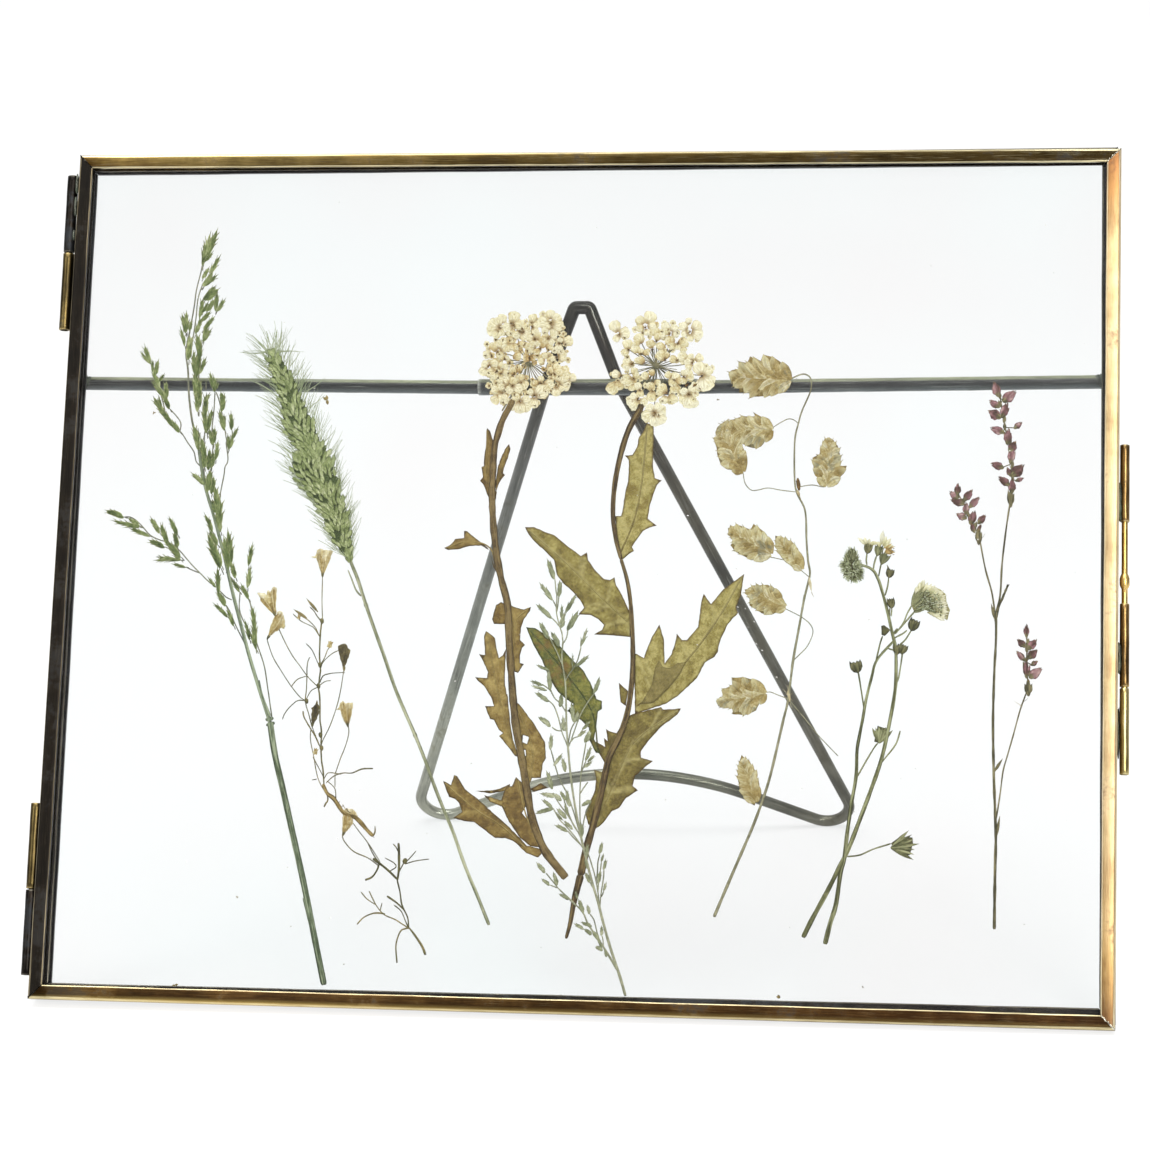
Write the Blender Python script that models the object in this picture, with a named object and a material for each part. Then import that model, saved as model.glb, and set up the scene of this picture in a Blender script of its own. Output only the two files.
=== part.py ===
"""Pressed flower frame: two hinged leaves of brass channel and glass, a folding wire stand,
and eight dried plants between the panes.

Lengths are in millimetres until solid() turns them into metres. A point on a leaf is (u, v, w):
u to the right, v up the frame, both from the middle of the frame, and w towards the viewer
from the front face of the front leaf.
"""
import math

import bmesh
import bpy
from mathutils import Vector
from mathutils.geometry import delaunay_2d_cdt

MILLIMETRE = 0.001

# ---- Frame -----------------------------------------------------------------------------------
FRAME_WIDTH = 262.0
FRAME_HEIGHT = 213.6
FRAME_DEPTH = 7.5
LEAF_DEPTH = 3.6
FRONT_RAIL_FACE = 3.5
BACK_RAIL_FACE = 3.8
RAIL_CHAMFER = 0.4
GROOVE_FLOOR = 1.5
GROOVE_WIDTH = 2.1
MITRE_GAP = 0.2
PANE_THICKNESS = 1.5
FRONT_PANE_FRONT_W = -1.35
GAP = 0.3
# The front leaf hangs a little askew on its worn hinges.
FRONT_TURN_DEG = -0.25
FRONT_SHIFT = (0.3, -0.93)

# ---- Hinges and clasp: (top, bottom) along v of each tube --------------------------------------
HINGE_U = -132.7
HINGE_RADIUS = 1.4
CLASP_U = 132.8
CLASP_RADIUS = 1.15
AXIS_W = -3.75
PIN_RADIUS = 0.75
PIN_BORE = 0.92
HINGE_UPPER_FRONT = (101.8, 81.7)
HINGE_UPPER_BACK = (81.4, 61.4)
HINGE_LOWER_BACK = (-59.0, -80.1)
HINGE_LOWER_FRONT = (-80.4, -101.3)
HINGE_PIN_INSET = 0.6
CLASP_UPPER = (31.9, 13.0)
CLASP_MIDDLE = (-6.9, -27.0)
CLASP_LOWER = (-27.3, -48.0)
CLASP_PIN = (29.0, -39.0)
CLASP_HANDLE = (0.1, -3.2)
CLASP_HANDLE_RADIUS = 1.2
TUBE_SIDES = 10
SMOOTH_ANGLE_DEG = 40

# ---- Stand -----------------------------------------------------------------------------------
PIVOT_V = 47.75
PIVOT_W = -9.35
CROSSBAR_ENDS = (-128.6, 128.0)
CROSSBAR_RADIUS = 1.7
CROSSBAR_STRAIGHT = 30.0
CROSSBAR_RISE = 1.15
SLEEVE_ENDS = (-26.6, 28.4)
SLEEVE_BORE = 1.83
SLEEVE_RADIUS = 2.05
WIRE_RADIUS = 1.575
WIRE_SIDES = 8
WIRE_OFFSET = 3.8
SHARPEST_MITRE = 0.7
WIRE_CENTRE_U = -0.97
LEG_ANGLE_DEG = 54.8
LEG_HALF_WIDTH = 8.5
LEG_SPREAD = 0.3295
FOOT_BEND_RADIUS = 6.6
FOOT_BEND_STEPS = 6
FOOT_CORNER = (173.6, 65.8)
ARCH_CROWN = 148.15
ARCH_RADIUS = 69.6
ARCH_HALF_WIDTH = 33.0
ARCH_STEPS = 4
APEX_ANGLE_DEG = 14.4
APEX_LENGTH = 20.1
APEX_HALF_WIDTH = 1.9
APEX_BEND_RADIUS = 1.3
APEX_BEND_STEPS = 2
KNEE = 1.35

# ---- Specimens -------------------------------------------------------------------------------
# Plants lie in one thin layer on the back pane. The meadow grass lies in a layer in front of it.
PLANT_THICKNESS = 0.45
BACK_PANE_FRONT_W = -4.65
LAYER_BACK_W = BACK_PANE_FRONT_W + GAP
LAYER_FRONT_W = LAYER_BACK_W + PLANT_THICKNESS + GAP
# The plants' outlines were read from the photograph, in its pixels. Each point is carried to the
# plants' layer along the line of sight of the camera, which stands in front of the front leaf.
PHOTO_CENTRE = 575.0
FOCAL_PX = 3334.0
CAMERA = (112.9, -140.3, 792.5)
CAMERA_TURN_DEG = 8.095
CAMERA_PITCH_DEG = 9.906
CAMERA_ROLL_DEG = 2.031
# In pixels: the gap between two plants, the thinnest stem, and the smallest gap that stays open.
PIECE_GAP_PX = 1.5
THIN_PX = 1.3
SMALLEST_HOLE_PX2 = 50.0
LONGEST_BRIDGE_PX = 16.0
SIMPLIFY_PX = 1.25
CENTRELINE_SIMPLIFY_PX = 1.8
PETAL_SIDES = 6
BUD_SIDES = 6
FOXTAIL_BRISTLE_DROP = 55
FOXTAIL_BRISTLE_ROOT = 0.2
SPIKELET_WIDEST = 0.42
MERGE_PX = 0.001
OUTLINE_ATTEMPTS = 8
BRIDGE_ATTEMPTS = 5
# The bell sprig's strands from this one on grow from its root piece.
BELL_ROOT_STRANDS_START = 24

# ---- Brome grass ---------------------------------------------------------------------------
BROME_STEM = (7.5, 7.5, [(324, 985), (313, 930), (303, 880), (293, 835), (283, 790), (275, 755),
                         (270, 722)])
BROME_CULM_LOWER = (5, 4.4, [(270, 722), (258, 685), (249, 655), (241, 625), (232, 590),
                             (229, 577)])
BROME_CULM_UPPER = (4.4, 3.6, [(227.5, 571), (224, 555), (214, 517), (205, 486), (201, 465),
                               (199, 450)])
BROME_FOOT_BULGE = (321.5, 972, 324, 984, 9)
BROME_TIP_STRANDS = [
    (3, 1.3, [(199, 450), (196, 436), (192, 420), (189, 395), (188, 370), (186, 352), (190, 330),
              (194, 308), (196.5, 290), (201, 272), (202, 266)]),
    (1.3, 1.3, [(192, 345), (196, 318), (198, 299), (203, 283)]),
]
BROME_TIP_SPIKELETS = [
    (203, 266, 205, 242, 5), (206, 258, 218, 229, 6), (204, 262, 210, 233, 5),
    (205, 262, 213, 252, 4), (210, 274, 220, 256, 5), (203, 279, 209, 267, 5),
    (204, 287, 218, 274, 4), (204, 287, 213, 272, 7), (205, 301, 219, 288, 8),
    (204, 300, 215, 286, 6), (216, 311, 217, 292, 5), (217, 312, 225, 299, 4.5),
    (207, 312, 215, 299, 6), (200, 318, 203, 298, 5), (203, 313, 208, 302, 4),
    (201, 322, 211, 311, 5), (204, 330, 215, 316, 5), (203, 342, 211, 329, 5),
    (204, 341, 207, 324, 5), (196, 334, 202, 317, 5), (186, 333, 182, 314, 5),
    (187, 332, 186, 311, 5), (190, 331, 191, 320, 4), (185, 346, 181, 328, 4),
    (189, 360, 190, 334, 7), (200, 358, 197, 333, 6), (199, 360, 201, 341, 5),
    (195, 374, 193, 350, 5), (197, 378, 199, 352, 6), (199, 375, 206, 357, 5),
    (196, 395, 195, 370, 6), (199, 410, 199, 378, 7), (198, 412, 196, 390, 5),
]
BROME_MIDDLE_STRANDS = [
    (1.5, 1.5, [(200, 466), (196, 461), (194, 452), (188, 443), (183, 435), (180, 431)]),
    (1.3, 1.2, [(180, 431), (181, 424), (178, 418), (170, 409)]),
    (1.3, 1.2, [(180, 431), (174, 424), (166, 414), (163, 402), (158, 385), (154, 374)]),
    (1.3, 1.2, [(226, 442), (228, 460), (225, 467), (224, 475), (221, 490), (220, 497),
                (218, 510)]),
    (1.3, 1.2, [(225, 430), (226, 437), (227, 442)]),
    (1.3, 1.2, [(205, 430), (204, 445), (204, 470), (206, 488)]),
    (1.3, 1.2, [(216, 392), (219, 400), (222, 414), (225, 430)]),
    (1.2, 1.2, [(206, 390), (206, 381)]),
    (1.3, 1.2, [(215, 392), (214, 410), (212, 430), (213, 445), (211, 470), (210, 490)]),
]
BROME_MIDDLE_SPIKELETS = [
    (180, 432, 168, 418, 6), (173, 426, 160, 408, 6), (165, 415, 153, 397, 6),
    (162, 408, 158, 396, 3), (170, 409, 162, 392, 6), (166, 400, 166, 381, 6),
    (164, 396, 152, 380, 6), (160, 388, 152, 370, 6), (159, 382, 164, 374, 4),
    (155, 376, 158, 360, 6), (153, 372, 152, 360, 4), (150, 363, 140, 352, 4),
    (151, 364, 144, 345, 5),
    (207, 433, 203, 405, 6), (208, 431, 212, 408, 5), (206, 415, 206, 393, 5),
    (204, 404, 210, 393, 4), (213, 388, 210, 372, 4), (215, 392, 214, 376, 5),
    (216, 390, 218, 382, 3), (223, 405, 221, 392, 6), (222, 412, 224, 394, 6),
    (225, 430, 219, 410, 6), (224, 428, 224, 414, 5), (232, 430, 231, 412, 5),
    (229, 450, 234, 432, 5), (229, 448, 228, 434, 4), (232, 440, 238, 427, 4),
    (213, 445, 209, 428, 5), (214, 444, 215, 427, 5), (216, 460, 218, 440, 5),
    (205, 462, 201, 436, 6), (199, 450, 193, 424, 6), (198, 448, 198, 430, 5),
    (205, 468, 203, 450, 6), (209, 470, 210, 449, 7), (212, 468, 214, 452, 5),
    (204, 484, 192, 473, 6), (206, 486, 201, 472, 6), (208, 492, 210, 470, 8),
    (212, 494, 214, 476, 6), (218, 515, 215, 485, 7), (218, 512, 208, 498, 5),
    (216, 512, 210, 505, 5), (219, 530, 220, 498, 7), (221, 532, 216, 512, 6),
    (213, 532, 205, 514, 5), (218, 545, 209, 530, 6), (221, 568, 207, 534, 8),
    (222, 566, 214, 545, 5), (229, 570, 224, 535, 7), (231, 566, 228, 529, 7),
    (236, 578, 230, 560, 6),
]
BROME_LOWER_STRANDS = [
    (1.6, 1.6, [(226, 572), (233, 580), (240, 588), (249, 600), (252, 612), (254, 620), (256, 640),
                (264, 665), (268, 690), (272, 718)]),
    (1.3, 1.3, [(255, 648), (250, 634), (240, 612), (240, 592)]),
    (1.3, 1.3, [(248, 650), (243, 640), (236, 626), (230, 612), (226, 605)]),
    (1.3, 1.3, [(232, 600), (226, 597), (220, 591)]),
    (1.6, 1.3, [(218, 588), (213, 585), (207, 580), (200, 573), (193, 566), (186, 558), (180, 551),
                (170, 543), (160, 540), (150, 535), (142, 526), (136, 520)]),
    (1.3, 1.3, [(200, 573), (192, 570), (186, 567)]),
    (1.3, 1.3, [(136, 520), (130, 517), (124, 517)]),
]
BROME_LOWER_SPIKELETS = [
    (240, 592, 231, 578, 4), (249, 599, 241, 584, 5), (248, 588, 250, 566, 5),
    (249, 566, 252, 543, 4.5), (255, 630, 252, 606, 5), (250, 640, 245, 620, 4),
    (256, 648, 253, 620, 5.5), (257, 650, 250, 632, 4), (234, 626, 227, 608, 5),
    (228, 617, 214, 603, 5), (226, 606, 217, 590, 6), (219, 595, 217, 566, 5),
    (216, 587, 208, 578, 4), (124, 517, 105, 510, 7), (139, 527, 112, 521, 5),
    (150, 536, 129, 528, 5), (140, 526, 128, 518, 6), (165, 547, 148, 540, 6),
    (160, 533, 150, 517, 6), (168, 545, 160, 523, 6), (178, 535, 169, 517, 5.5),
    (178, 548, 174, 532, 6), (181, 557, 165, 540, 6), (175, 558, 154, 561, 4),
    (180, 560, 157, 557, 4), (186, 567, 172, 564, 4), (181, 560, 170, 548, 5),
]

# ---- Foxtail grass -------------------------------------------------------------------------
FOXTAIL_LEFT_EDGE = [(268, 352), (267, 360), (270, 370), (272, 380), (277, 390), (278, 400),
                     (281, 410), (282, 420), (283, 430), (291, 440), (296, 450), (291, 460),
                     (290, 470), (301, 480), (305, 490), (312, 500), (320, 510), (326, 530),
                     (332, 540), (340, 552), (348, 559)]
FOXTAIL_RIGHT_EDGE = [(275, 352), (283, 360), (289, 370), (295, 380), (299, 390), (303, 400),
                      (308, 410), (313, 420), (318, 430), (320, 440), (328, 449), (332, 460),
                      (336, 470), (340, 480), (341, 490), (343, 500), (348, 510), (350, 520),
                      (351, 530), (352, 540), (352, 552), (351, 559)]
FOXTAIL_STEM = (3.4, 3.4, [(349, 557), (352, 565), (358, 580), (366, 605), (374, 628), (384, 656),
                           (395, 688), (405, 712), (415, 735), (425, 760), (434, 785), (443, 808),
                           (453, 832), (465, 866), (477, 895), (489, 925)])
FOXTAIL_SHEATH = (1.2, 2, [(348, 570), (352, 580), (356, 590), (361, 596)])
FOXTAIL_BRISTLE_TIPS = [
    (246, 337), (252, 335), (243, 350), (252, 362), (250, 380), (255, 395), (263, 410), (265, 425),
    (268, 440), (272, 450), (280, 470), (283, 480), (292, 490), (305, 505), (310, 520), (318, 540),
    (266, 331), (277, 330), (290, 345), (300, 352), (305, 362), (311, 372), (325, 378), (325, 395),
    (335, 430), (340, 460), (350, 480), (352, 500), (358, 500),
]

# ---- Sprig with bell flowers ---------------------------------------------------------------
BELL_FLOWERS = [
    [(322.5, 577), (320, 570), (318, 563), (316, 558), (310, 557), (315, 556), (317, 550),
     (320, 548.5), (324, 550), (331, 550), (333, 551), (331, 556), (329, 560), (327, 566),
     (325, 571), (323.5, 575)],
    [(275, 616), (273, 613), (270, 610), (266, 606), (263, 604.5), (264, 602), (259, 596),
     (257, 593), (265, 593), (266.5, 595), (267, 591), (269, 590), (270, 592), (272, 588),
     (274, 586.5), (277, 588), (277, 591), (274, 598), (275, 602), (276, 607), (276.5, 614)],
    [(267, 639), (269.5, 636), (270, 630), (272, 625), (272.5, 620), (276, 620), (277, 612),
     (279, 611), (282.5, 612), (284, 616), (285, 620), (285.5, 626), (284, 629), (281, 628),
     (279, 630), (274, 633), (270, 636)],
    [(344, 671), (342, 664), (340, 659), (339, 654), (338, 650), (338, 646), (342, 644),
     (345, 643.5), (347, 645), (348, 648), (350.5, 650), (350, 653), (349, 657), (347, 662),
     (345, 666)],
    [(312, 727), (311, 720), (311, 714), (312, 710), (311, 708), (314, 706), (317, 700),
     (318, 704), (319.5, 708), (319, 714), (317, 719), (314, 724)],
    [(348, 727), (345, 723), (343, 719), (341, 714), (340, 710), (335.5, 710), (339, 707),
     (340, 703), (343, 700.5), (346, 703.5), (348, 702.5), (353, 702.5), (353, 706), (352, 710),
     (351, 717), (350, 721), (348.5, 726)],
    [(342.5, 836), (342, 830), (342.5, 820), (343, 812), (344, 810), (347, 808), (353, 809),
     (356, 812), (358, 816), (356, 818), (353, 819), (353, 824), (350, 828), (346, 832),
     (343.5, 836)],
]
BELL_STEM = (1.6, 1.6, [(322, 620), (320.5, 632), (320, 640), (319.5, 655), (320, 663),
                        (320.5, 670), (319.5, 678), (318.5, 687), (319.5, 695), (320, 705),
                        (320, 720), (321, 727), (321.5, 735), (321, 745), (321.5, 760),
                        (323, 770), (324, 785)])
BELL_STRANDS = [
    (1, 1, [(322.5, 577), (322, 600), (322.5, 620)]),
    (1.4, 1, [(275, 615), (276, 622), (284, 640), (292, 655), (300, 666), (308, 677), (317, 686)]),
    (1, 1, [(267.5, 638), (267.5, 641), (273, 657), (280, 669), (291, 686), (301, 698),
            (306, 700)]),
    (1.5, 1.5, [(310, 607), (314, 611), (317, 616), (322, 622)]),
    (1, 1, [(298, 614), (303, 617), (308, 620), (315, 627), (319, 635)]),
    (1, 1, [(293, 614), (301, 621), (309, 625), (314, 628), (320, 637)]),
    (1, 1, [(306, 643.5), (312, 650), (317, 661), (319.5, 666)]),
    (1, 1, [(330, 647), (327.5, 650), (326, 654), (324, 659), (320, 665)]),
    (1, 1, [(344, 670), (343.5, 672), (341, 688), (338, 702), (334, 715), (329, 728), (323, 740),
            (321, 746)]),
    (1, 1, [(320, 667), (324, 661), (328, 657), (333, 653), (338.5, 650.5)]),
    (1.6, 1, [(319, 684), (323, 676), (328, 674), (334, 673), (345, 672.5)]),
    (1.2, 1, [(319, 686), (325, 681.5), (331, 680.5)]),
    (1, 1, [(318.5, 687), (312, 690), (309, 694), (306, 700)]),
    (1.4, 1.4, [(307, 673), (306.5, 688), (305.5, 702), (309, 715), (312, 727)]),
    (1.6, 1, [(307, 676), (307, 668), (308, 661), (310, 657)]),
    (1, 1, [(306.5, 676), (298, 679), (294, 683), (291, 687)]),
    (1.6, 1, [(305.5, 700.5), (298, 700.5), (293, 704), (288, 709), (284, 715), (282.5, 719.5)]),
    (2, 1.4, [(303, 711), (304, 717), (309, 726), (315, 736), (320, 747)]),
    (1, 1, [(312, 726), (314, 732), (320, 746)]),
    (1, 1, [(348.5, 726), (348.8, 733), (347, 741), (344, 750), (341, 757), (336.5, 770),
            (335, 774)]),
    (1, 1, [(311, 728), (310.5, 740), (314, 758), (316, 770), (319, 781), (326, 793), (335, 801)]),
    (1, 1, [(317, 779), (312, 780)]),
    (1, 1, [(313, 757), (323, 776)]),
    (1.2, 2, [(326, 783), (334, 776), (343, 773), (352, 773), (362, 769), (373, 768.5)]),
    (1.2, 1, [(324, 779), (328, 773), (337, 773.5), (341, 774.5)]),
    (1, 1, [(327, 781), (333, 786), (335.5, 791), (336, 802)]),
    (1, 1, [(335, 774), (335, 787)]),
    (1, 2, [(325, 786), (328, 799), (326, 803), (324, 807)]),
    (1, 1, [(353, 823), (358, 830), (368, 843), (377, 857), (380, 862)]),
    (1.4, 1.4, [(342.7, 835), (343.5, 840), (353, 851), (368, 858), (379, 866)]),
    (2, 1.4, [(373, 836), (375, 832), (375, 826)]),
]
BELL_ROOT = (4, 4, [(323, 784), (327, 793), (334, 799), (344, 813), (356, 818), (368, 831),
                    (373, 836)])
BELL_BUDS = [(330, 644.5, 3.5), (315.5, 751.5, 3.2), (299, 617, 2.4)]
BELL_FOOT_STRANDS = [
    (1, 1.6, [(368, 843), (372, 852), (377, 860), (381, 865)]),
    (3, 2.4, [(373, 858.5), (383, 866), (390, 872), (397, 879)]),
    (1.2, 1, [(390, 871), (396, 867), (394, 863), (385, 858)]),
    (2.4, 2, [(365, 880), (372, 877), (377, 870), (379, 864)]),
    (3, 2.4, [(398.5, 843), (399, 850), (399, 868), (397.5, 880)]),
    (1, 1, [(393, 844), (396, 847), (399, 853)]),
    (1.4, 1, [(398, 874), (401, 868), (404, 863), (408, 860), (416, 851)]),
    (1.2, 1, [(405, 864), (415, 861), (429, 859)]),
    (1.8, 1.6, [(397, 879), (400, 892), (402, 905), (407.5, 917), (408.5, 925), (409, 929)]),
    (2.4, 1.6, [(387, 896), (397, 903), (405, 911)]),
    (1.4, 1.2, [(394, 905), (401, 911), (405.5, 921), (408, 927)]),
    (1.6, 1, [(408.5, 928), (402, 924), (395, 919.5), (384, 914.5), (376, 905), (369, 891)]),
    (1, 1, [(376, 905), (367, 899), (361, 892)]),
    (1, 1, [(380, 911), (382, 903)]),
    (2, 1.4, [(385, 914), (378, 913), (371, 914), (363, 918), (357, 924.5)]),
    (1.8, 1.6, [(409, 928), (404, 929), (400, 932), (396, 945), (397, 963)]),
    (2, 3, [(408.5, 927), (414, 934), (422, 946), (425.5, 955)]),
]
BELL_FOOT_BUDS = [(405, 861, 2.6)]

# ---- Left umbel ----------------------------------------------------------------------------
LEFT_UMBEL_CENTRE = (528, 361.5)
LEFT_UMBEL_FLOWERS = [  # centre of the flower, then its petals as (x, y, radius)
    ((499.7, 327.6), [(494, 325.5, 6.3), (491.9, 330.4, 5), (496.2, 334.6, 3.9),
                      (502.2, 318.4, 4.2), (498.3, 321.2, 4.2), (501.1, 332.5, 3.5)]),
    ((513.1, 325.1), [(514.1, 317, 5.6), (507.4, 326.9, 4.2), (517.3, 325.5, 4.2),
                      (511, 332.5, 4.2)]),
    ((521.5, 331.4), [(520.8, 324, 3.9), (525.8, 327.6, 3.9), (516.6, 334.6, 3.9),
                      (527.2, 331.8, 3.5), (524.4, 336.7, 3.9)]),
    ((531.8, 326.5), [(532.5, 318.4, 3.9), (535.6, 325.5, 3.2), (534.9, 331.1, 3.5)]),
    ((550.8, 324), [(550.5, 314.2, 4.2), (556.8, 318.4, 4.6), (558.2, 325.5, 5.3),
                    (542.7, 321.9, 5.3), (547.6, 325.5, 4.2), (545.5, 329.7, 3.5),
                    (553.3, 331.1, 3.5)]),
    ((548.3, 338.1), [(545.5, 335.3, 3.2), (553.3, 336, 3.5), (551.2, 341.7, 3.2),
                      (545.5, 341, 3.2)]),
    ((534.9, 338.9), [(530, 338.1, 3.9), (537.1, 334.6, 3.5), (541.3, 339.6, 3.5),
                      (537.1, 343.1, 3.5)]),
    ((539.9, 348.7), [(542.7, 344.5, 3.5), (532.8, 344.5, 3.5), (537.1, 351.5, 3.2),
                      (531.4, 350.1, 3.2), (549.8, 346.6, 3.5)]),
    ((558.9, 343.4), [(568.1, 341, 4.9), (560, 340.3, 2.8), (558.9, 347.3, 3.9),
                      (554.7, 350.1, 3.2)]),
    ((557, 357), [(562.4, 357.2, 3.9), (561, 352.3, 3.5), (553.3, 358.6, 2.8),
                  (545.5, 355.8, 3.2), (541.3, 360.7, 3.2)]),
    ((497, 351.7), [(494, 346.6, 4.2), (498.3, 344.5, 3.5), (504.6, 348, 3.9),
                    (499, 354.4, 3.5), (487, 354.7, 3.9)]),
    ((509.5, 340), [(508.9, 340.3, 3.9), (504.6, 341, 3.5), (510.3, 347.3, 3.9),
                    (515.2, 346.6, 3.5), (521.5, 344.5, 3.5), (527.2, 345.9, 3.5)]),
    ((505, 359), [(503.2, 357.9, 2.8), (506.7, 358.6, 2.8), (517.3, 356.5, 3.9)]),
    ((488.4, 365.6), [(485.6, 364.9, 4.2), (493.7, 363.5, 3.9), (483.1, 371.3, 4.2)]),
    ((496.9, 370.2), [(490.5, 372.7, 4.2), (494, 374.8, 4.2), (501.1, 365.6, 3.2),
                      (505.3, 367.1, 3.2), (505.3, 372.7, 3.2)]),
    ((513.4, 374.5), [(513.1, 371.3, 3.9), (518.7, 368.5, 3.5)]),
    ((512.4, 385.7), [(506, 379.8, 4.2), (513.4, 381.2, 3.9), (518, 388.2, 4.6),
                      (509.6, 389.6, 4.2), (501.1, 380.5, 3.5), (501.8, 386.8, 3.5)]),
    ((521.2, 382.6), [(520.1, 378.3, 4.2), (523.7, 384.7, 4.6)]),
    ((501.8, 392.8), [(495.5, 390.3, 4.2), (495.5, 399.5, 4.6), (502.5, 396.7, 4.9),
                      (506, 400.2, 3.5)]),
    ((519.8, 401.6), [(516.6, 398.1, 4.2), (513.1, 405.1, 4.9), (520.1, 408, 5.3),
                      (526.5, 406.6, 4.9), (525.8, 399.5, 4.2)]),
    ((534.6, 395.6), [(533.5, 403, 4.9), (540.6, 392.4, 7), (530.7, 392.4, 3.2),
                      (545.5, 388.2, 4.2)]),
    ((540.6, 383.3), [(549, 384, 4.6), (535.6, 382.6, 2.8), (540.9, 379, 3.2)]),
    ((551.2, 374.8), [(550.5, 370.6, 3.5), (556.8, 367.8, 4.2), (558.2, 372.7, 4.2),
                      (563.2, 370.6, 4.2)]),
    ((556.1, 384.7), [(566, 376.9, 4.2), (572.3, 377.6, 3.9), (562.4, 379.8, 3.9),
                      (565.3, 386.1, 4.6), (558.2, 378.3, 3.5), (556.1, 392.1, 4.2),
                      (561, 388.2, 3.5)]),
    ((529.4, 358), [(526.8, 357.9, 4), (532.1, 358.2, 3.5)]),
]
LEFT_UMBEL_STEM = (4.5, 6, [(513, 400), (509, 408), (505, 415), (501, 424), (498, 434), (495, 445),
                            (493.5, 460), (493, 475), (492, 490), (493, 520), (496, 550),
                            (501, 578), (507.5, 605), (509, 640), (511, 670), (515, 720),
                            (521, 755), (526, 785), (532, 818), (542, 845), (550, 858),
                            (558, 868), (566, 878)])
LEFT_UMBEL_LEAVES = {
    "sheath_left": [(487, 428), (490, 431), (493, 440), (494, 447), (492, 475), (489, 499),
                    (486, 491), (483, 484), (480, 481), (483, 477), (481.5, 467), (484, 466),
                    (484, 460), (486, 445)],
    "sheath_right": [(509, 444), (510.5, 449), (508, 458), (504, 468), (503, 473), (505, 475),
                     (501, 480), (498, 486), (496, 492), (495, 484), (497, 473), (498, 466),
                     (501, 458), (505, 449)],
    "sheath_spur": [(493, 488), (497, 492), (496, 499), (488, 508), (491, 498)],
    "left_high": [(444, 548), (450, 545), (454, 541), (455, 539), (464, 538), (464, 531),
                  (467, 531), (478, 540), (488, 548), (492, 560), (495, 568), (497, 574),
                  (493, 566), (489, 550), (481, 545.5), (470, 546), (460, 549), (448, 550)],
    "right_high": [(508, 598), (512, 606), (518, 608), (524, 609.5), (531, 607), (530, 611),
                   (524, 619), (521, 628), (520, 640), (525, 645), (522, 648), (520, 655),
                   (520, 663), (524, 664), (518, 673), (512, 671), (509, 640)],
    "stem_flap": [(501, 602), (505, 604), (508, 612), (508, 622), (505, 624), (494, 624),
                  (492, 619), (496, 605)],
    "left_middle": [(486, 631), (484, 636), (485, 655), (479, 654), (482, 659), (488, 672),
                    (487, 678), (475, 677), (478, 681), (484, 686), (491, 697), (494, 706),
                    (485, 706), (490, 719), (494, 720), (499, 730), (503, 733), (499, 736),
                    (509, 748), (515, 756), (519, 757), (513, 740), (510, 720), (508, 697),
                    (505, 685), (505, 672), (506, 649), (503, 655), (499, 658), (496, 645),
                    (495, 638), (489, 633)],
    "right_middle": [(513, 698), (520, 705), (535, 725), (545, 742), (546, 758), (543, 763),
                     (541, 778), (532, 778), (529, 786), (524, 780), (520, 740)],
    "left_low": [(443, 781), (446, 782), (451, 785), (454, 775), (457, 776), (465, 789),
                 (478, 799), (492, 812), (508, 826), (520, 838), (527, 846), (528, 851),
                 (524, 850), (513, 841), (505, 838), (495, 838), (482, 828), (474, 822),
                 (464, 821), (453, 818), (462, 812), (459, 803), (455, 799), (449, 797)],
    "low_blade": [(500, 803), (503, 795), (506, 787), (512, 786), (516, 777), (524, 784),
                  (530, 795), (533, 818), (540, 832), (543, 848), (530, 846), (520, 838),
                  (509, 822)],
    "low_point": [(475, 791), (490, 790.5), (500, 788.5), (510, 784), (510, 789), (500, 792),
                  (490, 793.5)],
    "low_lobe": [(484, 795), (497, 799), (505, 801), (508, 810), (500, 806), (490, 802)],
    "low_curl": [(530, 789), (534, 787), (541, 783), (548, 788), (541, 790), (534, 792)],
    "foot_teeth": [(517, 844), (530, 846), (545, 850), (538, 857.5), (526, 853)],
}
LEFT_UMBEL_HOLES = {
    "slit": [(506, 674), (509, 674), (508.5, 694), (506.5, 694)],
    "gap_high": [(523, 735), (529, 737), (527, 744), (522.5, 742)],
    "gap_low": [(522.5, 750), (525.5, 750), (526, 756), (523, 755)],
    "gap_foot": [(526, 806), (528.5, 821), (522, 813)],
}

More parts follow.
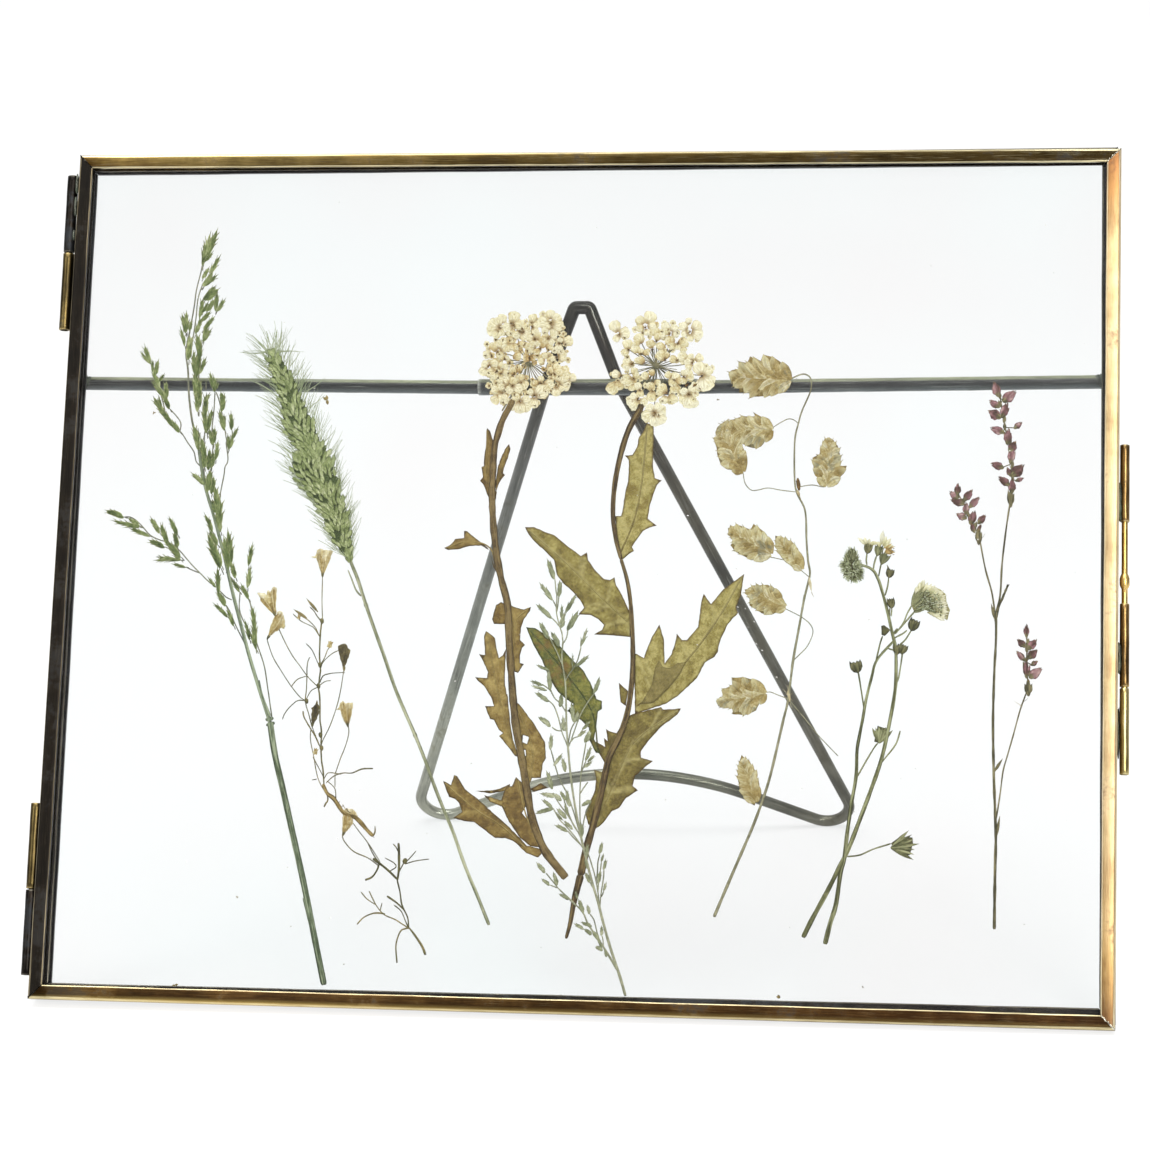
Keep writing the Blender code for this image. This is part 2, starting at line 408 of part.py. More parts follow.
# ---- Right umbel ---------------------------------------------------------------------------
RIGHT_UMBEL_CENTRE = (656.5, 366)
RIGHT_UMBEL_FLOWERS = [
    ((619.3, 334.2), [(615, 326.2, 5.5), (624.2, 333, 5.5), (616.2, 338.7, 3.3)]),
    ((645.4, 327.5), [(650, 317.5, 6), (640, 320.4, 4.3), (640, 328, 3.7), (652, 326.3, 3.8),
                      (646.7, 332.5, 3)]),
    ((656.7, 341), [(655.4, 331.7, 4), (657.5, 336.7, 3.5), (661.7, 335.8, 3.4)]),
    ((669.6, 334.2), [(665.8, 326.7, 4.2), (666.7, 331.7, 3.5), (674.2, 328, 3.8),
                      (675.4, 334.2, 3.3)]),
    ((690, 331.7), [(683.3, 326.7, 4.2), (688.8, 320.8, 3), (696.7, 325.8, 5),
                    (697.5, 334.2, 5.4), (690, 338.3, 3.5), (684.2, 334.2, 3)]),
    ((628.8, 349.6), [(627.5, 344.2, 4.6), (625, 352.5, 3.8)]),
    ((641.7, 343.3), [(639.2, 338.3, 5), (636.7, 342.5, 3.4)]),
    ((641.3, 353.8), [(635.8, 348.8, 4.2), (640.8, 351.7, 3), (646.3, 352.5, 3)]),
    ((652, 349.6), [(650.4, 343.8, 4)]),
    ((667.5, 350), [(661.3, 346.7, 3.8)]),
    ((678.3, 343.3), [(669.6, 340.8, 4.5), (671.7, 345.8, 3.7), (682.5, 342.5, 4.8),
                      (678.3, 346.7, 3.3), (683.3, 349.6, 3.3)]),
    ((632.5, 363.3), [(627, 361.7, 4.2), (626.7, 366.7, 3.8)]),
    ((644.2, 363.3), [(640.8, 360, 3.8)]),
    ((665, 360), [(660.8, 355.4, 5), (666.7, 355, 3)]),
    ((677.5, 360), [(673.3, 359.2, 3.8)]),
    ((692.5, 362.9), [(682.5, 356.7, 5), (688.3, 361.7, 4), (690.8, 356.7, 3),
                      (699.2, 357.9, 4), (688.8, 366.7, 3.4)]),
    ((702, 375.8), [(699.2, 368.3, 6), (707.5, 370.8, 5), (705.8, 383.3, 7.5), (700, 385, 5),
                    (710.8, 380, 4.5)]),
    ((684.2, 376.3), [(688.3, 372.5, 4), (690, 377.5, 3.8), (684.2, 373.3, 3.4),
                      (683.3, 380.8, 3.3)]),
    ((688.8, 394.2), [(684.2, 391.7, 3.8), (691.7, 389.2, 3.8), (689, 401.7, 6.5),
                      (683.3, 400, 4.2), (694.2, 403.3, 4.2)]),
    ((674, 380), [(675, 377.5, 5), (673.3, 382.5, 4.2), (679.2, 380.8, 3.4),
                  (674.2, 389.2, 4.2), (668.3, 375, 3.4)]),
    ((666.3, 393.3), [(672.5, 399.2, 4.6), (662.5, 388.3, 4.6), (660, 392.5, 3.8),
                      (664.2, 400, 3.8)]),
    ((652.5, 390.8), [(650.4, 386.3, 4.2), (651.7, 396.7, 5)]),
    ((652.5, 381.3), [(657.5, 382.5, 3), (645, 375.8, 3.8), (651.7, 372.5, 3)]),
    ((633.3, 378.3), [(634.2, 370.8, 3.4), (635.8, 375.8, 3.3), (625.8, 379.2, 5),
                      (629.2, 382.5, 3.8), (631.7, 387.5, 3.4)]),
    ((640, 390), [(637.9, 386.7, 4.2), (640, 393.3, 3.8)]),
    ((621.7, 375.8), [(615.8, 374.2, 4), (612.5, 388.3, 6), (619.2, 385.8, 4.2),
                      (622.5, 382.5, 3.4)]),
    ((637.9, 398.8), [(633.8, 396.7, 3.8), (635, 405, 5.4), (630, 402.5, 3.4),
                      (643.3, 402.5, 4.2)]),
    ((654.6, 412.5), [(650, 408.3, 4.2), (647.5, 415.8, 6), (658.3, 407.5, 4.5),
                      (660.8, 414.2, 5), (655, 420.8, 5.5), (661.7, 419.2, 4.5)]),
]
RIGHT_UMBEL_STEM = (5, 3, [(641, 404), (639.5, 410), (629, 429), (621.6, 451), (616, 476.5),
                           (613.3, 500), (613.3, 521), (616, 540), (621, 559)])
RIGHT_UMBEL_STEM_LOW = (2.8, 6, [(621, 559), (626.7, 578.6), (630, 598), (631.8, 621),
                                 (632.8, 645.7), (632.6, 667), (631, 690), (627.3, 713),
                                 (619.6, 736), (609, 757.5), (603.8, 780.7), (599, 801.5),
                                 (592.6, 827), (586.2, 849.3), (580.7, 874.8)])
RIGHT_UMBEL_STEM_FOOT = (6, 2.4, [(580.7, 874.8), (574.3, 900.3), (570.3, 922.6), (566, 938.6)])
RIGHT_UMBEL_LEAVES = {
    "high": [(647, 423), (653.5, 426), (653.8, 438), (653, 454), (653, 466), (654.8, 478),
             (661.8, 480.4), (656.7, 485.5), (653.5, 494), (649.7, 506), (647.8, 518.6),
             (656.7, 525.6), (649.7, 527.6), (643, 531), (638, 538), (632, 547), (634, 551),
             (629, 554), (622, 560), (619.7, 557), (616.5, 538), (615.5, 516), (621, 516),
             (623, 508), (625, 494), (628, 481.6), (629, 466), (628.6, 460), (624.8, 455.5),
             (632.5, 454.8), (637, 447), (639, 437), (642.7, 432.5)],
    "left": [(525, 527), (534, 527), (545, 532), (554, 535), (565, 544), (573, 550), (581, 556),
             (587, 552.4), (588, 560), (595, 570), (604, 579), (610, 580), (614.6, 577.3),
             (616, 585), (622, 595), (627, 606), (631, 615), (631, 637), (619.6, 636), (607, 635),
             (594, 634.5), (602, 630), (604, 625), (598, 619), (590.5, 615), (578.5, 614.5),
             (584, 607.5), (580, 600), (573, 592), (563, 583), (557, 575), (554, 560),
             (545, 551), (535, 542), (529, 535)],
    "right": [(634, 653), (637, 654), (644, 658), (647, 649), (652, 636.5), (659.4, 624.5),
              (664, 640), (664.3, 652), (664.7, 663.5), (671.6, 654), (675.5, 641),
              (676.7, 633.5), (682, 640), (687, 640), (698, 627), (701.5, 601), (703.8, 593.7),
              (711, 604), (723.7, 589), (744.3, 573.8), (741, 595), (736, 607.5), (738, 613),
              (728, 624), (722, 636.5), (719, 645), (718, 652), (714.5, 657), (705, 662.6),
              (697, 678), (678, 696), (665.5, 704), (650, 709), (635, 714)],
    "low": [(627, 716), (640, 712), (661, 707), (663, 709.5), (681, 708.5), (677, 715),
            (661, 727), (650, 739), (641, 751), (641, 757.5), (653, 761), (645.6, 766.6),
            (635, 776), (632.6, 786), (638, 790.4), (626, 798), (619, 808), (612, 811),
            (604, 822), (600, 826), (594, 830), (588, 824), (585, 812), (590, 802), (595, 790),
            (596, 778), (594, 769.6), (602, 772), (612, 740)],
    "low_teeth": [(626, 738), (616, 733), (609, 731), (606, 729), (607.5, 741), (604, 738),
                  (605, 747), (597, 742), (590, 741), (600, 755), (606, 766)],
    "small_tooth": [(618.8, 682.5), (628, 691), (626, 706), (620.5, 702)],
    "shaded": [(526, 627), (535, 628), (549, 636.5), (560, 646), (570.6, 658), (583, 670),
               (590.5, 682.5), (596.6, 699), (602, 701), (602, 709), (598, 711.5), (596.6, 725),
               (594, 739), (601, 753), (596, 753), (588, 738), (589, 728), (583, 722),
               (573.7, 714.6), (567, 711), (573.5, 704), (566, 699), (558, 692), (549, 678),
               (542, 660), (534, 646)],
}

# ---- Fine meadow grass ---------------------------------------------------------------------
MEADOW_STEM = (1.6, 3, [(563, 640), (562, 660), (565, 680), (566, 700), (566.5, 725), (568, 747),
                        (570, 770), (572.5, 790), (576, 812), (580, 832), (584, 850), (588, 866),
                        (592, 882), (598, 902), (602, 918), (608, 940), (614, 959), (620, 977),
                        (625.5, 996)])
MEADOW_UPPER_STRANDS = [
    (1, 1.2, [(555, 579), (556, 590), (557, 597), (556.5, 612), (560, 627), (562, 633),
              (563, 642)]),
    (1, 1, [(559, 596), (558, 605), (556.8, 612)]),
    (1, 1, [(553, 600), (556.8, 608)]),
    (1, 1, [(552, 618), (556, 622), (560, 627)]),
    (1, 1, [(568, 630), (566.5, 638), (563, 644)]),
    (1, 1, [(566, 613), (562, 622), (560, 627)]),
    (1, 1, [(581, 647), (579.5, 654), (576, 664), (568, 676), (565, 682)]),
    (1, 1, [(549, 636), (556, 650), (562, 664)]),
    (1, 1, [(549, 670), (549, 684), (554, 697), (561, 704), (566, 712)]),
    (1, 1, [(542, 684), (550, 690), (554, 697)]),
    (1, 1, [(594, 694), (588, 702), (580, 716), (573, 735), (568.3, 748)]),
    (1, 1.2, [(548, 700), (554, 706), (558.5, 718), (562, 732), (566, 742), (568.2, 748)]),
    (1, 1, [(552, 727), (556, 730), (561.5, 731)]),
    (1, 1, [(575, 722), (571, 730), (568, 745)]),
]
MEADOW_UPPER_SPIKELETS = [
    (555, 579, 547, 559, 7), (553, 600, 539, 582.5, 6), (552, 618, 536, 604, 6.5),
    (559.5, 597, 560, 580, 6), (566, 613, 576, 594, 5.5), (561.5, 618, 562, 605, 3.5),
    (560, 624, 565, 612, 4), (562, 628, 564, 617, 5), (568, 631, 578, 611, 7),
    (581, 647, 587, 628, 4), (549, 638, 539, 622, 7), (560, 646, 551, 632, 7),
    (549, 670, 536.5, 665.5, 4.5), (551, 690, 548, 671, 6), (576, 667, 589, 655, 5),
    (573, 669, 572, 653, 2), (594, 694, 600, 677, 5.5), (543, 685, 530, 681, 4),
    (547, 690, 531, 686, 4), (549, 701, 535, 692.5, 6), (561, 707, 561, 694, 6),
    (574, 722, 571, 702, 5), (575, 723, 578, 711, 6), (551, 726, 538, 716.5, 7),
    (564, 731, 563, 716, 4.5), (566, 731, 561, 723, 4),
]
MEADOW_LOWER_STRANDS = [
    (1, 1, [(586, 743), (584.5, 752), (581.5, 770), (580, 792), (580, 812), (580.5, 830)]),
    (1, 1, [(578, 737), (574, 738), (569, 744)]),
    (1, 1, [(582.5, 730), (578, 737)]),
    (1, 1, [(551, 750), (553, 757), (555, 765), (560, 780), (567, 793), (571, 804), (575, 816),
            (580, 834)]),
    (1, 1, [(555, 797), (561, 806), (569, 817), (577, 830), (581, 838)]),
    (1, 1, [(564, 800), (568, 812), (573, 824), (578, 832)]),
    (1, 1, [(553, 808), (560, 820), (566, 826), (576, 838), (583, 848)]),
    (1, 1, [(568, 831), (573, 837), (582, 846)]),
    (1, 1, [(586, 761), (584, 766), (581.6, 772)]),
    (1, 1, [(588, 782), (583, 789), (580, 794)]),
    (1, 1, [(591, 801), (585, 816), (581.5, 835)]),
    (1.2, 1.2, [(588, 853), (591, 862), (595, 876), (598, 892), (599.5, 908)]),
    (1, 1, [(600, 854), (598, 862), (597.5, 872), (596, 882)]),
    (1, 1, [(601.5, 862), (600, 874), (598.5, 884), (598, 892)]),
    (1, 1, [(604, 870), (603.5, 878), (601, 895), (600, 906)]),
    (1, 1, [(604, 891), (601.5, 897)]),
    (1, 1, [(588, 869), (591, 880)]),
    (1, 1, [(590, 882), (593, 888)]),
]
MEADOW_LOWER_SPIKELETS = [
    (582.5, 730, 590, 721, 4), (578, 737, 586, 730, 4), (586, 743, 590, 730, 7),
    (551, 750, 551, 734, 5), (554, 766, 562, 753.5, 4.5), (566, 772, 562, 757.5, 5),
    (586, 761, 591, 746, 4.5), (588, 762, 594.5, 755, 4), (584, 768, 592, 761, 4),
    (553, 789, 546.5, 771, 6), (555, 796, 540.5, 793.5, 6), (562, 800, 551, 793, 6),
    (553, 808, 542, 799.5, 5), (553, 808, 535, 813.5, 6), (566, 800, 560, 791, 5),
    (568, 801, 567, 790, 4), (571, 806, 565, 796, 6), (568, 815, 564.5, 803, 4),
    (567, 818, 556.5, 808.5, 6), (563, 820, 555, 812, 3), (573, 829, 564, 821, 4.5),
    (568, 831, 555, 825, 5), (591, 800, 581.5, 806, 6), (582.5, 837, 581, 822, 4.5),
    (587, 858, 587, 843, 5), (600, 854, 602, 842, 5), (601.5, 862, 603.5, 854, 3),
    (604, 870, 606, 859, 4.5), (598.5, 884, 600, 870, 5), (604, 891, 606, 882, 3.5),
    (588, 869, 585, 858, 4), (590, 882.5, 585, 872, 5),
]
MEADOW_FOOT_STRAND = (1.2, 2.4, [(558, 888), (563, 893), (573, 902), (583, 913), (588, 924),
                                 (596, 936), (604, 948), (612, 961), (617, 970)])
MEADOW_FOOT_STRANDS = [
    (1, 1, [(546, 873), (555, 884), (558, 888)]),
    (1, 1, [(550, 885), (558, 888)]),
    (1, 1, [(569, 899), (576, 906)]),
    (1, 1, [(590, 914), (594, 920), (597, 932), (600, 942)]),
    (1, 1, [(602, 936), (603, 940), (603.5, 947)]),
    (1, 1, [(584, 929), (592, 933)]),
]
MEADOW_FOOT_SPIKELETS = [
    (545.5, 872.5, 536.5, 863, 6), (550, 885, 541.5, 879, 5), (558, 885, 553, 872.5, 5.5),
    (569, 899, 559, 894, 5), (578, 899, 575, 891, 3), (584, 913, 578, 899, 6),
    (590, 914, 587, 905, 4.5), (584, 929, 574, 923.5, 4.5), (592, 926, 581, 922.5, 5),
    (592, 934, 584, 929.5, 6), (599, 939, 592, 931, 6), (602, 947, 597, 937, 5),
    (603, 949.5, 595, 947, 6), (602, 936, 601.5, 926, 4), (607, 957, 604.5, 949, 4),
]

# ---- Quaking grass -------------------------------------------------------------------------
QUAKING_STEM = (1.4, 3.2, [(789.5, 379.5), (801, 374.4), (807, 375), (811, 379.5), (810.5, 391),
                           (802, 411), (798.4, 423.5), (794.8, 441), (794.6, 478), (797, 493),
                           (804, 507), (806, 519), (806.5, 540), (808, 560), (810, 573),
                           (808, 583), (804, 600), (800, 622), (793, 662), (788, 700),
                           (783, 721.5), (771, 773), (763, 799), (753, 826), (741, 854),
                           (728, 884), (714, 917)])
QUAKING_STRANDS = [
    (1, 1.4, [(804, 595), (800.5, 617), (795, 645), (791, 668)]),
    (1, 1, [(771, 428.6), (780, 423), (788, 419), (794, 420), (798.6, 424)]),
    (1, 1, [(743, 472), (745, 483), (751, 490), (758, 490), (768, 488), (780, 490), (796, 492)]),
    (1, 1, [(827, 484), (824, 487), (812, 485), (798, 487)]),
    (1, 1, [(769, 557), (775, 558), (784, 560)]),
    (1, 1, [(800.5, 569), (802, 571), (809, 577)]),
    (1, 1.4, [(784, 608), (790, 611), (798, 615), (803, 618), (810, 624), (813, 631), (811, 639),
              (806, 648), (799, 655), (794, 660)]),
    (1, 1, [(763.5, 693), (770, 692), (778, 695), (788.5, 699)]),
    (1, 1, [(790, 701), (806, 720), (818, 735), (838, 756)]),
]
QUAKING_HEADS = {
    "high": [(788.5, 379.8), (784.5, 387.7), (777.6, 394.7), (768.6, 397.7), (748.7, 398.2),
             (752.7, 392.7), (737.8, 393.7), (738.3, 390.2), (728.9, 383.3), (733.8, 381.8),
             (726.4, 374.8), (729.9, 369.9), (738.8, 368.4), (738.3, 360.4), (746.7, 361.9),
             (749.7, 354.9), (762.7, 360.4), (763.6, 353), (774.6, 355.9), (782.5, 361.4),
             (787.5, 370.8)],
    "pair": [(771.4, 429), (769.6, 423.5), (764.6, 417.6), (753.2, 410.6), (755.7, 415.6),
             (741.8, 415.6), (730.8, 419.1), (719.9, 424), (716.4, 427), (717.4, 434.5),
             (713, 438.4), (715.9, 447.4), (716.4, 454.3), (719.9, 464.3), (725.9, 470.2),
             (734.8, 472.2), (743.3, 471.2), (744.8, 465.3), (748.7, 457.3), (749.7, 448.4),
             (754.7, 449.4), (761.7, 447.9), (766.6, 441.4), (770.1, 434.5)],
    "right": [(826.8, 483.7), (834.2, 483.2), (840.2, 479.2), (845.2, 473.2), (848.1, 465.8),
              (841.2, 465.8), (841.7, 456.3), (838.2, 444.4), (829.3, 435.5), (823.3, 439.4),
              (820.3, 445.4), (818.8, 454.3), (811.4, 457.3), (812.4, 464.3), (812.9, 471.2),
              (816.3, 478.2), (822.3, 482.7)],
    "middle": [(726.3, 527.4), (737.9, 524), (750.4, 528.8), (753.8, 522.6), (761, 527.9),
               (767.7, 533.7), (770.6, 541.3), (770.1, 551.9), (768.7, 556.7), (760, 560.6),
               (751.3, 561.5), (742.7, 556.7), (734, 551.9), (729.2, 545.2), (733.1, 541.3),
               (728.3, 535.6)],
    "small": [(774.4, 534.6), (783.1, 536.5), (792.7, 541.3), (798.5, 548.1), (801.8, 558.7),
              (800.9, 568.8), (792.7, 566.3), (785, 561.5), (777.3, 552.9), (774.4, 543.3)],
    "lower": [(743.2, 588.9), (752.3, 588), (751.3, 584.6), (767.7, 583.7), (775.4, 587.5),
              (781.2, 593.3), (783.6, 601), (783.6, 607.7), (779.2, 611.5), (769.6, 615.4),
              (761.9, 614.4), (754.2, 609.6), (748.5, 605.8), (748.5, 599)],
    "low": [(714.2, 701.3), (725.3, 693.9), (719.7, 690.2), (732.8, 683.7), (730.9, 676.2),
            (745.8, 676.2), (755.1, 679), (762.5, 686.5), (764.3, 693), (762.5, 701.3),
            (756.9, 711.6), (745.8, 716.2), (731.8, 715.3), (734.6, 709.7), (717, 706.9)],
    "lowest": [(741.1, 753.4), (749.5, 760.8), (756, 770.1), (759.1, 783.1), (758.8, 794.3),
               (755.1, 807.3), (745.8, 801.7), (739.3, 790.6), (736.8, 777.5), (738, 762.7)],
}

# ---- Knapweed ------------------------------------------------------------------------------
KNAPWEED_STEM = (2.8, 5, [(856.6, 561), (861.4, 565), (867, 566.7), (873.5, 570.7),
                          (878.3, 579.5), (881.5, 589.1), (887.1, 609.9), (891.9, 631.6),
                          (895.1, 645.2), (896, 653), (896, 675), (895, 691), (891, 715),
                          (882, 757), (869.6, 793.5), (857, 827), (848, 850), (840.5, 865),
                          (828, 890), (813, 917.5), (803, 937.5)])
KNAPWEED_SIDE_STEM = (2.4, 5, [(894.5, 640), (877, 660), (871.7, 677), (866, 700), (863, 717.5),
                               (859.6, 735), (857, 751), (856, 777), (851, 806), (847, 835),
                               (844, 860), (840.5, 873), (836, 904), (830, 924), (825, 944.2)])
KNAPWEED_STRANDS = [
    (1.2, 1.2, [(867, 553.4), (866.3, 560.3), (867, 565)]),
    (1.2, 1.2, [(876.7, 555.4), (874.3, 563.5), (873.5, 569)]),
    (1.2, 1.2, [(881.1, 564.3), (879.9, 569.9), (878.7, 576.3)]),
    (1, 1, [(888.7, 577.5), (887.9, 585.1), (885.1, 595.5)]),
    (1, 1, [(891.9, 608.3), (891.1, 616.3)]),
    (1.2, 1.2, [(911.1, 630.8), (905.5, 639.6), (900.7, 644.4), (897, 650)]),
    (1, 1, [(882.7, 636), (880.3, 642.8), (878.7, 649.6), (876, 661)]),
    (1.6, 1.4, [(903, 650), (899, 676), (896, 684)]),
    (1.2, 1.2, [(858, 670), (863, 701.4), (864.5, 712)]),
    (1.6, 1.2, [(907.1, 630.4), (902.3, 634), (895.9, 637.2)]),
    (1.2, 1.2, [(918.3, 607.5), (911.9, 614.7), (905.5, 622), (895.1, 634)]),
    (1.2, 1.2, [(911.5, 605.9), (907.1, 613.9), (903.1, 623.6), (895.9, 633.2)]),
    (1.2, 1.2, [(878, 743), (874, 748), (865, 763), (856, 779)]),
    (1.2, 1.2, [(900.3, 730.8), (895.8, 744.2), (885, 758.3), (881, 763)]),
    (1.2, 1.2, [(890.8, 843.7), (873.3, 849.2), (860, 855), (847.5, 856.7)]),
    (1, 1, [(888, 648.5), (897, 651)]),
]
KNAPWEED_BUDS = [  # centre, width, height
    (868.3, 548.2, 8.5, 10), (889.9, 573.1, 8.7, 8), (891.1, 603.1, 8.4, 8.8),
    (913.5, 624.8, 11.6, 11), (897, 649, 9.2, 9.2), (903, 649, 9.2, 9.2), (856.3, 666.6, 13, 13),
]
KNAPWEED_BUD_LEAF = [(881.1, 626), (884, 625), (890.3, 630), (884.7, 636), (881.5, 634.8)]
KNAPWEED_HEAD = [(851, 548), (856, 551), (857, 560), (862, 570), (862, 576), (858, 580),
                 (850, 580), (845, 575), (842, 566), (844, 560), (847, 553)]
KNAPWEED_SMALL_FLOWER = [(857, 537), (866, 537), (870, 540), (880, 541), (881, 544), (872, 544),
                         (864, 543), (857, 540)]
KNAPWEED_FLOWER = [(876, 548), (881, 538.6), (883.1, 531), (886, 539), (890.3, 537.8),
                   (891.5, 543.4), (894.3, 548.2), (895.5, 553.4), (891.9, 556.3), (888, 562),
                   (880.5, 563.5), (876.5, 556)]
KNAPWEED_FAN = [(910.7, 604.3), (912, 599.5), (914.7, 594), (918, 592), (916.7, 587.5),
                (922, 586), (925.5, 579.5), (928.7, 585.9), (934.4, 586.7), (940, 589.1),
                (945.6, 593.9), (946.4, 601.1), (950, 609.9), (947.2, 620.4), (942.4, 617.1),
                (936.8, 615.5), (931.2, 612.3), (925.5, 609.9), (919.9, 612.3), (915.1, 613.1)]
KNAPWEED_CAPSULES = [
    [(877.5, 725.8), (882.5, 727.5), (886.7, 728.3), (885.8, 737.5), (880, 743.7),
     (874.2, 741.7)],
    [(890.8, 843.7), (900, 836.7), (912.5, 837.5), (913, 843.3), (910, 855), (905, 855.8),
     (898.3, 850)],
]

# ---- Knotweed ------------------------------------------------------------------------------
KNOTWEED_STEM = (3, 4, [(996, 611), (996, 638.6), (994.3, 672.6), (993, 721), (993.7, 771.5),
                        (995, 809), (995.8, 839), (995, 872.5), (994.3, 929.3)])
KNOTWEED_TALL_AXIS = (1.6, 2.6, [(999.4, 392), (1004.6, 425), (1009, 444), (1011.5, 466),
                                 (1011.5, 490.5), (1006, 530), (1002, 564.6), (1000.3, 594),
                                 (996.5, 612)])
KNOTWEED_SHORT_AXIS = (1.6, 2.4, [(957, 492), (966, 508), (978.7, 536), (980.5, 544),
                                  (985.6, 570), (991.7, 592), (994.8, 612)])
KNOTWEED_SIDE_AXIS = (1.4, 2, [(1026.5, 630), (1027, 650), (1026.3, 668), (1028.4, 687),
                               (1026, 693.7), (1020, 710.5), (1013.7, 733.6), (1007, 757),
                               (1003, 771.5), (1000, 794.7), (996, 820)])
KNOTWEED_LEAF = (1.5, 5, [(1008, 584.4), (1003, 596), (998.6, 606), (995, 621.4)])
KNOTWEED_TALL_BUDS = [  # centre, width, height
    (996, 389, 9, 13), (1009.7, 396, 12, 14), (994, 403.6, 8, 10), (994, 414, 12, 12),
    (1005, 409.6, 8, 14), (996.8, 430, 12, 9), (1018.4, 425, 7, 8), (1008, 436, 8, 14),
    (1013, 446, 10, 10), (996.8, 465.6, 11, 9), (1018.4, 470, 13, 14), (1003.7, 481, 8, 12),
    (1020, 479.4, 7, 5), (1011.5, 455, 7, 14), (1009, 471.6, 6, 8), (1012, 485.4, 9, 12),
    (1010.6, 497.4, 6, 16),
]
KNOTWEED_SHORT_BUDS = [
    (957.7, 489, 7, 10), (953.4, 495, 9, 8), (968.4, 495, 8, 12), (957, 502, 12, 8),
    (974.4, 502, 7, 12), (966, 508, 8, 10), (961, 516, 9, 9), (972.7, 517, 9, 12),
    (982, 519, 8, 9), (979.6, 527.6, 4, 6), (972.7, 527.6, 6, 8), (978.7, 536, 6, 14),
]
KNOTWEED_SIDE_BUDS = [
    (1026.5, 630.5, 5, 11), (1021, 643, 8, 9), (1032.6, 644, 9, 11), (1020.6, 656, 6, 11),
    (1033, 653.7, 10, 10), (1034.7, 663, 6, 6), (1035.7, 672.6, 11, 13), (1026.3, 668.4, 5, 16),
    (1028.4, 687.3, 7, 14),
]

# ---- Places ----------------------------------------------------------------------------------
def stand_frame(along, across, angle_deg):
    """The point of the stand's wire at a length along it from the pivot, in (u, v, w)."""
    angle = math.radians(angle_deg)
    v = PIVOT_V - along * math.cos(angle) + WIRE_OFFSET * math.sin(angle)
    w = PIVOT_W - along * math.sin(angle) - WIRE_OFFSET * math.cos(angle)
    return Vector((WIRE_CENTRE_U + across, v, w))


def bend(before, corner, after, radius, steps):
    """A rounded corner between two straight lengths of wire, as points from one to the other."""
    back = (Vector(before) - Vector(corner)).normalized()
    ahead = (Vector(after) - Vector(corner)).normalized()
    half_angle = back.angle(ahead) / 2
    centre = Vector(corner) + (back + ahead).normalized() * (radius / math.sin(half_angle))
    start = Vector(corner) + back * (radius / math.tan(half_angle)) - centre
    sweep = math.pi - 2 * half_angle
    side = 1 if back.cross(ahead) < 0 else -1
    points = []
    for step in range(steps + 1):
        turn = side * sweep * step / steps
        points.append((centre.x + start.x * math.cos(turn) - start.y * math.sin(turn),
                       centre.y + start.x * math.sin(turn) + start.y * math.cos(turn)))
    return points


def wire_half():
    """Half of the stand's wire, from the arch's crown round the foot and up to the apex.

    Each point is (length along the stand, distance across, angle of its plane in degrees).
    """
    path = []
    for step in range(ARCH_STEPS + 1):
        across = ARCH_HALF_WIDTH * step / ARCH_STEPS
        path.append((ARCH_CROWN + ARCH_RADIUS - math.sqrt(ARCH_RADIUS ** 2 - across ** 2), across))
    knee = (KNEE, LEG_HALF_WIDTH + LEG_SPREAD * KNEE)
    path += bend(path[-1], FOOT_CORNER, knee, FOOT_BEND_RADIUS, FOOT_BEND_STEPS)
    path.append(knee)
    half = [(along, across, LEG_ANGLE_DEG) for along, across in path]
    for along, across in bend(knee, (-APEX_LENGTH, APEX_HALF_WIDTH), (-APEX_LENGTH, 0),
                              APEX_BEND_RADIUS, APEX_BEND_STEPS):
        half.append((along, across, APEX_ANGLE_DEG))
    return half


def lean_angle():
    """How far the frame leans back when its bottom edge and the stand's feet are on the floor."""
    foot = stand_frame(max(along for along, _, _ in wire_half()), 0, LEG_ANGLE_DEG)
    rise = FRAME_HEIGHT / 2 + foot.y
    reach = -FRAME_DEPTH - foot.z
    return math.atan2(rise, reach) - math.asin(WIRE_RADIUS / math.hypot(rise, reach))


LEAN = lean_angle()


def world(point):
    """A point of the back leaf, in the world, still in millimetres."""
    u, v, w = point
    height = v + FRAME_HEIGHT / 2
    depth = w + FRAME_DEPTH
    y = height * math.sin(LEAN) - depth * math.cos(LEAN)
    z = height * math.cos(LEAN) + depth * math.sin(LEAN)
    return Vector((u, y, z))


def on_front_leaf(point):
    """A point given on the front leaf, in the back leaf's own measures."""
    u, v, w = point
    turn = math.radians(FRONT_TURN_DEG)
    new_u = u * math.cos(turn) - v * math.sin(turn) + FRONT_SHIFT[0]
    new_v = u * math.sin(turn) + v * math.cos(turn) + FRONT_SHIFT[1]
    return Vector((new_u, new_v, w))


HINGE_ORIGIN = (HINGE_U, 0.0, AXIS_W)
CLASP_ORIGIN = (CLASP_U, 0.0, AXIS_W)
STAND_ORIGIN = (0.0, PIVOT_V, PIVOT_W)


# ---- Materials and solids ----------------------------------------------------------------------
def material(name, colour, roughness, metallic=0.0, alpha=1.0):
    made = bpy.data.materials.new(name)
    made.use_nodes = True
    shader = made.node_tree.nodes["Principled BSDF"]
    shader.inputs["Base Color"].default_value = (*colour, 1.0)
    shader.inputs["Roughness"].default_value = roughness
    shader.inputs["Metallic"].default_value = metallic
    shader.inputs["Alpha"].default_value = alpha
    made.diffuse_color = (*colour, alpha)
    return made


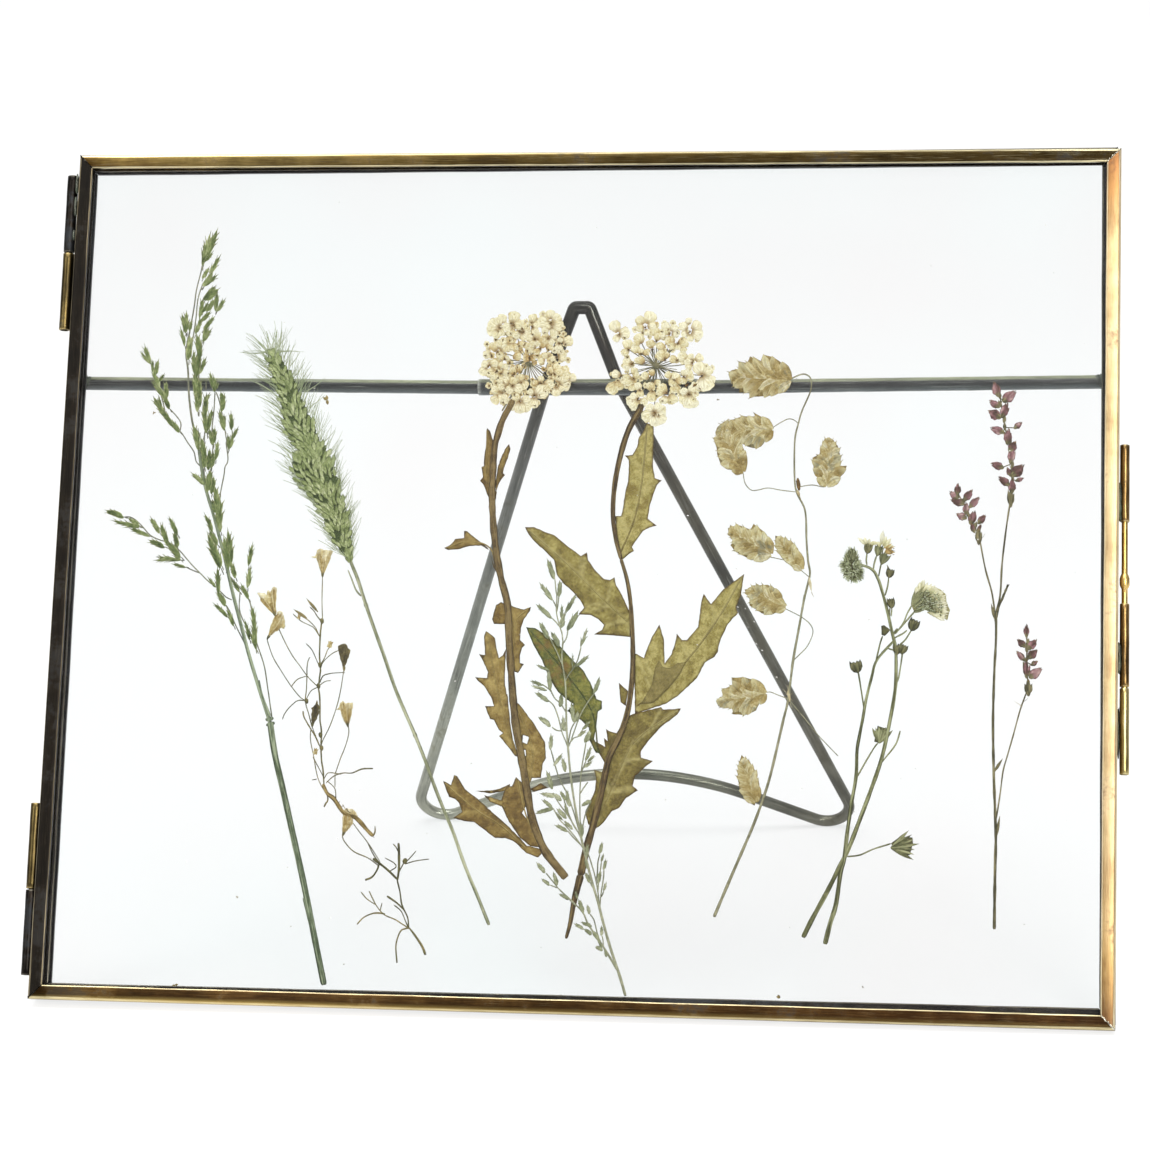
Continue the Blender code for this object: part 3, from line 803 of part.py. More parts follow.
def solid(name, points, faces, look, origin=None, round_piece=False):
    """An object from points in (u, v, w), with its origin at a point of the frame."""
    centre = world(origin) if origin else Vector((0, 0, 0))
    mesh = bpy.data.meshes.new(name)
    mesh.from_pydata([(world(point) - centre) * MILLIMETRE for point in points], [], faces)
    work = bmesh.new()
    work.from_mesh(mesh)
    bmesh.ops.recalc_face_normals(work, faces=work.faces)
    bmesh.ops.triangulate(work, faces=[face for face in work.faces if len(face.verts) > 4])
    work.to_mesh(mesh)
    work.free()
    if round_piece:
        mesh.shade_smooth()
        mesh.set_sharp_from_angle(angle=math.radians(SMOOTH_ANGLE_DEG))
    mesh.materials.append(material(name, *look))
    made = bpy.data.objects.new(name, mesh)
    made.location = centre * MILLIMETRE
    bpy.context.scene.collection.objects.link(made)
    return made


BRASS = ((0.42, 0.31, 0.15), 0.35, 1.0)
BRIGHT_BRASS = ((0.62, 0.48, 0.26), 0.28, 1.0)
DARK_BRASS = ((0.17, 0.13, 0.08), 0.42, 1.0)
PATINA = ((0.16, 0.16, 0.12), 0.5, 0.9)
GLASS = ((0.9, 0.95, 0.93), 0.05, 0.0, 0.25)


# ---- Frame pieces ------------------------------------------------------------------------------
def channel_section(front_w, pane_front_w, face):
    """The rail's section as (distance in from the outer edge, w), with its groove for the pane."""
    back_w = front_w - LEAF_DEPTH
    groove_front = pane_front_w + GAP
    groove_back = groove_front - GROOVE_WIDTH
    return [
        (0, front_w - RAIL_CHAMFER),
        (RAIL_CHAMFER, front_w),
        (face, front_w),
        (face, groove_front),
        (GROOVE_FLOOR, groove_front),
        (GROOVE_FLOOR, groove_back),
        (face, groove_back),
        (face, back_w),
        (0, back_w),
    ]


def rail(name, side, section, look, place):
    """One rail, with mitred ends. Side is top, bottom, left or right."""
    points = []
    for end in (-1, 1):
        for inset, w in section:
            if side in ("top", "bottom"):
                out = 1 if side == "top" else -1
                u = end * (FRAME_WIDTH / 2 - inset - MITRE_GAP)
                v = out * (FRAME_HEIGHT / 2 - inset)
            else:
                out = 1 if side == "right" else -1
                u = out * (FRAME_WIDTH / 2 - inset)
                v = end * (FRAME_HEIGHT / 2 - inset - MITRE_GAP)
            points.append(place((u, v, w)))
    count = len(section)
    faces = [list(range(count)), list(range(count, 2 * count))]
    for i in range(count):
        j = (i + 1) % count
        faces.append([i, j, count + j, count + i])
    return solid(name, points, faces, look, HINGE_ORIGIN if place is on_front_leaf else None)


def pane(name, front_w, place):
    half_u = FRAME_WIDTH / 2 - GROOVE_FLOOR - GAP
    half_v = FRAME_HEIGHT / 2 - GROOVE_FLOOR - GAP
    corners = [(-half_u, -half_v), (half_u, -half_v), (half_u, half_v), (-half_u, half_v)]
    points = [place((u, v, w)) for w in (front_w - PANE_THICKNESS, front_w) for u, v in corners]
    faces = [[0, 1, 2, 3], [4, 5, 6, 7], [0, 1, 5, 4], [1, 2, 6, 5], [2, 3, 7, 6], [3, 0, 4, 7]]
    return solid(name, points, faces, GLASS, HINGE_ORIGIN if place is on_front_leaf else None)


def tube_faces(rings, hollow=False):
    """The faces round a row of rings: closed by flat ends, or back to the first ring if hollow."""
    faces = []
    for ring in range(rings if hollow else rings - 1):
        after = (ring + 1) % rings
        for step in range(TUBE_SIDES):
            turn = (step + 1) % TUBE_SIDES
            faces.append([ring * TUBE_SIDES + step, ring * TUBE_SIDES + turn,
                          after * TUBE_SIDES + turn, after * TUBE_SIDES + step])
    if not hollow:
        faces.append(list(range(TUBE_SIDES)))
        faces.append(list(range((rings - 1) * TUBE_SIDES, rings * TUBE_SIDES)))
    return faces


def turned(name, profile, axis, centre, look, origin=None, hollow=False):
    """A body of revolution. The profile is (position along the axis, radius)."""
    across = {"u": (1, 2), "v": (0, 2)}[axis]
    along = {"u": 0, "v": 1}[axis]
    points = []
    for position, radius in profile:
        for step in range(TUBE_SIDES):
            turn = 2 * math.pi * (step + 0.5) / TUBE_SIDES
            point = list(centre)
            point[along] = position
            point[across[0]] += radius * math.cos(turn)
            point[across[1]] += radius * math.sin(turn)
            points.append(point)
    return solid(name, points, tube_faces(len(profile), hollow), look, origin, round_piece=True)


def tube(name, ends, axis, centre, radius, bore, look, origin=None):
    start, end = ends
    profile = [(start, bore), (start, radius), (end, radius), (end, bore)]
    return turned(name, profile, axis, centre, look, origin, hollow=True)


def crossbar(look):
    """The rod that the stand turns on: straight in its sleeve, and bent up a little to its ends."""
    left, right = CROSSBAR_ENDS
    points = []
    for u in (left, -CROSSBAR_STRAIGHT, CROSSBAR_STRAIGHT, right):
        rise = CROSSBAR_RISE if u in CROSSBAR_ENDS else 0.0
        for step in range(TUBE_SIDES):
            turn = 2 * math.pi * (step + 0.5) / TUBE_SIDES
            points.append((u, PIVOT_V + rise + CROSSBAR_RADIUS * math.cos(turn),
                           PIVOT_W + CROSSBAR_RADIUS * math.sin(turn)))
    return solid("stand_crossbar", points, tube_faces(4), look, STAND_ORIGIN, round_piece=True)


def stand_wire(look):
    """The stand's one closed loop of wire: a ring of points at each place along it."""
    half = wire_half()
    places = half + [(along, -across, angle) for along, across, angle in reversed(half[1:])]
    centres = [stand_frame(*place) for place in places]
    points = []
    for index, centre in enumerate(centres):
        ahead = (centres[(index + 1) % len(centres)] - centre).normalized()
        behind = (centre - centres[index - 1]).normalized()
        along = (ahead + behind).normalized()
        angle = math.radians(places[index][2])
        outward = Vector((0, math.sin(angle), -math.cos(angle)))
        across = along.cross(outward).normalized()
        outward = across.cross(along).normalized()
        mitre = 1 / max(math.sqrt((1 + ahead.dot(behind)) / 2), SHARPEST_MITRE)
        for step in range(WIRE_SIDES):
            turn = 2 * math.pi * (step + 0.5) / WIRE_SIDES
            offset = across * math.cos(turn) * mitre + outward * math.sin(turn)
            points.append(centre + offset * WIRE_RADIUS)
    faces = []
    for ring in range(len(centres)):
        after = (ring + 1) % len(centres)
        for step in range(WIRE_SIDES):
            turn = (step + 1) % WIRE_SIDES
            faces.append([ring * WIRE_SIDES + step, ring * WIRE_SIDES + turn,
                          after * WIRE_SIDES + turn, after * WIRE_SIDES + step])
    return solid("stand_wire", points, faces, look, STAND_ORIGIN, round_piece=True)


def build_frame():
    front_section = channel_section(0.0, FRONT_PANE_FRONT_W, FRONT_RAIL_FACE)
    back_section = channel_section(-LEAF_DEPTH - GAP, BACK_PANE_FRONT_W, BACK_RAIL_FACE)
    for side in ("top", "bottom", "left", "right"):
        rail("back_rail_" + side, side, back_section, DARK_BRASS, Vector)
        rail("front_rail_" + side, side, front_section, BRASS, on_front_leaf)
    pane("back_glass", BACK_PANE_FRONT_W, Vector)
    pane("front_glass", FRONT_PANE_FRONT_W, on_front_leaf)

    for name, ends, look, origin in (
        ("hinge_upper_front", HINGE_UPPER_FRONT, DARK_BRASS, HINGE_ORIGIN),
        ("hinge_upper_back", HINGE_UPPER_BACK, BRIGHT_BRASS, None),
        ("hinge_lower_back", HINGE_LOWER_BACK, BRIGHT_BRASS, None),
        ("hinge_lower_front", HINGE_LOWER_FRONT, DARK_BRASS, HINGE_ORIGIN),
    ):
        tube(name, ends, "v", HINGE_ORIGIN, HINGE_RADIUS, PIN_BORE, look, origin)
    for name, top, bottom in (
        ("hinge_pin_upper", HINGE_UPPER_FRONT[0], HINGE_UPPER_BACK[1]),
        ("hinge_pin_lower", HINGE_LOWER_BACK[0], HINGE_LOWER_FRONT[1]),
    ):
        ends = [(top - HINGE_PIN_INSET, PIN_RADIUS), (bottom + HINGE_PIN_INSET, PIN_RADIUS)]
        turned(name, ends, "v", HINGE_ORIGIN, DARK_BRASS)

    for name, ends, look, origin in (
        ("clasp_tube_upper", CLASP_UPPER, BRASS, HINGE_ORIGIN),
        ("clasp_tube_middle", CLASP_MIDDLE, BRASS, HINGE_ORIGIN),
        ("clasp_tube_lower", CLASP_LOWER, BRIGHT_BRASS, None),
    ):
        tube(name, ends, "v", CLASP_ORIGIN, CLASP_RADIUS, PIN_BORE, look, origin)
    handle_top, handle_bottom = CLASP_HANDLE
    swell = (handle_top - handle_bottom) / 4
    profile = [
        (CLASP_PIN[0], PIN_RADIUS),
        (handle_top, PIN_RADIUS),
        (handle_top - swell, CLASP_HANDLE_RADIUS),
        (handle_bottom + swell, CLASP_HANDLE_RADIUS),
        (handle_bottom, PIN_RADIUS),
        (CLASP_PIN[1], PIN_RADIUS),
    ]
    turned("clasp_pin", profile, "v", CLASP_ORIGIN, BRIGHT_BRASS, CLASP_ORIGIN)

    crossbar(PATINA)
    tube("stand_sleeve", SLEEVE_ENDS, "u", STAND_ORIGIN, SLEEVE_RADIUS, SLEEVE_BORE, PATINA,
         STAND_ORIGIN)
    stand_wire(PATINA)


# ---- Flat outlines, in the photograph's pixels, with y turned upwards --------------------------
def upright(points):
    """The outline with y upwards, its corners in anticlockwise order."""
    flipped = [(x, -y) for x, y in points]
    area = sum(a[0] * b[1] - b[0] * a[1] for a, b in zip(flipped, flipped[1:] + flipped[:1]))
    return flipped if area > 0 else flipped[::-1]


def thinned(points, tolerance):
    """A centreline with only the points that its shape needs."""
    if len(points) < 3:
        return list(points)
    start, end = Vector(points[0]), Vector(points[-1])
    line = (end - start).normalized()
    offsets = [abs(line.cross(Vector(point) - start)) for point in points[1:-1]]
    farthest = max(offsets)
    if farthest < tolerance:
        return [points[0], points[-1]]
    split = offsets.index(farthest) + 1
    return thinned(points[:split + 1], tolerance)[:-1] + thinned(points[split:], tolerance)


def ribbon(strand):
    """A stem or thread as one quad per length, so that its outline can never cross itself."""
    start_width, end_width, points = strand
    centres = [Vector(point) for point in thinned(points, CENTRELINE_SIMPLIFY_PX)]
    lengths = [0.0]
    for a, b in zip(centres, centres[1:]):
        lengths.append(lengths[-1] + (b - a).length)
    sides = []
    for index, centre in enumerate(centres):
        along = (centres[min(index + 1, len(centres) - 1)] - centres[max(index - 1, 0)])
        across = Vector((-along.y, along.x)).normalized()
        width = start_width + (end_width - start_width) * lengths[index] / lengths[-1]
        offset = across * max(width, THIN_PX) / 2
        sides.append((centre + offset, centre - offset))
    return [upright([tuple(a[0]), tuple(a[1]), tuple(b[1]), tuple(b[0])])
            for a, b in zip(sides, sides[1:])]


def spikelet(values):
    """A grass spikelet as a kite, widest below its middle."""
    base_x, base_y, tip_x, tip_y, width = values
    base, tip = Vector((base_x, base_y)), Vector((tip_x, tip_y))
    along = (tip - base).normalized()
    across = Vector((-along.y, along.x)) * (width / 2)
    middle = base.lerp(tip, SPIKELET_WIDEST)
    foot = base - along * THIN_PX
    return upright([tuple(foot), tuple(middle + across), tuple(tip), tuple(middle - across)])


def disc(x, y, width, height, sides):
    """A small round piece, with straight sides that keep its area."""
    keep = math.sqrt(2 * math.pi / (sides * math.sin(2 * math.pi / sides)))
    points = []
    for step in range(sides):
        turn = 2 * math.pi * step / sides
        points.append((x + width / 2 * keep * math.cos(turn), y + height / 2 * keep * math.sin(turn)))
    return upright(points)


def merged(shapes, cuts):
    """The triangles of the shapes' union less the cuts, as (points, triangles)."""
    points = []
    faces = []
    for outline in shapes + cuts:
        faces.append(list(range(len(points), len(points) + len(outline))))
        points += [Vector(point) for point in outline]
    made = delaunay_2d_cdt(points, [], faces, 1, MERGE_PX, True)
    triangles = []
    for triangle, sources in zip(made[2], made[5]):
        inside = any(source < len(shapes) for source in sources)
        outside = any(source >= len(shapes) for source in sources)
        if inside and not outside:
            triangles.append(tuple(triangle))
    return made[0], triangles


def parts_of(triangles):
    """The triangles in groups that share edges, the largest group first."""
    by_edge = {}
    for index, triangle in enumerate(triangles):
        for a, b in zip(triangle, triangle[1:] + triangle[:1]):
            by_edge.setdefault((min(a, b), max(a, b)), []).append(index)
    group = list(range(len(triangles)))

    def top(index):
        while group[index] != index:
            group[index] = group[group[index]]
            index = group[index]
        return index

    for sharing in by_edge.values():
        for other in sharing[1:]:
            group[top(other)] = top(sharing[0])
    groups = {}
    for index, triangle in enumerate(triangles):
        groups.setdefault(top(index), []).append(triangle)
    return sorted(groups.values(), key=len, reverse=True)


def bridges(points, groups):
    """Short thin quads that join each loose part to its nearest neighbour."""
    made = []
    main = sorted({index for triangle in groups[0] for index in triangle})
    for group in groups[1:]:
        loose = sorted({index for triangle in group for index in triangle})
        gap, a, b = min(((points[i] - points[j]).length, i, j) for i in loose for j in main)
        if gap < LONGEST_BRIDGE_PX:
            along = (points[b] - points[a]).normalized() if gap > 1e-6 else Vector((1, 0))
            start, end = points[a] - along * THIN_PX, points[b] + along * THIN_PX
            across = Vector((-along.y, along.x)) * (THIN_PX / 2)
            quad = [start - across, end - across, end + across, start + across]
            made.append([tuple(corner) for corner in quad])
    return made


def loops_of(triangles):
    """The boundary loops of some triangles, and the points where two loops touch."""
    edges = set()
    for triangle in triangles:
        for a, b in zip(triangle, triangle[1:] + triangle[:1]):
            edges.add((a, b))
    following = {}
    for a, b in edges:
        if (b, a) not in edges:
            following.setdefault(a, []).append(b)
    pinches = [a for a, after in following.items() if len(after) > 1]
    loops = []
    while following and not pinches:
        start = min(following)
        loop = [start]
        index = following.pop(start)[0]
        while index != start:
            loop.append(index)
            index = following.pop(index)[0]
        loops.append(loop)
    return loops, pinches


def loop_area(loop):
    return sum(a.cross(b) for a, b in zip(loop, loop[1:] + loop[:1])) / 2


def simpler(loop, tolerance):
    """The loop without corners that lie within the tolerance of a straight line."""
    loop = list(loop)
    while len(loop) > 4:
        count = len(loop)
        offsets = []
        for index in range(count):
            before, here, after = loop[index - 1], loop[index], loop[(index + 1) % count]
            line = after - before
            length = line.length
            offset = abs(line.cross(here - before)) / length if length > 1e-6 else 0.0
            offsets.append(offset)
        least = min(offsets)
        if least > tolerance:
            break
        loop.pop(offsets.index(least))
    return loop


def crosses_itself(loops):
    """Whether any two edges of the loops meet, found as new points in a triangulation."""
    points = [point for loop in loops for point in loop]
    edges = []
    start = 0
    for loop in loops:
        edges += [(start + i, start + (i + 1) % len(loop)) for i in range(len(loop))]
        start += len(loop)
    made = delaunay_2d_cdt(points, edges, [], 0, MERGE_PX / 10, False)
    return len(made[0]) != len(points)


def outline_loops(shapes, cuts):
    """One connected outline for a specimen's piece: its outer loop and its open gaps."""
    shapes = list(shapes)
    for attempt in range(OUTLINE_ATTEMPTS):
        points, triangles = merged(shapes, cuts)
        groups = parts_of(triangles)
        joins = bridges(points, groups) if len(groups) > 1 and attempt < BRIDGE_ATTEMPTS else []
        if joins:
            shapes += joins
            continue
        loops, pinches = loops_of(groups[0])
        if not pinches:
            break
        for index in pinches:
            x, y = points[index]
            patch = [(x - THIN_PX / 2, y - THIN_PX / 2), (x + THIN_PX / 2, y - THIN_PX / 2),
                     (x + THIN_PX / 2, y + THIN_PX / 2), (x - THIN_PX / 2, y + THIN_PX / 2)]
            if attempt < OUTLINE_ATTEMPTS // 2:
                shapes.append(patch)
            else:
                cuts = cuts + [patch]
    loops = [[points[index] for index in loop] for loop in loops]
    outer = max(loops, key=loop_area)
    loops = [outer] + [loop for loop in loops if loop_area(loop) < -SMALLEST_HOLE_PX2]
    for tolerance in (SIMPLIFY_PX, SIMPLIFY_PX / 2, SIMPLIFY_PX / 8):
        smooth = [simpler(loop, tolerance) for loop in loops]
        if not crosses_itself(smooth):
            return smooth
    return loops


def grown(loops, box):
    """The outline made wider by the gap between pieces, as cuts: the outline and its edges."""
    low_x, low_y, high_x, high_y = box
    cuts = []
    for loop in loops:
        if loop_area(loop) > 0:
            cuts.append([tuple(point) for point in loop])
        for a, b in zip(loop, loop[1:] + loop[:1]):
            if max(a.x, b.x) < low_x or min(a.x, b.x) > high_x:
                continue
            if max(a.y, b.y) < low_y or min(a.y, b.y) > high_y:
                continue
            along = (b - a).normalized() * PIECE_GAP_PX
            across = Vector((-along.y, along.x))
            quad = [a - along - across, b + along - across, b + along + across, a - along + across]
            cuts.append([tuple(corner) for corner in quad])
    return cuts


# ---- From the photograph to the plants' layer --------------------------------------------------
def camera_axes():
    """The camera's right, down and forward directions, in (u, v, w) of the front leaf."""
    turn = math.radians(CAMERA_TURN_DEG)
    pitch = math.radians(CAMERA_PITCH_DEG)
    roll = math.radians(CAMERA_ROLL_DEG)
    forward = Vector((-math.sin(turn) * math.cos(pitch), math.sin(pitch),
                      -math.cos(turn) * math.cos(pitch)))
    level = forward.cross(Vector((0, 1, 0))).normalized()
    upward = level.cross(forward)
    right = level * math.cos(roll) + upward * math.sin(roll)
    return right, forward.cross(right), forward


def on_layer(x, y, w):
    """The point (u, v) of the plants' layer that the camera sees at a pixel; y is upwards."""
    right, down, forward = camera_axes()
    ray = forward * FOCAL_PX + right * (x - PHOTO_CENTRE) + down * (-y - PHOTO_CENTRE)
    reach = (w - CAMERA[2]) / ray.z
    seen = Vector(CAMERA) + ray * reach
    return on_front_leaf(seen)


def specimen(name, loops, back_w, look):
    """One flat piece of a plant, from its outline."""
    front_w = back_w + PLANT_THICKNESS
    outer = [[tuple(point) for point in loop] for loop in loops if loop_area(loop) > 0]
    holes = [[tuple(point) for point in loop[::-1]] for loop in loops if loop_area(loop) < 0]
    points, triangles = merged(outer, holes)
    boundary = set()
    for triangle in triangles:
        boundary |= set(zip(triangle, triangle[1:] + triangle[:1]))
    count = len(points)
    placed = [on_layer(point.x, point.y, (back_w + front_w) / 2) for point in points]
    corners = [Vector((p.x, p.y, w)) for w in (back_w, front_w) for p in placed]
    faces = [[c + count for c in triangle] for triangle in triangles]
    faces += [list(reversed(triangle)) for triangle in triangles]
    for a, b in sorted(boundary):
        if (b, a) not in boundary:
            faces.append([a, b, b + count, a + count])
    return solid(name, corners, faces, look)


def bounds_of(shapes):
    xs = [x for outline in shapes for x, _ in outline]
    ys = [y for outline in shapes for _, y in outline]
    margin = 2 * PIECE_GAP_PX
    return min(xs) - margin, min(ys) - margin, max(xs) + margin, max(ys) + margin


class Layer:
    """A layer of specimens. Each new piece gives way to those already laid."""

    def __init__(self, back_w):
        self.back_w = back_w
        self.laid = []

    def lay(self, name, shapes, look, holes=()):
        box = bounds_of(shapes)
        cuts = [upright(hole) for hole in holes]
        for loops in self.laid:
            cuts += grown(loops, box)
        loops = outline_loops(shapes, cuts)
        self.laid.append(loops)
        return specimen(name, loops, self.back_w, look)


# ---- Plants ------------------------------------------------------------------------------------
BROME_LOOK = ((0.21, 0.24, 0.10), 0.8)
FOXTAIL_LOOK = ((0.30, 0.34, 0.15), 0.85)
BELL_LOOK = ((0.58, 0.45, 0.17), 0.7)
BELL_STEM_LOOK = ((0.22, 0.19, 0.12), 0.8)
UMBEL_FLOWER_LOOK = ((0.66, 0.60, 0.33), 0.8)
UMBEL_STEM_LOOK = ((0.25, 0.18, 0.08), 0.8)
LEFT_LEAF_LOOK = ((0.32, 0.23, 0.09), 0.8)
RIGHT_LEAF_LOOK = ((0.27, 0.22, 0.08), 0.8)
SHADED_LEAF_LOOK = ((0.07, 0.08, 0.04), 0.8)
MEADOW_LOOK = ((0.40, 0.40, 0.22), 0.8)
QUAKING_LOOK = ((0.52, 0.39, 0.15), 0.7)
QUAKING_STEM_LOOK = ((0.33, 0.26, 0.12), 0.8)
KNAPWEED_LOOK = ((0.15, 0.15, 0.05), 0.8)
KNOTWEED_LOOK = ((0.40, 0.19, 0.20), 0.8)
KNOTWEED_STEM_LOOK = ((0.16, 0.13, 0.07), 0.8)


def ribbons(strands):
    return [quad for strand in strands for quad in ribbon(strand)]


def spikelets(rows):
    return [spikelet(row) for row in rows]


def buds(rows, sides=BUD_SIDES):
    return [disc(*row, sides) for row in rows]


def hull(points):
    """The convex outline round some points, anticlockwise."""
    points = sorted(set(points))
    chains = []
    for ordered in (points, points[::-1]):
        chain = []
        for point in ordered:
            while len(chain) > 1:
                a, b = Vector(chain[-2]), Vector(chain[-1])
                if (b - a).cross(Vector(point) - a) > 0:
                    break
                chain.pop()
            chain.append(point)
        chains.append(chain[:-1])
    return chains[0] + chains[1]


def umbel_head(centre, flowers):
    """One outline round each flower's petals, joined to the middle of the head by its ray."""
    shapes = []
    for middle, petals in flowers:
        shapes += ribbon((1, 1, [centre, middle]))
        corners = [disc(middle[0], middle[1], THIN_PX, THIN_PX, PETAL_SIDES)]
        corners += [disc(x, y, 2 * r, 2 * r, PETAL_SIDES) for x, y, r in petals]
        shapes.append(hull([corner for outline in corners for corner in outline]))
    return shapes


def foxtail_head():
    """The head's body with a thin spike out to the tip of each long bristle."""
    shapes = [upright(FOXTAIL_LEFT_EDGE + FOXTAIL_RIGHT_EDGE[::-1])]
    axis = [((a[0] + b[0]) / 2, (a[1] + b[1]) / 2)
            for a, b in zip(FOXTAIL_LEFT_EDGE, FOXTAIL_RIGHT_EDGE)]
    for tip in FOXTAIL_BRISTLE_TIPS:
        foot_y = tip[1] + FOXTAIL_BRISTLE_DROP
        root = min(axis, key=lambda point: abs(point[1] - foot_y))
        base = Vector(root).lerp(Vector(tip), FOXTAIL_BRISTLE_ROOT)
        across = Vector((-(tip[1] - root[1]), tip[0] - root[0])).normalized() * THIN_PX
        shapes.append(upright([tuple(base + across), tuple(base - across), tip]))
    return shapes


def build_brome(layer):
    lower, upper = BROME_CULM_LOWER, BROME_CULM_UPPER
    stem = ribbons([BROME_STEM, lower]) + [spikelet(BROME_FOOT_BULGE)]
    layer.lay("brome_stem", stem, BROME_LOOK)
    shapes = ribbons([upper] + BROME_TIP_STRANDS + BROME_MIDDLE_STRANDS)
    shapes += spikelets(BROME_TIP_SPIKELETS + BROME_MIDDLE_SPIKELETS)
    layer.lay("brome_upper_panicle", shapes, BROME_LOOK)
    shapes = ribbons(BROME_LOWER_STRANDS) + spikelets(BROME_LOWER_SPIKELETS)
    layer.lay("brome_lower_panicle", shapes, BROME_LOOK)


def build_foxtail(layer):
    layer.lay("foxtail_head", foxtail_head(), FOXTAIL_LOOK)
    layer.lay("foxtail_stem", ribbons([FOXTAIL_STEM, FOXTAIL_SHEATH]), FOXTAIL_LOOK)


def build_bell_sprig(layer):
    top = ribbons([BELL_STEM] + BELL_STRANDS[:BELL_ROOT_STRANDS_START])
    top += [upright(flower) for flower in BELL_FLOWERS[:-1]]
    top += buds([(x, y, 2 * r, 2 * r) for x, y, r in BELL_BUDS])
    layer.lay("bell_sprig_top", top, BELL_LOOK)
    root = ribbons([BELL_ROOT] + BELL_STRANDS[BELL_ROOT_STRANDS_START:])
    root.append(upright(BELL_FLOWERS[-1]))
    layer.lay("bell_sprig_root", root, BELL_STEM_LOOK)
    foot = ribbons(BELL_FOOT_STRANDS)
    foot += buds([(x, y, 2 * r, 2 * r) for x, y, r in BELL_FOOT_BUDS])
    layer.lay("bell_sprig_foot", foot, BELL_STEM_LOOK)


def build_left_umbel(layer):
    leaves = {name: upright(points) for name, points in LEFT_UMBEL_LEAVES.items()}
    holes = LEFT_UMBEL_HOLES
    stem = ribbons([LEFT_UMBEL_STEM])
    stem += [leaves[name] for name in ("sheath_left", "sheath_right", "sheath_spur", "stem_flap",
                                       "foot_teeth", "low_curl")]
    layer.lay("left_umbel_stem", stem, UMBEL_STEM_LOOK)
    head = umbel_head(LEFT_UMBEL_CENTRE, LEFT_UMBEL_FLOWERS)
    layer.lay("left_umbel_head", head, UMBEL_FLOWER_LOOK)
    for name in ("left_high", "right_high", "left_middle", "right_middle"):
        gaps = {"left_middle": [holes["slit"]],
                "right_middle": [holes["gap_high"], holes["gap_low"]]}.get(name, [])
        layer.lay("left_umbel_leaf_" + name, [leaves[name]], LEFT_LEAF_LOOK, gaps)
    low = [leaves[name] for name in ("left_low", "low_blade", "low_point", "low_lobe")]
    layer.lay("left_umbel_leaf_low", low, LEFT_LEAF_LOOK, [holes["gap_foot"]])


def build_right_umbel(layer):
    leaves = {name: upright(points) for name, points in RIGHT_UMBEL_LEAVES.items()}
    stem = ribbons([RIGHT_UMBEL_STEM, RIGHT_UMBEL_STEM_LOW, RIGHT_UMBEL_STEM_FOOT])
    stem.append(leaves["small_tooth"])
    layer.lay("right_umbel_stem", stem, UMBEL_STEM_LOOK)
    head = umbel_head(RIGHT_UMBEL_CENTRE, RIGHT_UMBEL_FLOWERS)
    layer.lay("right_umbel_head", head, UMBEL_FLOWER_LOOK)
    for name in ("high", "left", "right", "low", "shaded"):
        look = SHADED_LEAF_LOOK if name == "shaded" else RIGHT_LEAF_LOOK
        shapes = [leaves[name]] + ([leaves["low_teeth"]] if name == "low" else [])
        layer.lay("right_umbel_leaf_" + name, shapes, look)


def build_meadow_grass(layer):
    shapes = ribbons([MEADOW_STEM, MEADOW_FOOT_STRAND])
    shapes += ribbons(MEADOW_UPPER_STRANDS + MEADOW_LOWER_STRANDS + MEADOW_FOOT_STRANDS)
    shapes += spikelets(MEADOW_UPPER_SPIKELETS + MEADOW_LOWER_SPIKELETS + MEADOW_FOOT_SPIKELETS)
    layer.lay("meadow_grass", shapes, MEADOW_LOOK)


def build_quaking_grass(layer):
    stem = ribbons([QUAKING_STEM] + QUAKING_STRANDS)
    stem.append(upright(QUAKING_HEADS["small"]))
    layer.lay("quaking_grass_stem", stem, QUAKING_STEM_LOOK)
    for name, outline in QUAKING_HEADS.items():
        if name != "small":
            layer.lay("quaking_grass_head_" + name, [upright(outline)], QUAKING_LOOK)


def build_knapweed(layer):
    stem = ribbons([KNAPWEED_STEM, KNAPWEED_SIDE_STEM] + KNAPWEED_STRANDS)
    stem += buds(KNAPWEED_BUDS)
    stem += [upright(outline) for outline in [KNAPWEED_BUD_LEAF, KNAPWEED_SMALL_FLOWER,
                                              KNAPWEED_FLOWER] + KNAPWEED_CAPSULES]
    layer.lay("knapweed_stems", stem, KNAPWEED_LOOK)
    layer.lay("knapweed_head", [upright(KNAPWEED_HEAD)], KNAPWEED_LOOK)
    layer.lay("knapweed_fan", [upright(KNAPWEED_FAN)], KNAPWEED_LOOK)


def build_knotweed(layer):
    stem = ribbons([KNOTWEED_STEM, KNOTWEED_SIDE_AXIS, KNOTWEED_LEAF]) + buds(KNOTWEED_SIDE_BUDS)
    layer.lay("knotweed_stem", stem, KNOTWEED_STEM_LOOK)
    tall = ribbons([KNOTWEED_TALL_AXIS]) + buds(KNOTWEED_TALL_BUDS)
    layer.lay("knotweed_tall_spike", tall, KNOTWEED_LOOK)
    short = ribbons([KNOTWEED_SHORT_AXIS]) + buds(KNOTWEED_SHORT_BUDS)
    layer.lay("knotweed_short_spike", short, KNOTWEED_LOOK)


def build_plants():
    back = Layer(LAYER_BACK_W)
    for build in (build_brome, build_foxtail, build_bell_sprig, build_left_umbel,
                  build_right_umbel, build_quaking_grass, build_knapweed, build_knotweed):
        build(back)
    build_meadow_grass(Layer(LAYER_FRONT_W))


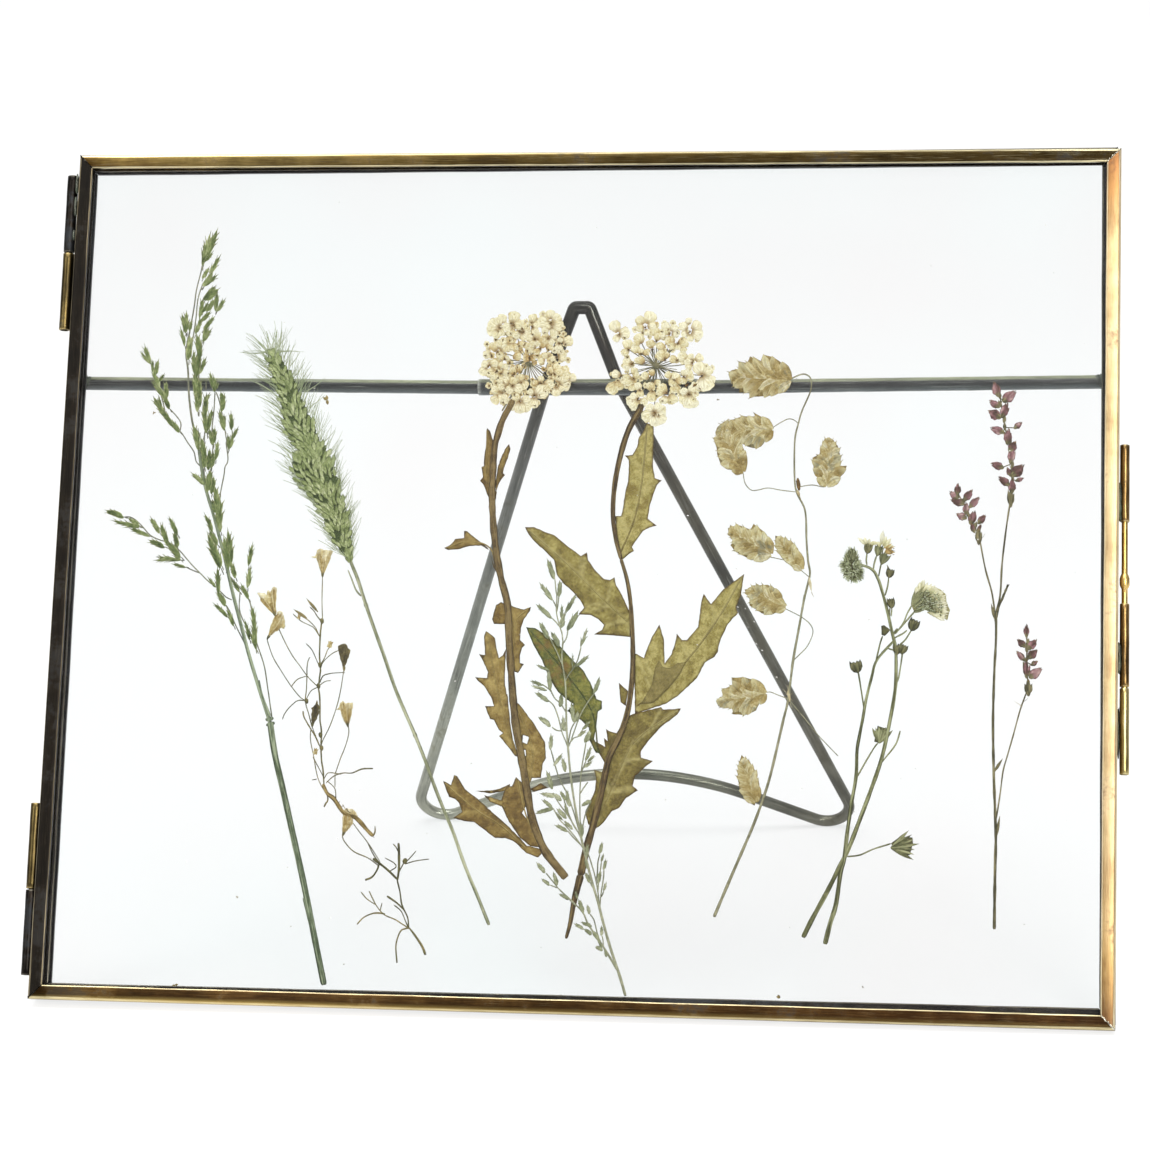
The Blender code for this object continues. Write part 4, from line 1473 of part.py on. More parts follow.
def stand_on_floor():
    """Moves everything so that the origin is under the middle of the whole, on the floor."""
    bpy.context.view_layer.update()
    corners = [thing.matrix_world @ vertex.co
               for thing in bpy.data.objects for vertex in thing.data.vertices]
    middle_x = (min(c.x for c in corners) + max(c.x for c in corners)) / 2
    middle_y = (min(c.y for c in corners) + max(c.y for c in corners)) / 2
    lowest = min(c.z for c in corners)
    for thing in bpy.data.objects:
        thing.location -= Vector((middle_x, middle_y, lowest))


for old in list(bpy.data.objects):
    bpy.data.objects.remove(old, do_unlink=True)
build_frame()
build_plants()
stand_on_floor()
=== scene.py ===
"""Looks for the pressed flower frame: camera, light, floor, brass, glass and eight dried plants.

Lengths on the frame are in millimetres, as (u, v, w): u to the right, v up the frame, both from
its middle, and w towards the viewer from the front face of the front leaf. The plants are laid
out in the photograph's pixels, with y down, and each point is carried to the plants' layer along
the camera's line of sight.
"""

import math
import random

import bmesh
import bpy
import numpy as np
from mathutils import Matrix, Vector
from mathutils.geometry import delaunay_2d_cdt

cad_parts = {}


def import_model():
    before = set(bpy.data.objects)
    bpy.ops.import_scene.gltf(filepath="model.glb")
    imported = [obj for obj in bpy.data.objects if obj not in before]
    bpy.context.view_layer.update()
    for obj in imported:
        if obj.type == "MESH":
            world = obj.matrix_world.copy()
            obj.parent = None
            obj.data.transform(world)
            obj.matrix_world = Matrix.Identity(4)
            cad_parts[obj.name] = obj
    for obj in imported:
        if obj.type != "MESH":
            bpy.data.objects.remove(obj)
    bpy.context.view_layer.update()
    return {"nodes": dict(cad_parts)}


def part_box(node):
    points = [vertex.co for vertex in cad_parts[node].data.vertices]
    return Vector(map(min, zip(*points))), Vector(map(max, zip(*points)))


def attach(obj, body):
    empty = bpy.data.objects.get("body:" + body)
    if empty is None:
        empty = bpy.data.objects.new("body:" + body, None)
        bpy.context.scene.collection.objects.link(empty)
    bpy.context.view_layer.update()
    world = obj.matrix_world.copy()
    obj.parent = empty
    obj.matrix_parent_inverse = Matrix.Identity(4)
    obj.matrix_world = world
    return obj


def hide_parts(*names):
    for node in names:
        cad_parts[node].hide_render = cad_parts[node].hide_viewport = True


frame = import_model()

# ---- Frame, in millimetres -------------------------------------------------------------------
MM = 0.001
LEAN = math.radians(23.0794)
FRAME_WIDTH = 262.0
FRAME_HEIGHT = 213.6
LEAF_DEPTH = 3.6
FRONT_RAIL_FACE = 3.5
BACK_RAIL_FACE = 3.8
BACK_LEAF_W = -3.9
GROOVE_FLOOR = 1.5
GROOVE_WIDTH = 2.1
MITRE_GAP = 0.2
PANE_GAP = 0.3
FRONT_PANE_W = -1.35
BACK_PANE_W = -4.65
BACK_PANE_MIDDLE_W = -5.4
FRONT_TURN = math.radians(-0.25)
FRONT_SHIFT = (0.3, -0.93)
HINGE_AXIS = (-132.7, -3.75)
CLASP_AXIS = (132.8, -3.75)
PIVOT_AXIS = (47.75, -9.35)
CROSSBAR_RADIUS = 1.7
CROSSBAR_STRAIGHT = 30.0
CROSSBAR_END = 128.0
CROSSBAR_RISE = 1.15
SLEEVE_BORE = 1.83
SLEEVE_RADIUS = 2.05

# ---- Stand, in millimetres -------------------------------------------------------------------
WIRE_RADIUS = 1.575
WIRE_OFFSET = 3.8
WIRE_CENTRE_U = -0.97
LEG_ANGLE_DEG = 54.8
LEG_HALF_WIDTH = 8.5
LEG_SPREAD = 0.3295
FOOT_BEND_RADIUS = 6.6
FOOT_CORNER = (173.6, 65.8)
ARCH_CROWN = 148.15
ARCH_RADIUS = 69.6
ARCH_HALF_WIDTH = 33.0
APEX_ANGLE_DEG = 14.4
APEX_LENGTH = 19.75
APEX_HALF_WIDTH = 1.9
APEX_BEND_RADIUS = 0.8
APEX_SWELLING = 0.06
KNEE = 1.35

# ---- Camera, in the front leaf's own measures --------------------------------------------------
PHOTO_SIZE = 1150
FOCAL_PX = 3334.0
SENSOR_MM = 36.0
CAMERA = (112.9, -140.3, 792.5)
CAMERA_TURN = math.radians(8.095)
CAMERA_PITCH = math.radians(9.906)
CAMERA_ROLL = math.radians(2.031)

# ---- Plants ------------------------------------------------------------------------------------
LAYER_W = -4.35
GRASS_LAYER_W = -3.6
PX_MM = 0.25

# ---- Brome grass ---------------------------------------------------------------------------
BROME_STEM = (7.5, 7.5, [(324, 985), (313, 930), (303, 880), (293, 835), (283, 790), (275, 755),
                         (270, 722)])
BROME_CULM = (5, 4, [(270, 722), (268, 716), (258, 685), (249, 655), (241, 625), (232, 590),
                     (224, 555), (214, 517), (205, 486), (201, 465), (199, 450)])
BROME_FOOT_BULGE = (321.5, 972, 324, 984, 9)
BROME_TIP_STRANDS = [
    (3, 1.3, [(199, 450), (196, 436), (192, 420), (189, 395), (188, 370), (186, 352), (190, 330),
              (194, 308), (196.5, 290), (201, 272), (202, 266)]),
    (1.3, 1.3, [(192, 345), (196, 318), (198, 299), (203, 283)]),
]
BROME_TIP_SPIKELETS = [
    (203, 266, 205, 242, 5), (206, 258, 218, 229, 6), (204, 262, 210, 233, 5),
    (205, 262, 213, 252, 4), (210, 274, 220, 256, 5), (203, 279, 209, 267, 5),
    (204, 287, 218, 274, 4), (204, 287, 213, 272, 7), (205, 301, 219, 288, 8),
    (204, 300, 215, 286, 6), (216, 311, 217, 292, 5), (217, 312, 225, 299, 4.5),
    (207, 312, 215, 299, 6), (200, 318, 203, 298, 5), (203, 313, 208, 302, 4),
    (201, 322, 211, 311, 5), (204, 330, 215, 316, 5), (203, 342, 211, 329, 5),
    (204, 341, 207, 324, 5), (196, 334, 202, 317, 5), (186, 333, 182, 314, 5),
    (187, 332, 186, 311, 5), (190, 331, 191, 320, 4), (185, 346, 181, 328, 4),
    (189, 360, 190, 334, 7), (200, 358, 197, 333, 6), (199, 360, 201, 341, 5),
    (195, 374, 193, 350, 5), (197, 378, 199, 352, 6), (199, 375, 206, 357, 5),
    (196, 395, 195, 370, 6), (199, 410, 199, 378, 7), (198, 412, 196, 390, 5),
]
BROME_MIDDLE_STRANDS = [
    (1.5, 1.5, [(200, 466), (196, 461), (194, 452), (188, 443), (183, 435), (180, 431)]),
    (1.3, 1.2, [(180, 431), (181, 424), (178, 418), (170, 409)]),
    (1.3, 1.2, [(180, 431), (174, 424), (166, 414), (163, 402), (158, 385), (154, 374)]),
    (1.3, 1.2, [(226, 442), (228, 460), (225, 467), (224, 475), (221, 490), (220, 497),
                (218, 510)]),
    (1.3, 1.2, [(225, 430), (226, 437), (227, 442)]),
    (1.3, 1.2, [(205, 430), (204, 445), (204, 470), (206, 488)]),
    (1.3, 1.2, [(216, 392), (219, 400), (222, 414), (225, 430)]),
    (1.2, 1.2, [(206, 390), (206, 381)]),
    (1.3, 1.2, [(215, 392), (214, 410), (212, 430), (213, 445), (211, 470), (210, 490)]),
]
BROME_MIDDLE_SPIKELETS = [
    (180, 432, 168, 418, 6), (173, 426, 160, 408, 6), (165, 415, 153, 397, 6),
    (162, 408, 158, 396, 3), (170, 409, 162, 392, 6), (166, 400, 166, 381, 6),
    (164, 396, 152, 380, 6), (160, 388, 152, 370, 6), (159, 382, 164, 374, 4),
    (155, 376, 158, 360, 6), (153, 372, 152, 360, 4), (150, 363, 140, 352, 4),
    (151, 364, 144, 345, 5),
    (207, 433, 203, 405, 6), (208, 431, 212, 408, 5), (206, 415, 206, 393, 5),
    (204, 404, 210, 393, 4), (213, 388, 210, 372, 4), (215, 392, 214, 376, 5),
    (216, 390, 218, 382, 3), (223, 405, 221, 392, 6), (222, 412, 224, 394, 6),
    (225, 430, 219, 410, 6), (224, 428, 224, 414, 5), (232, 430, 231, 412, 5),
    (229, 450, 234, 432, 5), (229, 448, 228, 434, 4), (232, 440, 238, 427, 4),
    (213, 445, 209, 428, 5), (214, 444, 215, 427, 5), (216, 460, 218, 440, 5),
    (205, 462, 201, 436, 6), (199, 450, 193, 424, 6), (198, 448, 198, 430, 5),
    (205, 468, 203, 450, 6), (209, 470, 210, 449, 7), (212, 468, 214, 452, 5),
    (204, 484, 192, 473, 6), (206, 486, 201, 472, 6), (208, 492, 210, 470, 8),
    (212, 494, 214, 476, 6), (218, 515, 215, 485, 7), (218, 512, 208, 498, 5),
    (216, 512, 210, 505, 5), (219, 530, 220, 498, 7), (221, 532, 216, 512, 6),
    (213, 532, 205, 514, 5), (218, 545, 209, 530, 6), (221, 568, 207, 534, 8),
    (222, 566, 214, 545, 5), (229, 570, 224, 535, 7), (231, 566, 228, 529, 7),
    (236, 578, 230, 560, 6),
]
BROME_LOWER_STRANDS = [
    (1.6, 1.6, [(226, 572), (233, 580), (240, 588), (249, 600), (252, 612), (254, 620), (256, 640),
                (264, 665), (268, 690), (272, 718)]),
    (1.3, 1.3, [(255, 648), (250, 634), (240, 612), (240, 592)]),
    (1.3, 1.3, [(248, 650), (243, 640), (236, 626), (230, 612), (226, 605)]),
    (1.3, 1.3, [(232, 600), (226, 597), (220, 591)]),
    (1.6, 1.3, [(218, 588), (213, 585), (207, 580), (200, 573), (193, 566), (186, 558), (180, 551),
                (170, 543), (160, 540), (150, 535), (142, 526), (136, 520)]),
    (1.3, 1.3, [(200, 573), (192, 570), (186, 567)]),
    (1.3, 1.3, [(136, 520), (130, 517), (124, 517)]),
]
BROME_LOWER_SPIKELETS = [
    (240, 592, 231, 578, 4), (249, 599, 241, 584, 5), (248, 588, 250, 566, 5),
    (249, 566, 252, 543, 4.5), (255, 630, 252, 606, 5), (250, 640, 245, 620, 4),
    (256, 648, 253, 620, 5.5), (257, 650, 250, 632, 4), (234, 626, 227, 608, 5),
    (228, 617, 214, 603, 5), (226, 606, 217, 590, 6), (219, 595, 217, 566, 5),
    (216, 587, 208, 578, 4), (124, 517, 105, 510, 7), (139, 527, 112, 521, 5),
    (150, 536, 129, 528, 5), (140, 526, 128, 518, 6), (165, 547, 148, 540, 6),
    (160, 533, 150, 517, 6), (168, 545, 160, 523, 6), (178, 535, 169, 517, 5.5),
    (178, 548, 174, 532, 6), (181, 557, 165, 540, 6), (175, 558, 154, 561, 4),
    (180, 560, 157, 557, 4), (186, 567, 172, 564, 4), (181, 560, 170, 548, 5),
]

# ---- Foxtail grass -------------------------------------------------------------------------
FOXTAIL_LEFT_EDGE = [(268, 352), (267, 360), (270, 370), (272, 380), (277, 390), (278, 400),
                     (281, 410), (282, 420), (283, 430), (291, 440), (296, 450), (291, 460),
                     (290, 470), (301, 480), (305, 490), (312, 500), (320, 510), (326, 530),
                     (332, 540), (340, 552), (348, 559)]
FOXTAIL_RIGHT_EDGE = [(275, 352), (283, 360), (289, 370), (295, 380), (299, 390), (303, 400),
                      (308, 410), (313, 420), (318, 430), (320, 440), (328, 449), (332, 460),
                      (336, 470), (340, 480), (341, 490), (343, 500), (348, 510), (350, 520),
                      (351, 530), (352, 540), (352, 552), (351, 559)]
FOXTAIL_STEM = (3.4, 3.4, [(349, 557), (352, 565), (358, 580), (366, 605), (374, 628), (384, 656),
                           (395, 688), (405, 712), (415, 735), (425, 760), (434, 785), (443, 808),
                           (453, 832), (465, 866), (477, 895), (489, 925)])
FOXTAIL_SHEATH = (1.2, 2, [(348, 570), (352, 580), (356, 590), (361, 596)])
FOXTAIL_BRISTLE_TIPS = [
    (246, 337), (252, 335), (243, 350), (252, 362), (250, 380), (255, 395), (263, 410), (265, 425),
    (268, 440), (272, 450), (280, 470), (283, 480), (292, 490), (305, 505), (310, 520), (318, 540),
    (266, 331), (277, 330), (290, 345), (300, 352), (305, 362), (311, 372), (325, 378), (325, 395),
    (335, 430), (340, 460), (350, 480), (352, 500), (358, 500),
]

# ---- Sprig with bell flowers ---------------------------------------------------------------
BELL_FLOWERS = [
    [(322.5, 577), (320, 570), (318, 563), (316, 558), (310, 557), (315, 556), (317, 550),
     (320, 548.5), (324, 550), (331, 550), (333, 551), (331, 556), (329, 560), (327, 566),
     (325, 571), (323.5, 575)],
    [(275, 616), (273, 613), (270, 610), (266, 606), (263, 604.5), (264, 602), (259, 596),
     (257, 593), (265, 593), (266.5, 595), (267, 591), (269, 590), (270, 592), (272, 588),
     (274, 586.5), (277, 588), (277, 591), (274, 598), (275, 602), (276, 607), (276.5, 614)],
    [(267, 639), (269.5, 636), (270, 630), (272, 625), (272.5, 620), (276, 620), (277, 612),
     (279, 611), (282.5, 612), (284, 616), (285, 620), (285.5, 626), (284, 629), (281, 628),
     (279, 630), (274, 633), (270, 636)],
    [(344, 671), (342, 664), (340, 659), (339, 654), (338, 650), (338, 646), (342, 644),
     (345, 643.5), (347, 645), (348, 648), (350.5, 650), (350, 653), (349, 657), (347, 662),
     (345, 666)],
    [(312, 727), (311, 720), (311, 714), (312, 710), (311, 708), (314, 706), (317, 700),
     (318, 704), (319.5, 708), (319, 714), (317, 719), (314, 724)],
    [(348, 727), (345, 723), (343, 719), (341, 714), (340, 710), (335.5, 710), (339, 707),
     (340, 703), (343, 700.5), (346, 703.5), (348, 702.5), (353, 702.5), (353, 706), (352, 710),
     (351, 717), (350, 721), (348.5, 726)],
    [(342.5, 836), (342, 830), (342.5, 820), (343, 812), (344, 810), (347, 808), (353, 809),
     (356, 812), (358, 816), (356, 818), (353, 819), (353, 824), (350, 828), (346, 832),
     (343.5, 836)],
]
BELL_STEM = (1.6, 1.6, [(322, 620), (320.5, 632), (320, 640), (319.5, 655), (320, 663),
                        (320.5, 670), (319.5, 678), (318.5, 687), (319.5, 695), (320, 705),
                        (320, 720), (321, 727), (321.5, 735), (321, 745), (321.5, 760),
                        (323, 770), (324, 785)])
BELL_STRANDS = [
    (1, 1, [(322.5, 577), (322, 600), (322.5, 620)]),
    (1.4, 1, [(275, 615), (276, 622), (284, 640), (292, 655), (300, 666), (308, 677), (317, 686)]),
    (1, 1, [(267.5, 638), (267.5, 641), (273, 657), (280, 669), (291, 686), (301, 698),
            (306, 700)]),
    (1.5, 1.5, [(310, 607), (314, 611), (317, 616), (322, 622)]),
    (1, 1, [(298, 614), (303, 617), (308, 620), (315, 627), (319, 635)]),
    (1, 1, [(293, 614), (301, 621), (309, 625), (314, 628), (320, 637)]),
    (1, 1, [(306, 643.5), (312, 650), (317, 661), (319.5, 666)]),
    (1, 1, [(330, 647), (327.5, 650), (326, 654), (324, 659), (320, 665)]),
    (1, 1, [(344, 670), (343.5, 672), (341, 688), (338, 702), (334, 715), (329, 728), (323, 740),
            (321, 746)]),
    (1, 1, [(320, 667), (324, 661), (328, 657), (333, 653), (338.5, 650.5)]),
    (1.6, 1, [(319, 684), (323, 676), (328, 674), (334, 673), (345, 672.5)]),
    (1.2, 1, [(319, 686), (325, 681.5), (331, 680.5)]),
    (1, 1, [(318.5, 687), (312, 690), (309, 694), (306, 700)]),
    (1.4, 1.4, [(307, 673), (306.5, 688), (305.5, 702), (309, 715), (312, 727)]),
    (1.6, 1, [(307, 676), (307, 668), (308, 661), (310, 657)]),
    (1, 1, [(306.5, 676), (298, 679), (294, 683), (291, 687)]),
    (1.6, 1, [(305.5, 700.5), (298, 700.5), (293, 704), (288, 709), (284, 715), (282.5, 719.5)]),
    (2, 1.4, [(303, 711), (304, 717), (309, 726), (315, 736), (320, 747)]),
    (1, 1, [(312, 726), (314, 732), (320, 746)]),
    (1, 1, [(348.5, 726), (348.8, 733), (347, 741), (344, 750), (341, 757), (336.5, 770),
            (335, 774)]),
    (1, 1, [(311, 728), (310.5, 740), (314, 758), (316, 770), (319, 781), (326, 793), (335, 801)]),
    (1, 1, [(317, 779), (312, 780)]),
    (1, 1, [(313, 757), (323, 776)]),
    (1.2, 2, [(326, 783), (334, 776), (343, 773), (352, 773), (362, 769), (373, 768.5)]),
    (1.2, 1, [(324, 779), (328, 773), (337, 773.5), (341, 774.5)]),
    (1, 1, [(327, 781), (333, 786), (335.5, 791), (336, 802)]),
    (1, 1, [(335, 774), (335, 787)]),
    (1, 2, [(325, 786), (328, 799), (326, 803), (324, 807)]),
    (1, 1, [(353, 823), (358, 830), (368, 843), (377, 857), (380, 862)]),
    (1.4, 1.4, [(342.7, 835), (343.5, 840), (353, 851), (368, 858), (379, 866)]),
    (2, 1.4, [(373, 836), (375, 832), (375, 826)]),
]
BELL_ROOT = (4, 4, [(323, 784), (327, 793), (334, 799), (344, 813), (356, 818), (368, 831),
                    (373, 836)])
BELL_BUDS = [(330, 644.5, 3.5), (315.5, 751.5, 3.2), (299, 617, 2.4)]
BELL_FOOT_STRANDS = [
    (1, 1.6, [(368, 843), (372, 852), (377, 860), (381, 865)]),
    (3, 2.4, [(373, 858.5), (383, 866), (390, 872), (397, 879)]),
    (1.2, 1, [(390, 871), (396, 867), (394, 863), (385, 858)]),
    (2.4, 2, [(365, 880), (372, 877), (377, 870), (379, 864)]),
    (3, 2.4, [(398.5, 843), (399, 850), (399, 868), (397.5, 880)]),
    (1, 1, [(393, 844), (396, 847), (399, 853)]),
    (1.4, 1, [(398, 874), (401, 868), (404, 863), (408, 860), (416, 851)]),
    (1.2, 1, [(405, 864), (415, 861), (429, 859)]),
    (1.8, 1.6, [(397, 879), (400, 892), (402, 905), (407.5, 917), (408.5, 925), (409, 929)]),
    (2.4, 1.6, [(387, 896), (397, 903), (405, 911)]),
    (1.4, 1.2, [(394, 905), (401, 911), (405.5, 921), (408, 927)]),
    (1.6, 1, [(408.5, 928), (402, 924), (395, 919.5), (384, 914.5), (376, 905), (369, 891)]),
    (1, 1, [(376, 905), (367, 899), (361, 892)]),
    (1, 1, [(380, 911), (382, 903)]),
    (2, 1.4, [(385, 914), (378, 913), (371, 914), (363, 918), (357, 924.5)]),
    (1.8, 1.6, [(409, 928), (404, 929), (400, 932), (396, 945), (397, 963)]),
    (2, 3, [(408.5, 927), (414, 934), (422, 946), (425.5, 955)]),
]
BELL_FOOT_BUDS = [(405, 861, 2.6)]

# ---- Left umbel ----------------------------------------------------------------------------
LEFT_UMBEL_CENTRE = (528, 361.5)
LEFT_UMBEL_FLOWERS = [  # centre of the flower, then its petals as (x, y, radius)
    ((499.7, 327.6), [(494, 325.5, 6.3), (491.9, 330.4, 5), (496.2, 334.6, 3.9),
                      (502.2, 318.4, 4.2), (498.3, 321.2, 4.2), (501.1, 332.5, 3.5)]),
    ((513.1, 325.1), [(514.1, 317, 5.6), (507.4, 326.9, 4.2), (517.3, 325.5, 4.2),
                      (511, 332.5, 4.2)]),
    ((521.5, 331.4), [(520.8, 324, 3.9), (525.8, 327.6, 3.9), (516.6, 334.6, 3.9),
                      (527.2, 331.8, 3.5), (524.4, 336.7, 3.9)]),
    ((531.8, 326.5), [(532.5, 318.4, 3.9), (535.6, 325.5, 3.2), (534.9, 331.1, 3.5)]),
    ((550.8, 324), [(550.5, 314.2, 4.2), (556.8, 318.4, 4.6), (558.2, 325.5, 5.3),
                    (542.7, 321.9, 5.3), (547.6, 325.5, 4.2), (545.5, 329.7, 3.5),
                    (553.3, 331.1, 3.5)]),
    ((548.3, 338.1), [(545.5, 335.3, 3.2), (553.3, 336, 3.5), (551.2, 341.7, 3.2),
                      (545.5, 341, 3.2)]),
    ((534.9, 338.9), [(530, 338.1, 3.9), (537.1, 334.6, 3.5), (541.3, 339.6, 3.5),
                      (537.1, 343.1, 3.5)]),
    ((539.9, 348.7), [(542.7, 344.5, 3.5), (532.8, 344.5, 3.5), (537.1, 351.5, 3.2),
                      (531.4, 350.1, 3.2), (549.8, 346.6, 3.5)]),
    ((558.9, 343.4), [(568.1, 341, 4.9), (560, 340.3, 2.8), (558.9, 347.3, 3.9),
                      (554.7, 350.1, 3.2)]),
    ((557, 357), [(562.4, 357.2, 3.9), (561, 352.3, 3.5), (553.3, 358.6, 2.8),
                  (545.5, 355.8, 3.2), (541.3, 360.7, 3.2)]),
    ((497, 351.7), [(494, 346.6, 4.2), (498.3, 344.5, 3.5), (504.6, 348, 3.9),
                    (499, 354.4, 3.5), (487, 354.7, 3.9)]),
    ((509.5, 340), [(508.9, 340.3, 3.9), (504.6, 341, 3.5), (510.3, 347.3, 3.9),
                    (515.2, 346.6, 3.5), (521.5, 344.5, 3.5), (527.2, 345.9, 3.5)]),
    ((505, 359), [(503.2, 357.9, 2.8), (506.7, 358.6, 2.8), (517.3, 356.5, 3.9)]),
    ((488.4, 365.6), [(485.6, 364.9, 4.2), (493.7, 363.5, 3.9), (483.1, 371.3, 4.2)]),
    ((496.9, 370.2), [(490.5, 372.7, 4.2), (494, 374.8, 4.2), (501.1, 365.6, 3.2),
                      (505.3, 367.1, 3.2), (505.3, 372.7, 3.2)]),
    ((513.4, 374.5), [(513.1, 371.3, 3.9), (518.7, 368.5, 3.5)]),
    ((512.4, 385.7), [(506, 379.8, 4.2), (513.4, 381.2, 3.9), (518, 388.2, 4.6),
                      (509.6, 389.6, 4.2), (501.1, 380.5, 3.5), (501.8, 386.8, 3.5)]),
    ((521.2, 382.6), [(520.1, 378.3, 4.2), (523.7, 384.7, 4.6)]),
    ((501.8, 392.8), [(495.5, 390.3, 4.2), (495.5, 399.5, 4.6), (502.5, 396.7, 4.9),
                      (506, 400.2, 3.5)]),
    ((519.8, 401.6), [(516.6, 398.1, 4.2), (513.1, 405.1, 4.9), (520.1, 408, 5.3),
                      (526.5, 406.6, 4.9), (525.8, 399.5, 4.2)]),
    ((534.6, 395.6), [(533.5, 403, 4.9), (540.6, 392.4, 7), (530.7, 392.4, 3.2),
                      (545.5, 388.2, 4.2)]),
    ((540.6, 383.3), [(549, 384, 4.6), (535.6, 382.6, 2.8), (540.9, 379, 3.2)]),
    ((551.2, 374.8), [(550.5, 370.6, 3.5), (556.8, 367.8, 4.2), (558.2, 372.7, 4.2),
                      (563.2, 370.6, 4.2)]),
    ((556.1, 384.7), [(566, 376.9, 4.2), (572.3, 377.6, 3.9), (562.4, 379.8, 3.9),
                      (565.3, 386.1, 4.6), (558.2, 378.3, 3.5), (556.1, 392.1, 4.2),
                      (561, 388.2, 3.5)]),
    ((529.4, 358), [(526.8, 357.9, 4), (532.1, 358.2, 3.5)]),
]
LEFT_UMBEL_STALK = (2, 1.5, [(512, 395), (508, 401), (502, 411)])
LEFT_UMBEL_STEM = (4.5, 6, [(513, 400), (509, 408), (505, 415), (501, 424), (498, 434), (495, 445),
                            (493.5, 460), (493, 475), (492, 490), (493, 520), (496, 550),
                            (501, 578), (507.5, 605), (509, 640), (511, 670), (515, 720),
                            (521, 755), (526, 785), (532, 818), (542, 845), (550, 858),
                            (558, 868), (566, 878)])
LEFT_UMBEL_LEAVES = {
    "sheath_left": [(487, 428), (490, 431), (493, 440), (494, 447), (492, 475), (489, 499),
                    (486, 491), (483, 484), (480, 481), (483, 477), (481.5, 467), (484, 466),
                    (484, 460), (486, 445)],
    "sheath_right": [(509, 444), (510.5, 449), (508, 458), (504, 468), (503, 473), (505, 475),
                     (501, 480), (498, 486), (496, 492), (495, 484), (497, 473), (498, 466),
                     (501, 458), (505, 449)],
    "sheath_spur": [(493, 488), (497, 492), (496, 499), (488, 508), (491, 498)],
    "left_high": [(444, 548), (450, 545), (454, 541), (455, 539), (464, 538), (464, 531),
                  (467, 531), (478, 540), (488, 548), (492, 560), (495, 568), (497, 574),
                  (493, 566), (489, 550), (481, 545.5), (470, 546), (460, 549), (448, 550)],
    "right_high": [(508, 598), (512, 606), (518, 608), (524, 609.5), (531, 607), (530, 611),
                   (524, 619), (521, 628), (520, 640), (525, 645), (522, 648), (520, 655),
                   (520, 663), (524, 664), (518, 673), (512, 671), (509, 640)],
    "stem_flap": [(501, 602), (505, 604), (508, 612), (508, 622), (505, 624), (494, 624),
                  (492, 619), (496, 605)],
    "left_middle": [(486, 631), (484, 636), (485, 655), (479, 654), (482, 659), (488, 672),
                    (487, 678), (475, 677), (478, 681), (484, 686), (491, 697), (494, 706),
                    (485, 706), (490, 719), (494, 720), (499, 730), (503, 733), (499, 736),
                    (509, 748), (515, 756), (519, 757), (513, 740), (510, 720), (508, 697),
                    (505, 685), (505, 672), (506, 649), (503, 655), (499, 658), (496, 645),
                    (495, 638), (489, 633)],
    "right_middle": [(513, 698), (520, 705), (535, 725), (545, 742), (546, 758), (543, 763),
                     (541, 778), (532, 778), (529, 786), (524, 780), (520, 740)],
    "left_low": [(443, 781), (446, 782), (451, 785), (454, 775), (457, 776), (465, 789),
                 (478, 799), (492, 812), (508, 826), (520, 838), (527, 846), (528, 851),
                 (524, 850), (513, 841), (505, 838), (495, 838), (482, 828), (474, 822),
                 (464, 821), (453, 818), (462, 812), (459, 803), (455, 799), (449, 797)],
    "low_blade": [(500, 803), (503, 795), (506, 787), (512, 786), (516, 777), (524, 784),
                  (530, 795), (533, 818), (540, 832), (543, 848), (530, 846), (520, 838),
                  (509, 822)],
    "low_point": [(475, 791), (490, 790.5), (500, 788.5), (510, 784), (510, 789), (500, 792),
                  (490, 793.5)],
    "low_lobe": [(484, 795), (497, 799), (505, 801), (508, 810), (500, 806), (490, 802)],
    "low_curl": [(530, 789), (534, 787), (541, 783), (548, 788), (541, 790), (534, 792)],
    "foot_teeth": [(517, 844), (530, 846), (545, 850), (538, 857.5), (526, 853)],
}
LEFT_UMBEL_HOLES = {
    "slit": [(506, 674), (509, 674), (508.5, 694), (506.5, 694)],
    "gap_high": [(523, 735), (529, 737), (527, 744), (522.5, 742)],
    "gap_low": [(522.5, 750), (525.5, 750), (526, 756), (523, 755)],
    "gap_foot": [(526, 806), (528.5, 821), (522, 813)],
}

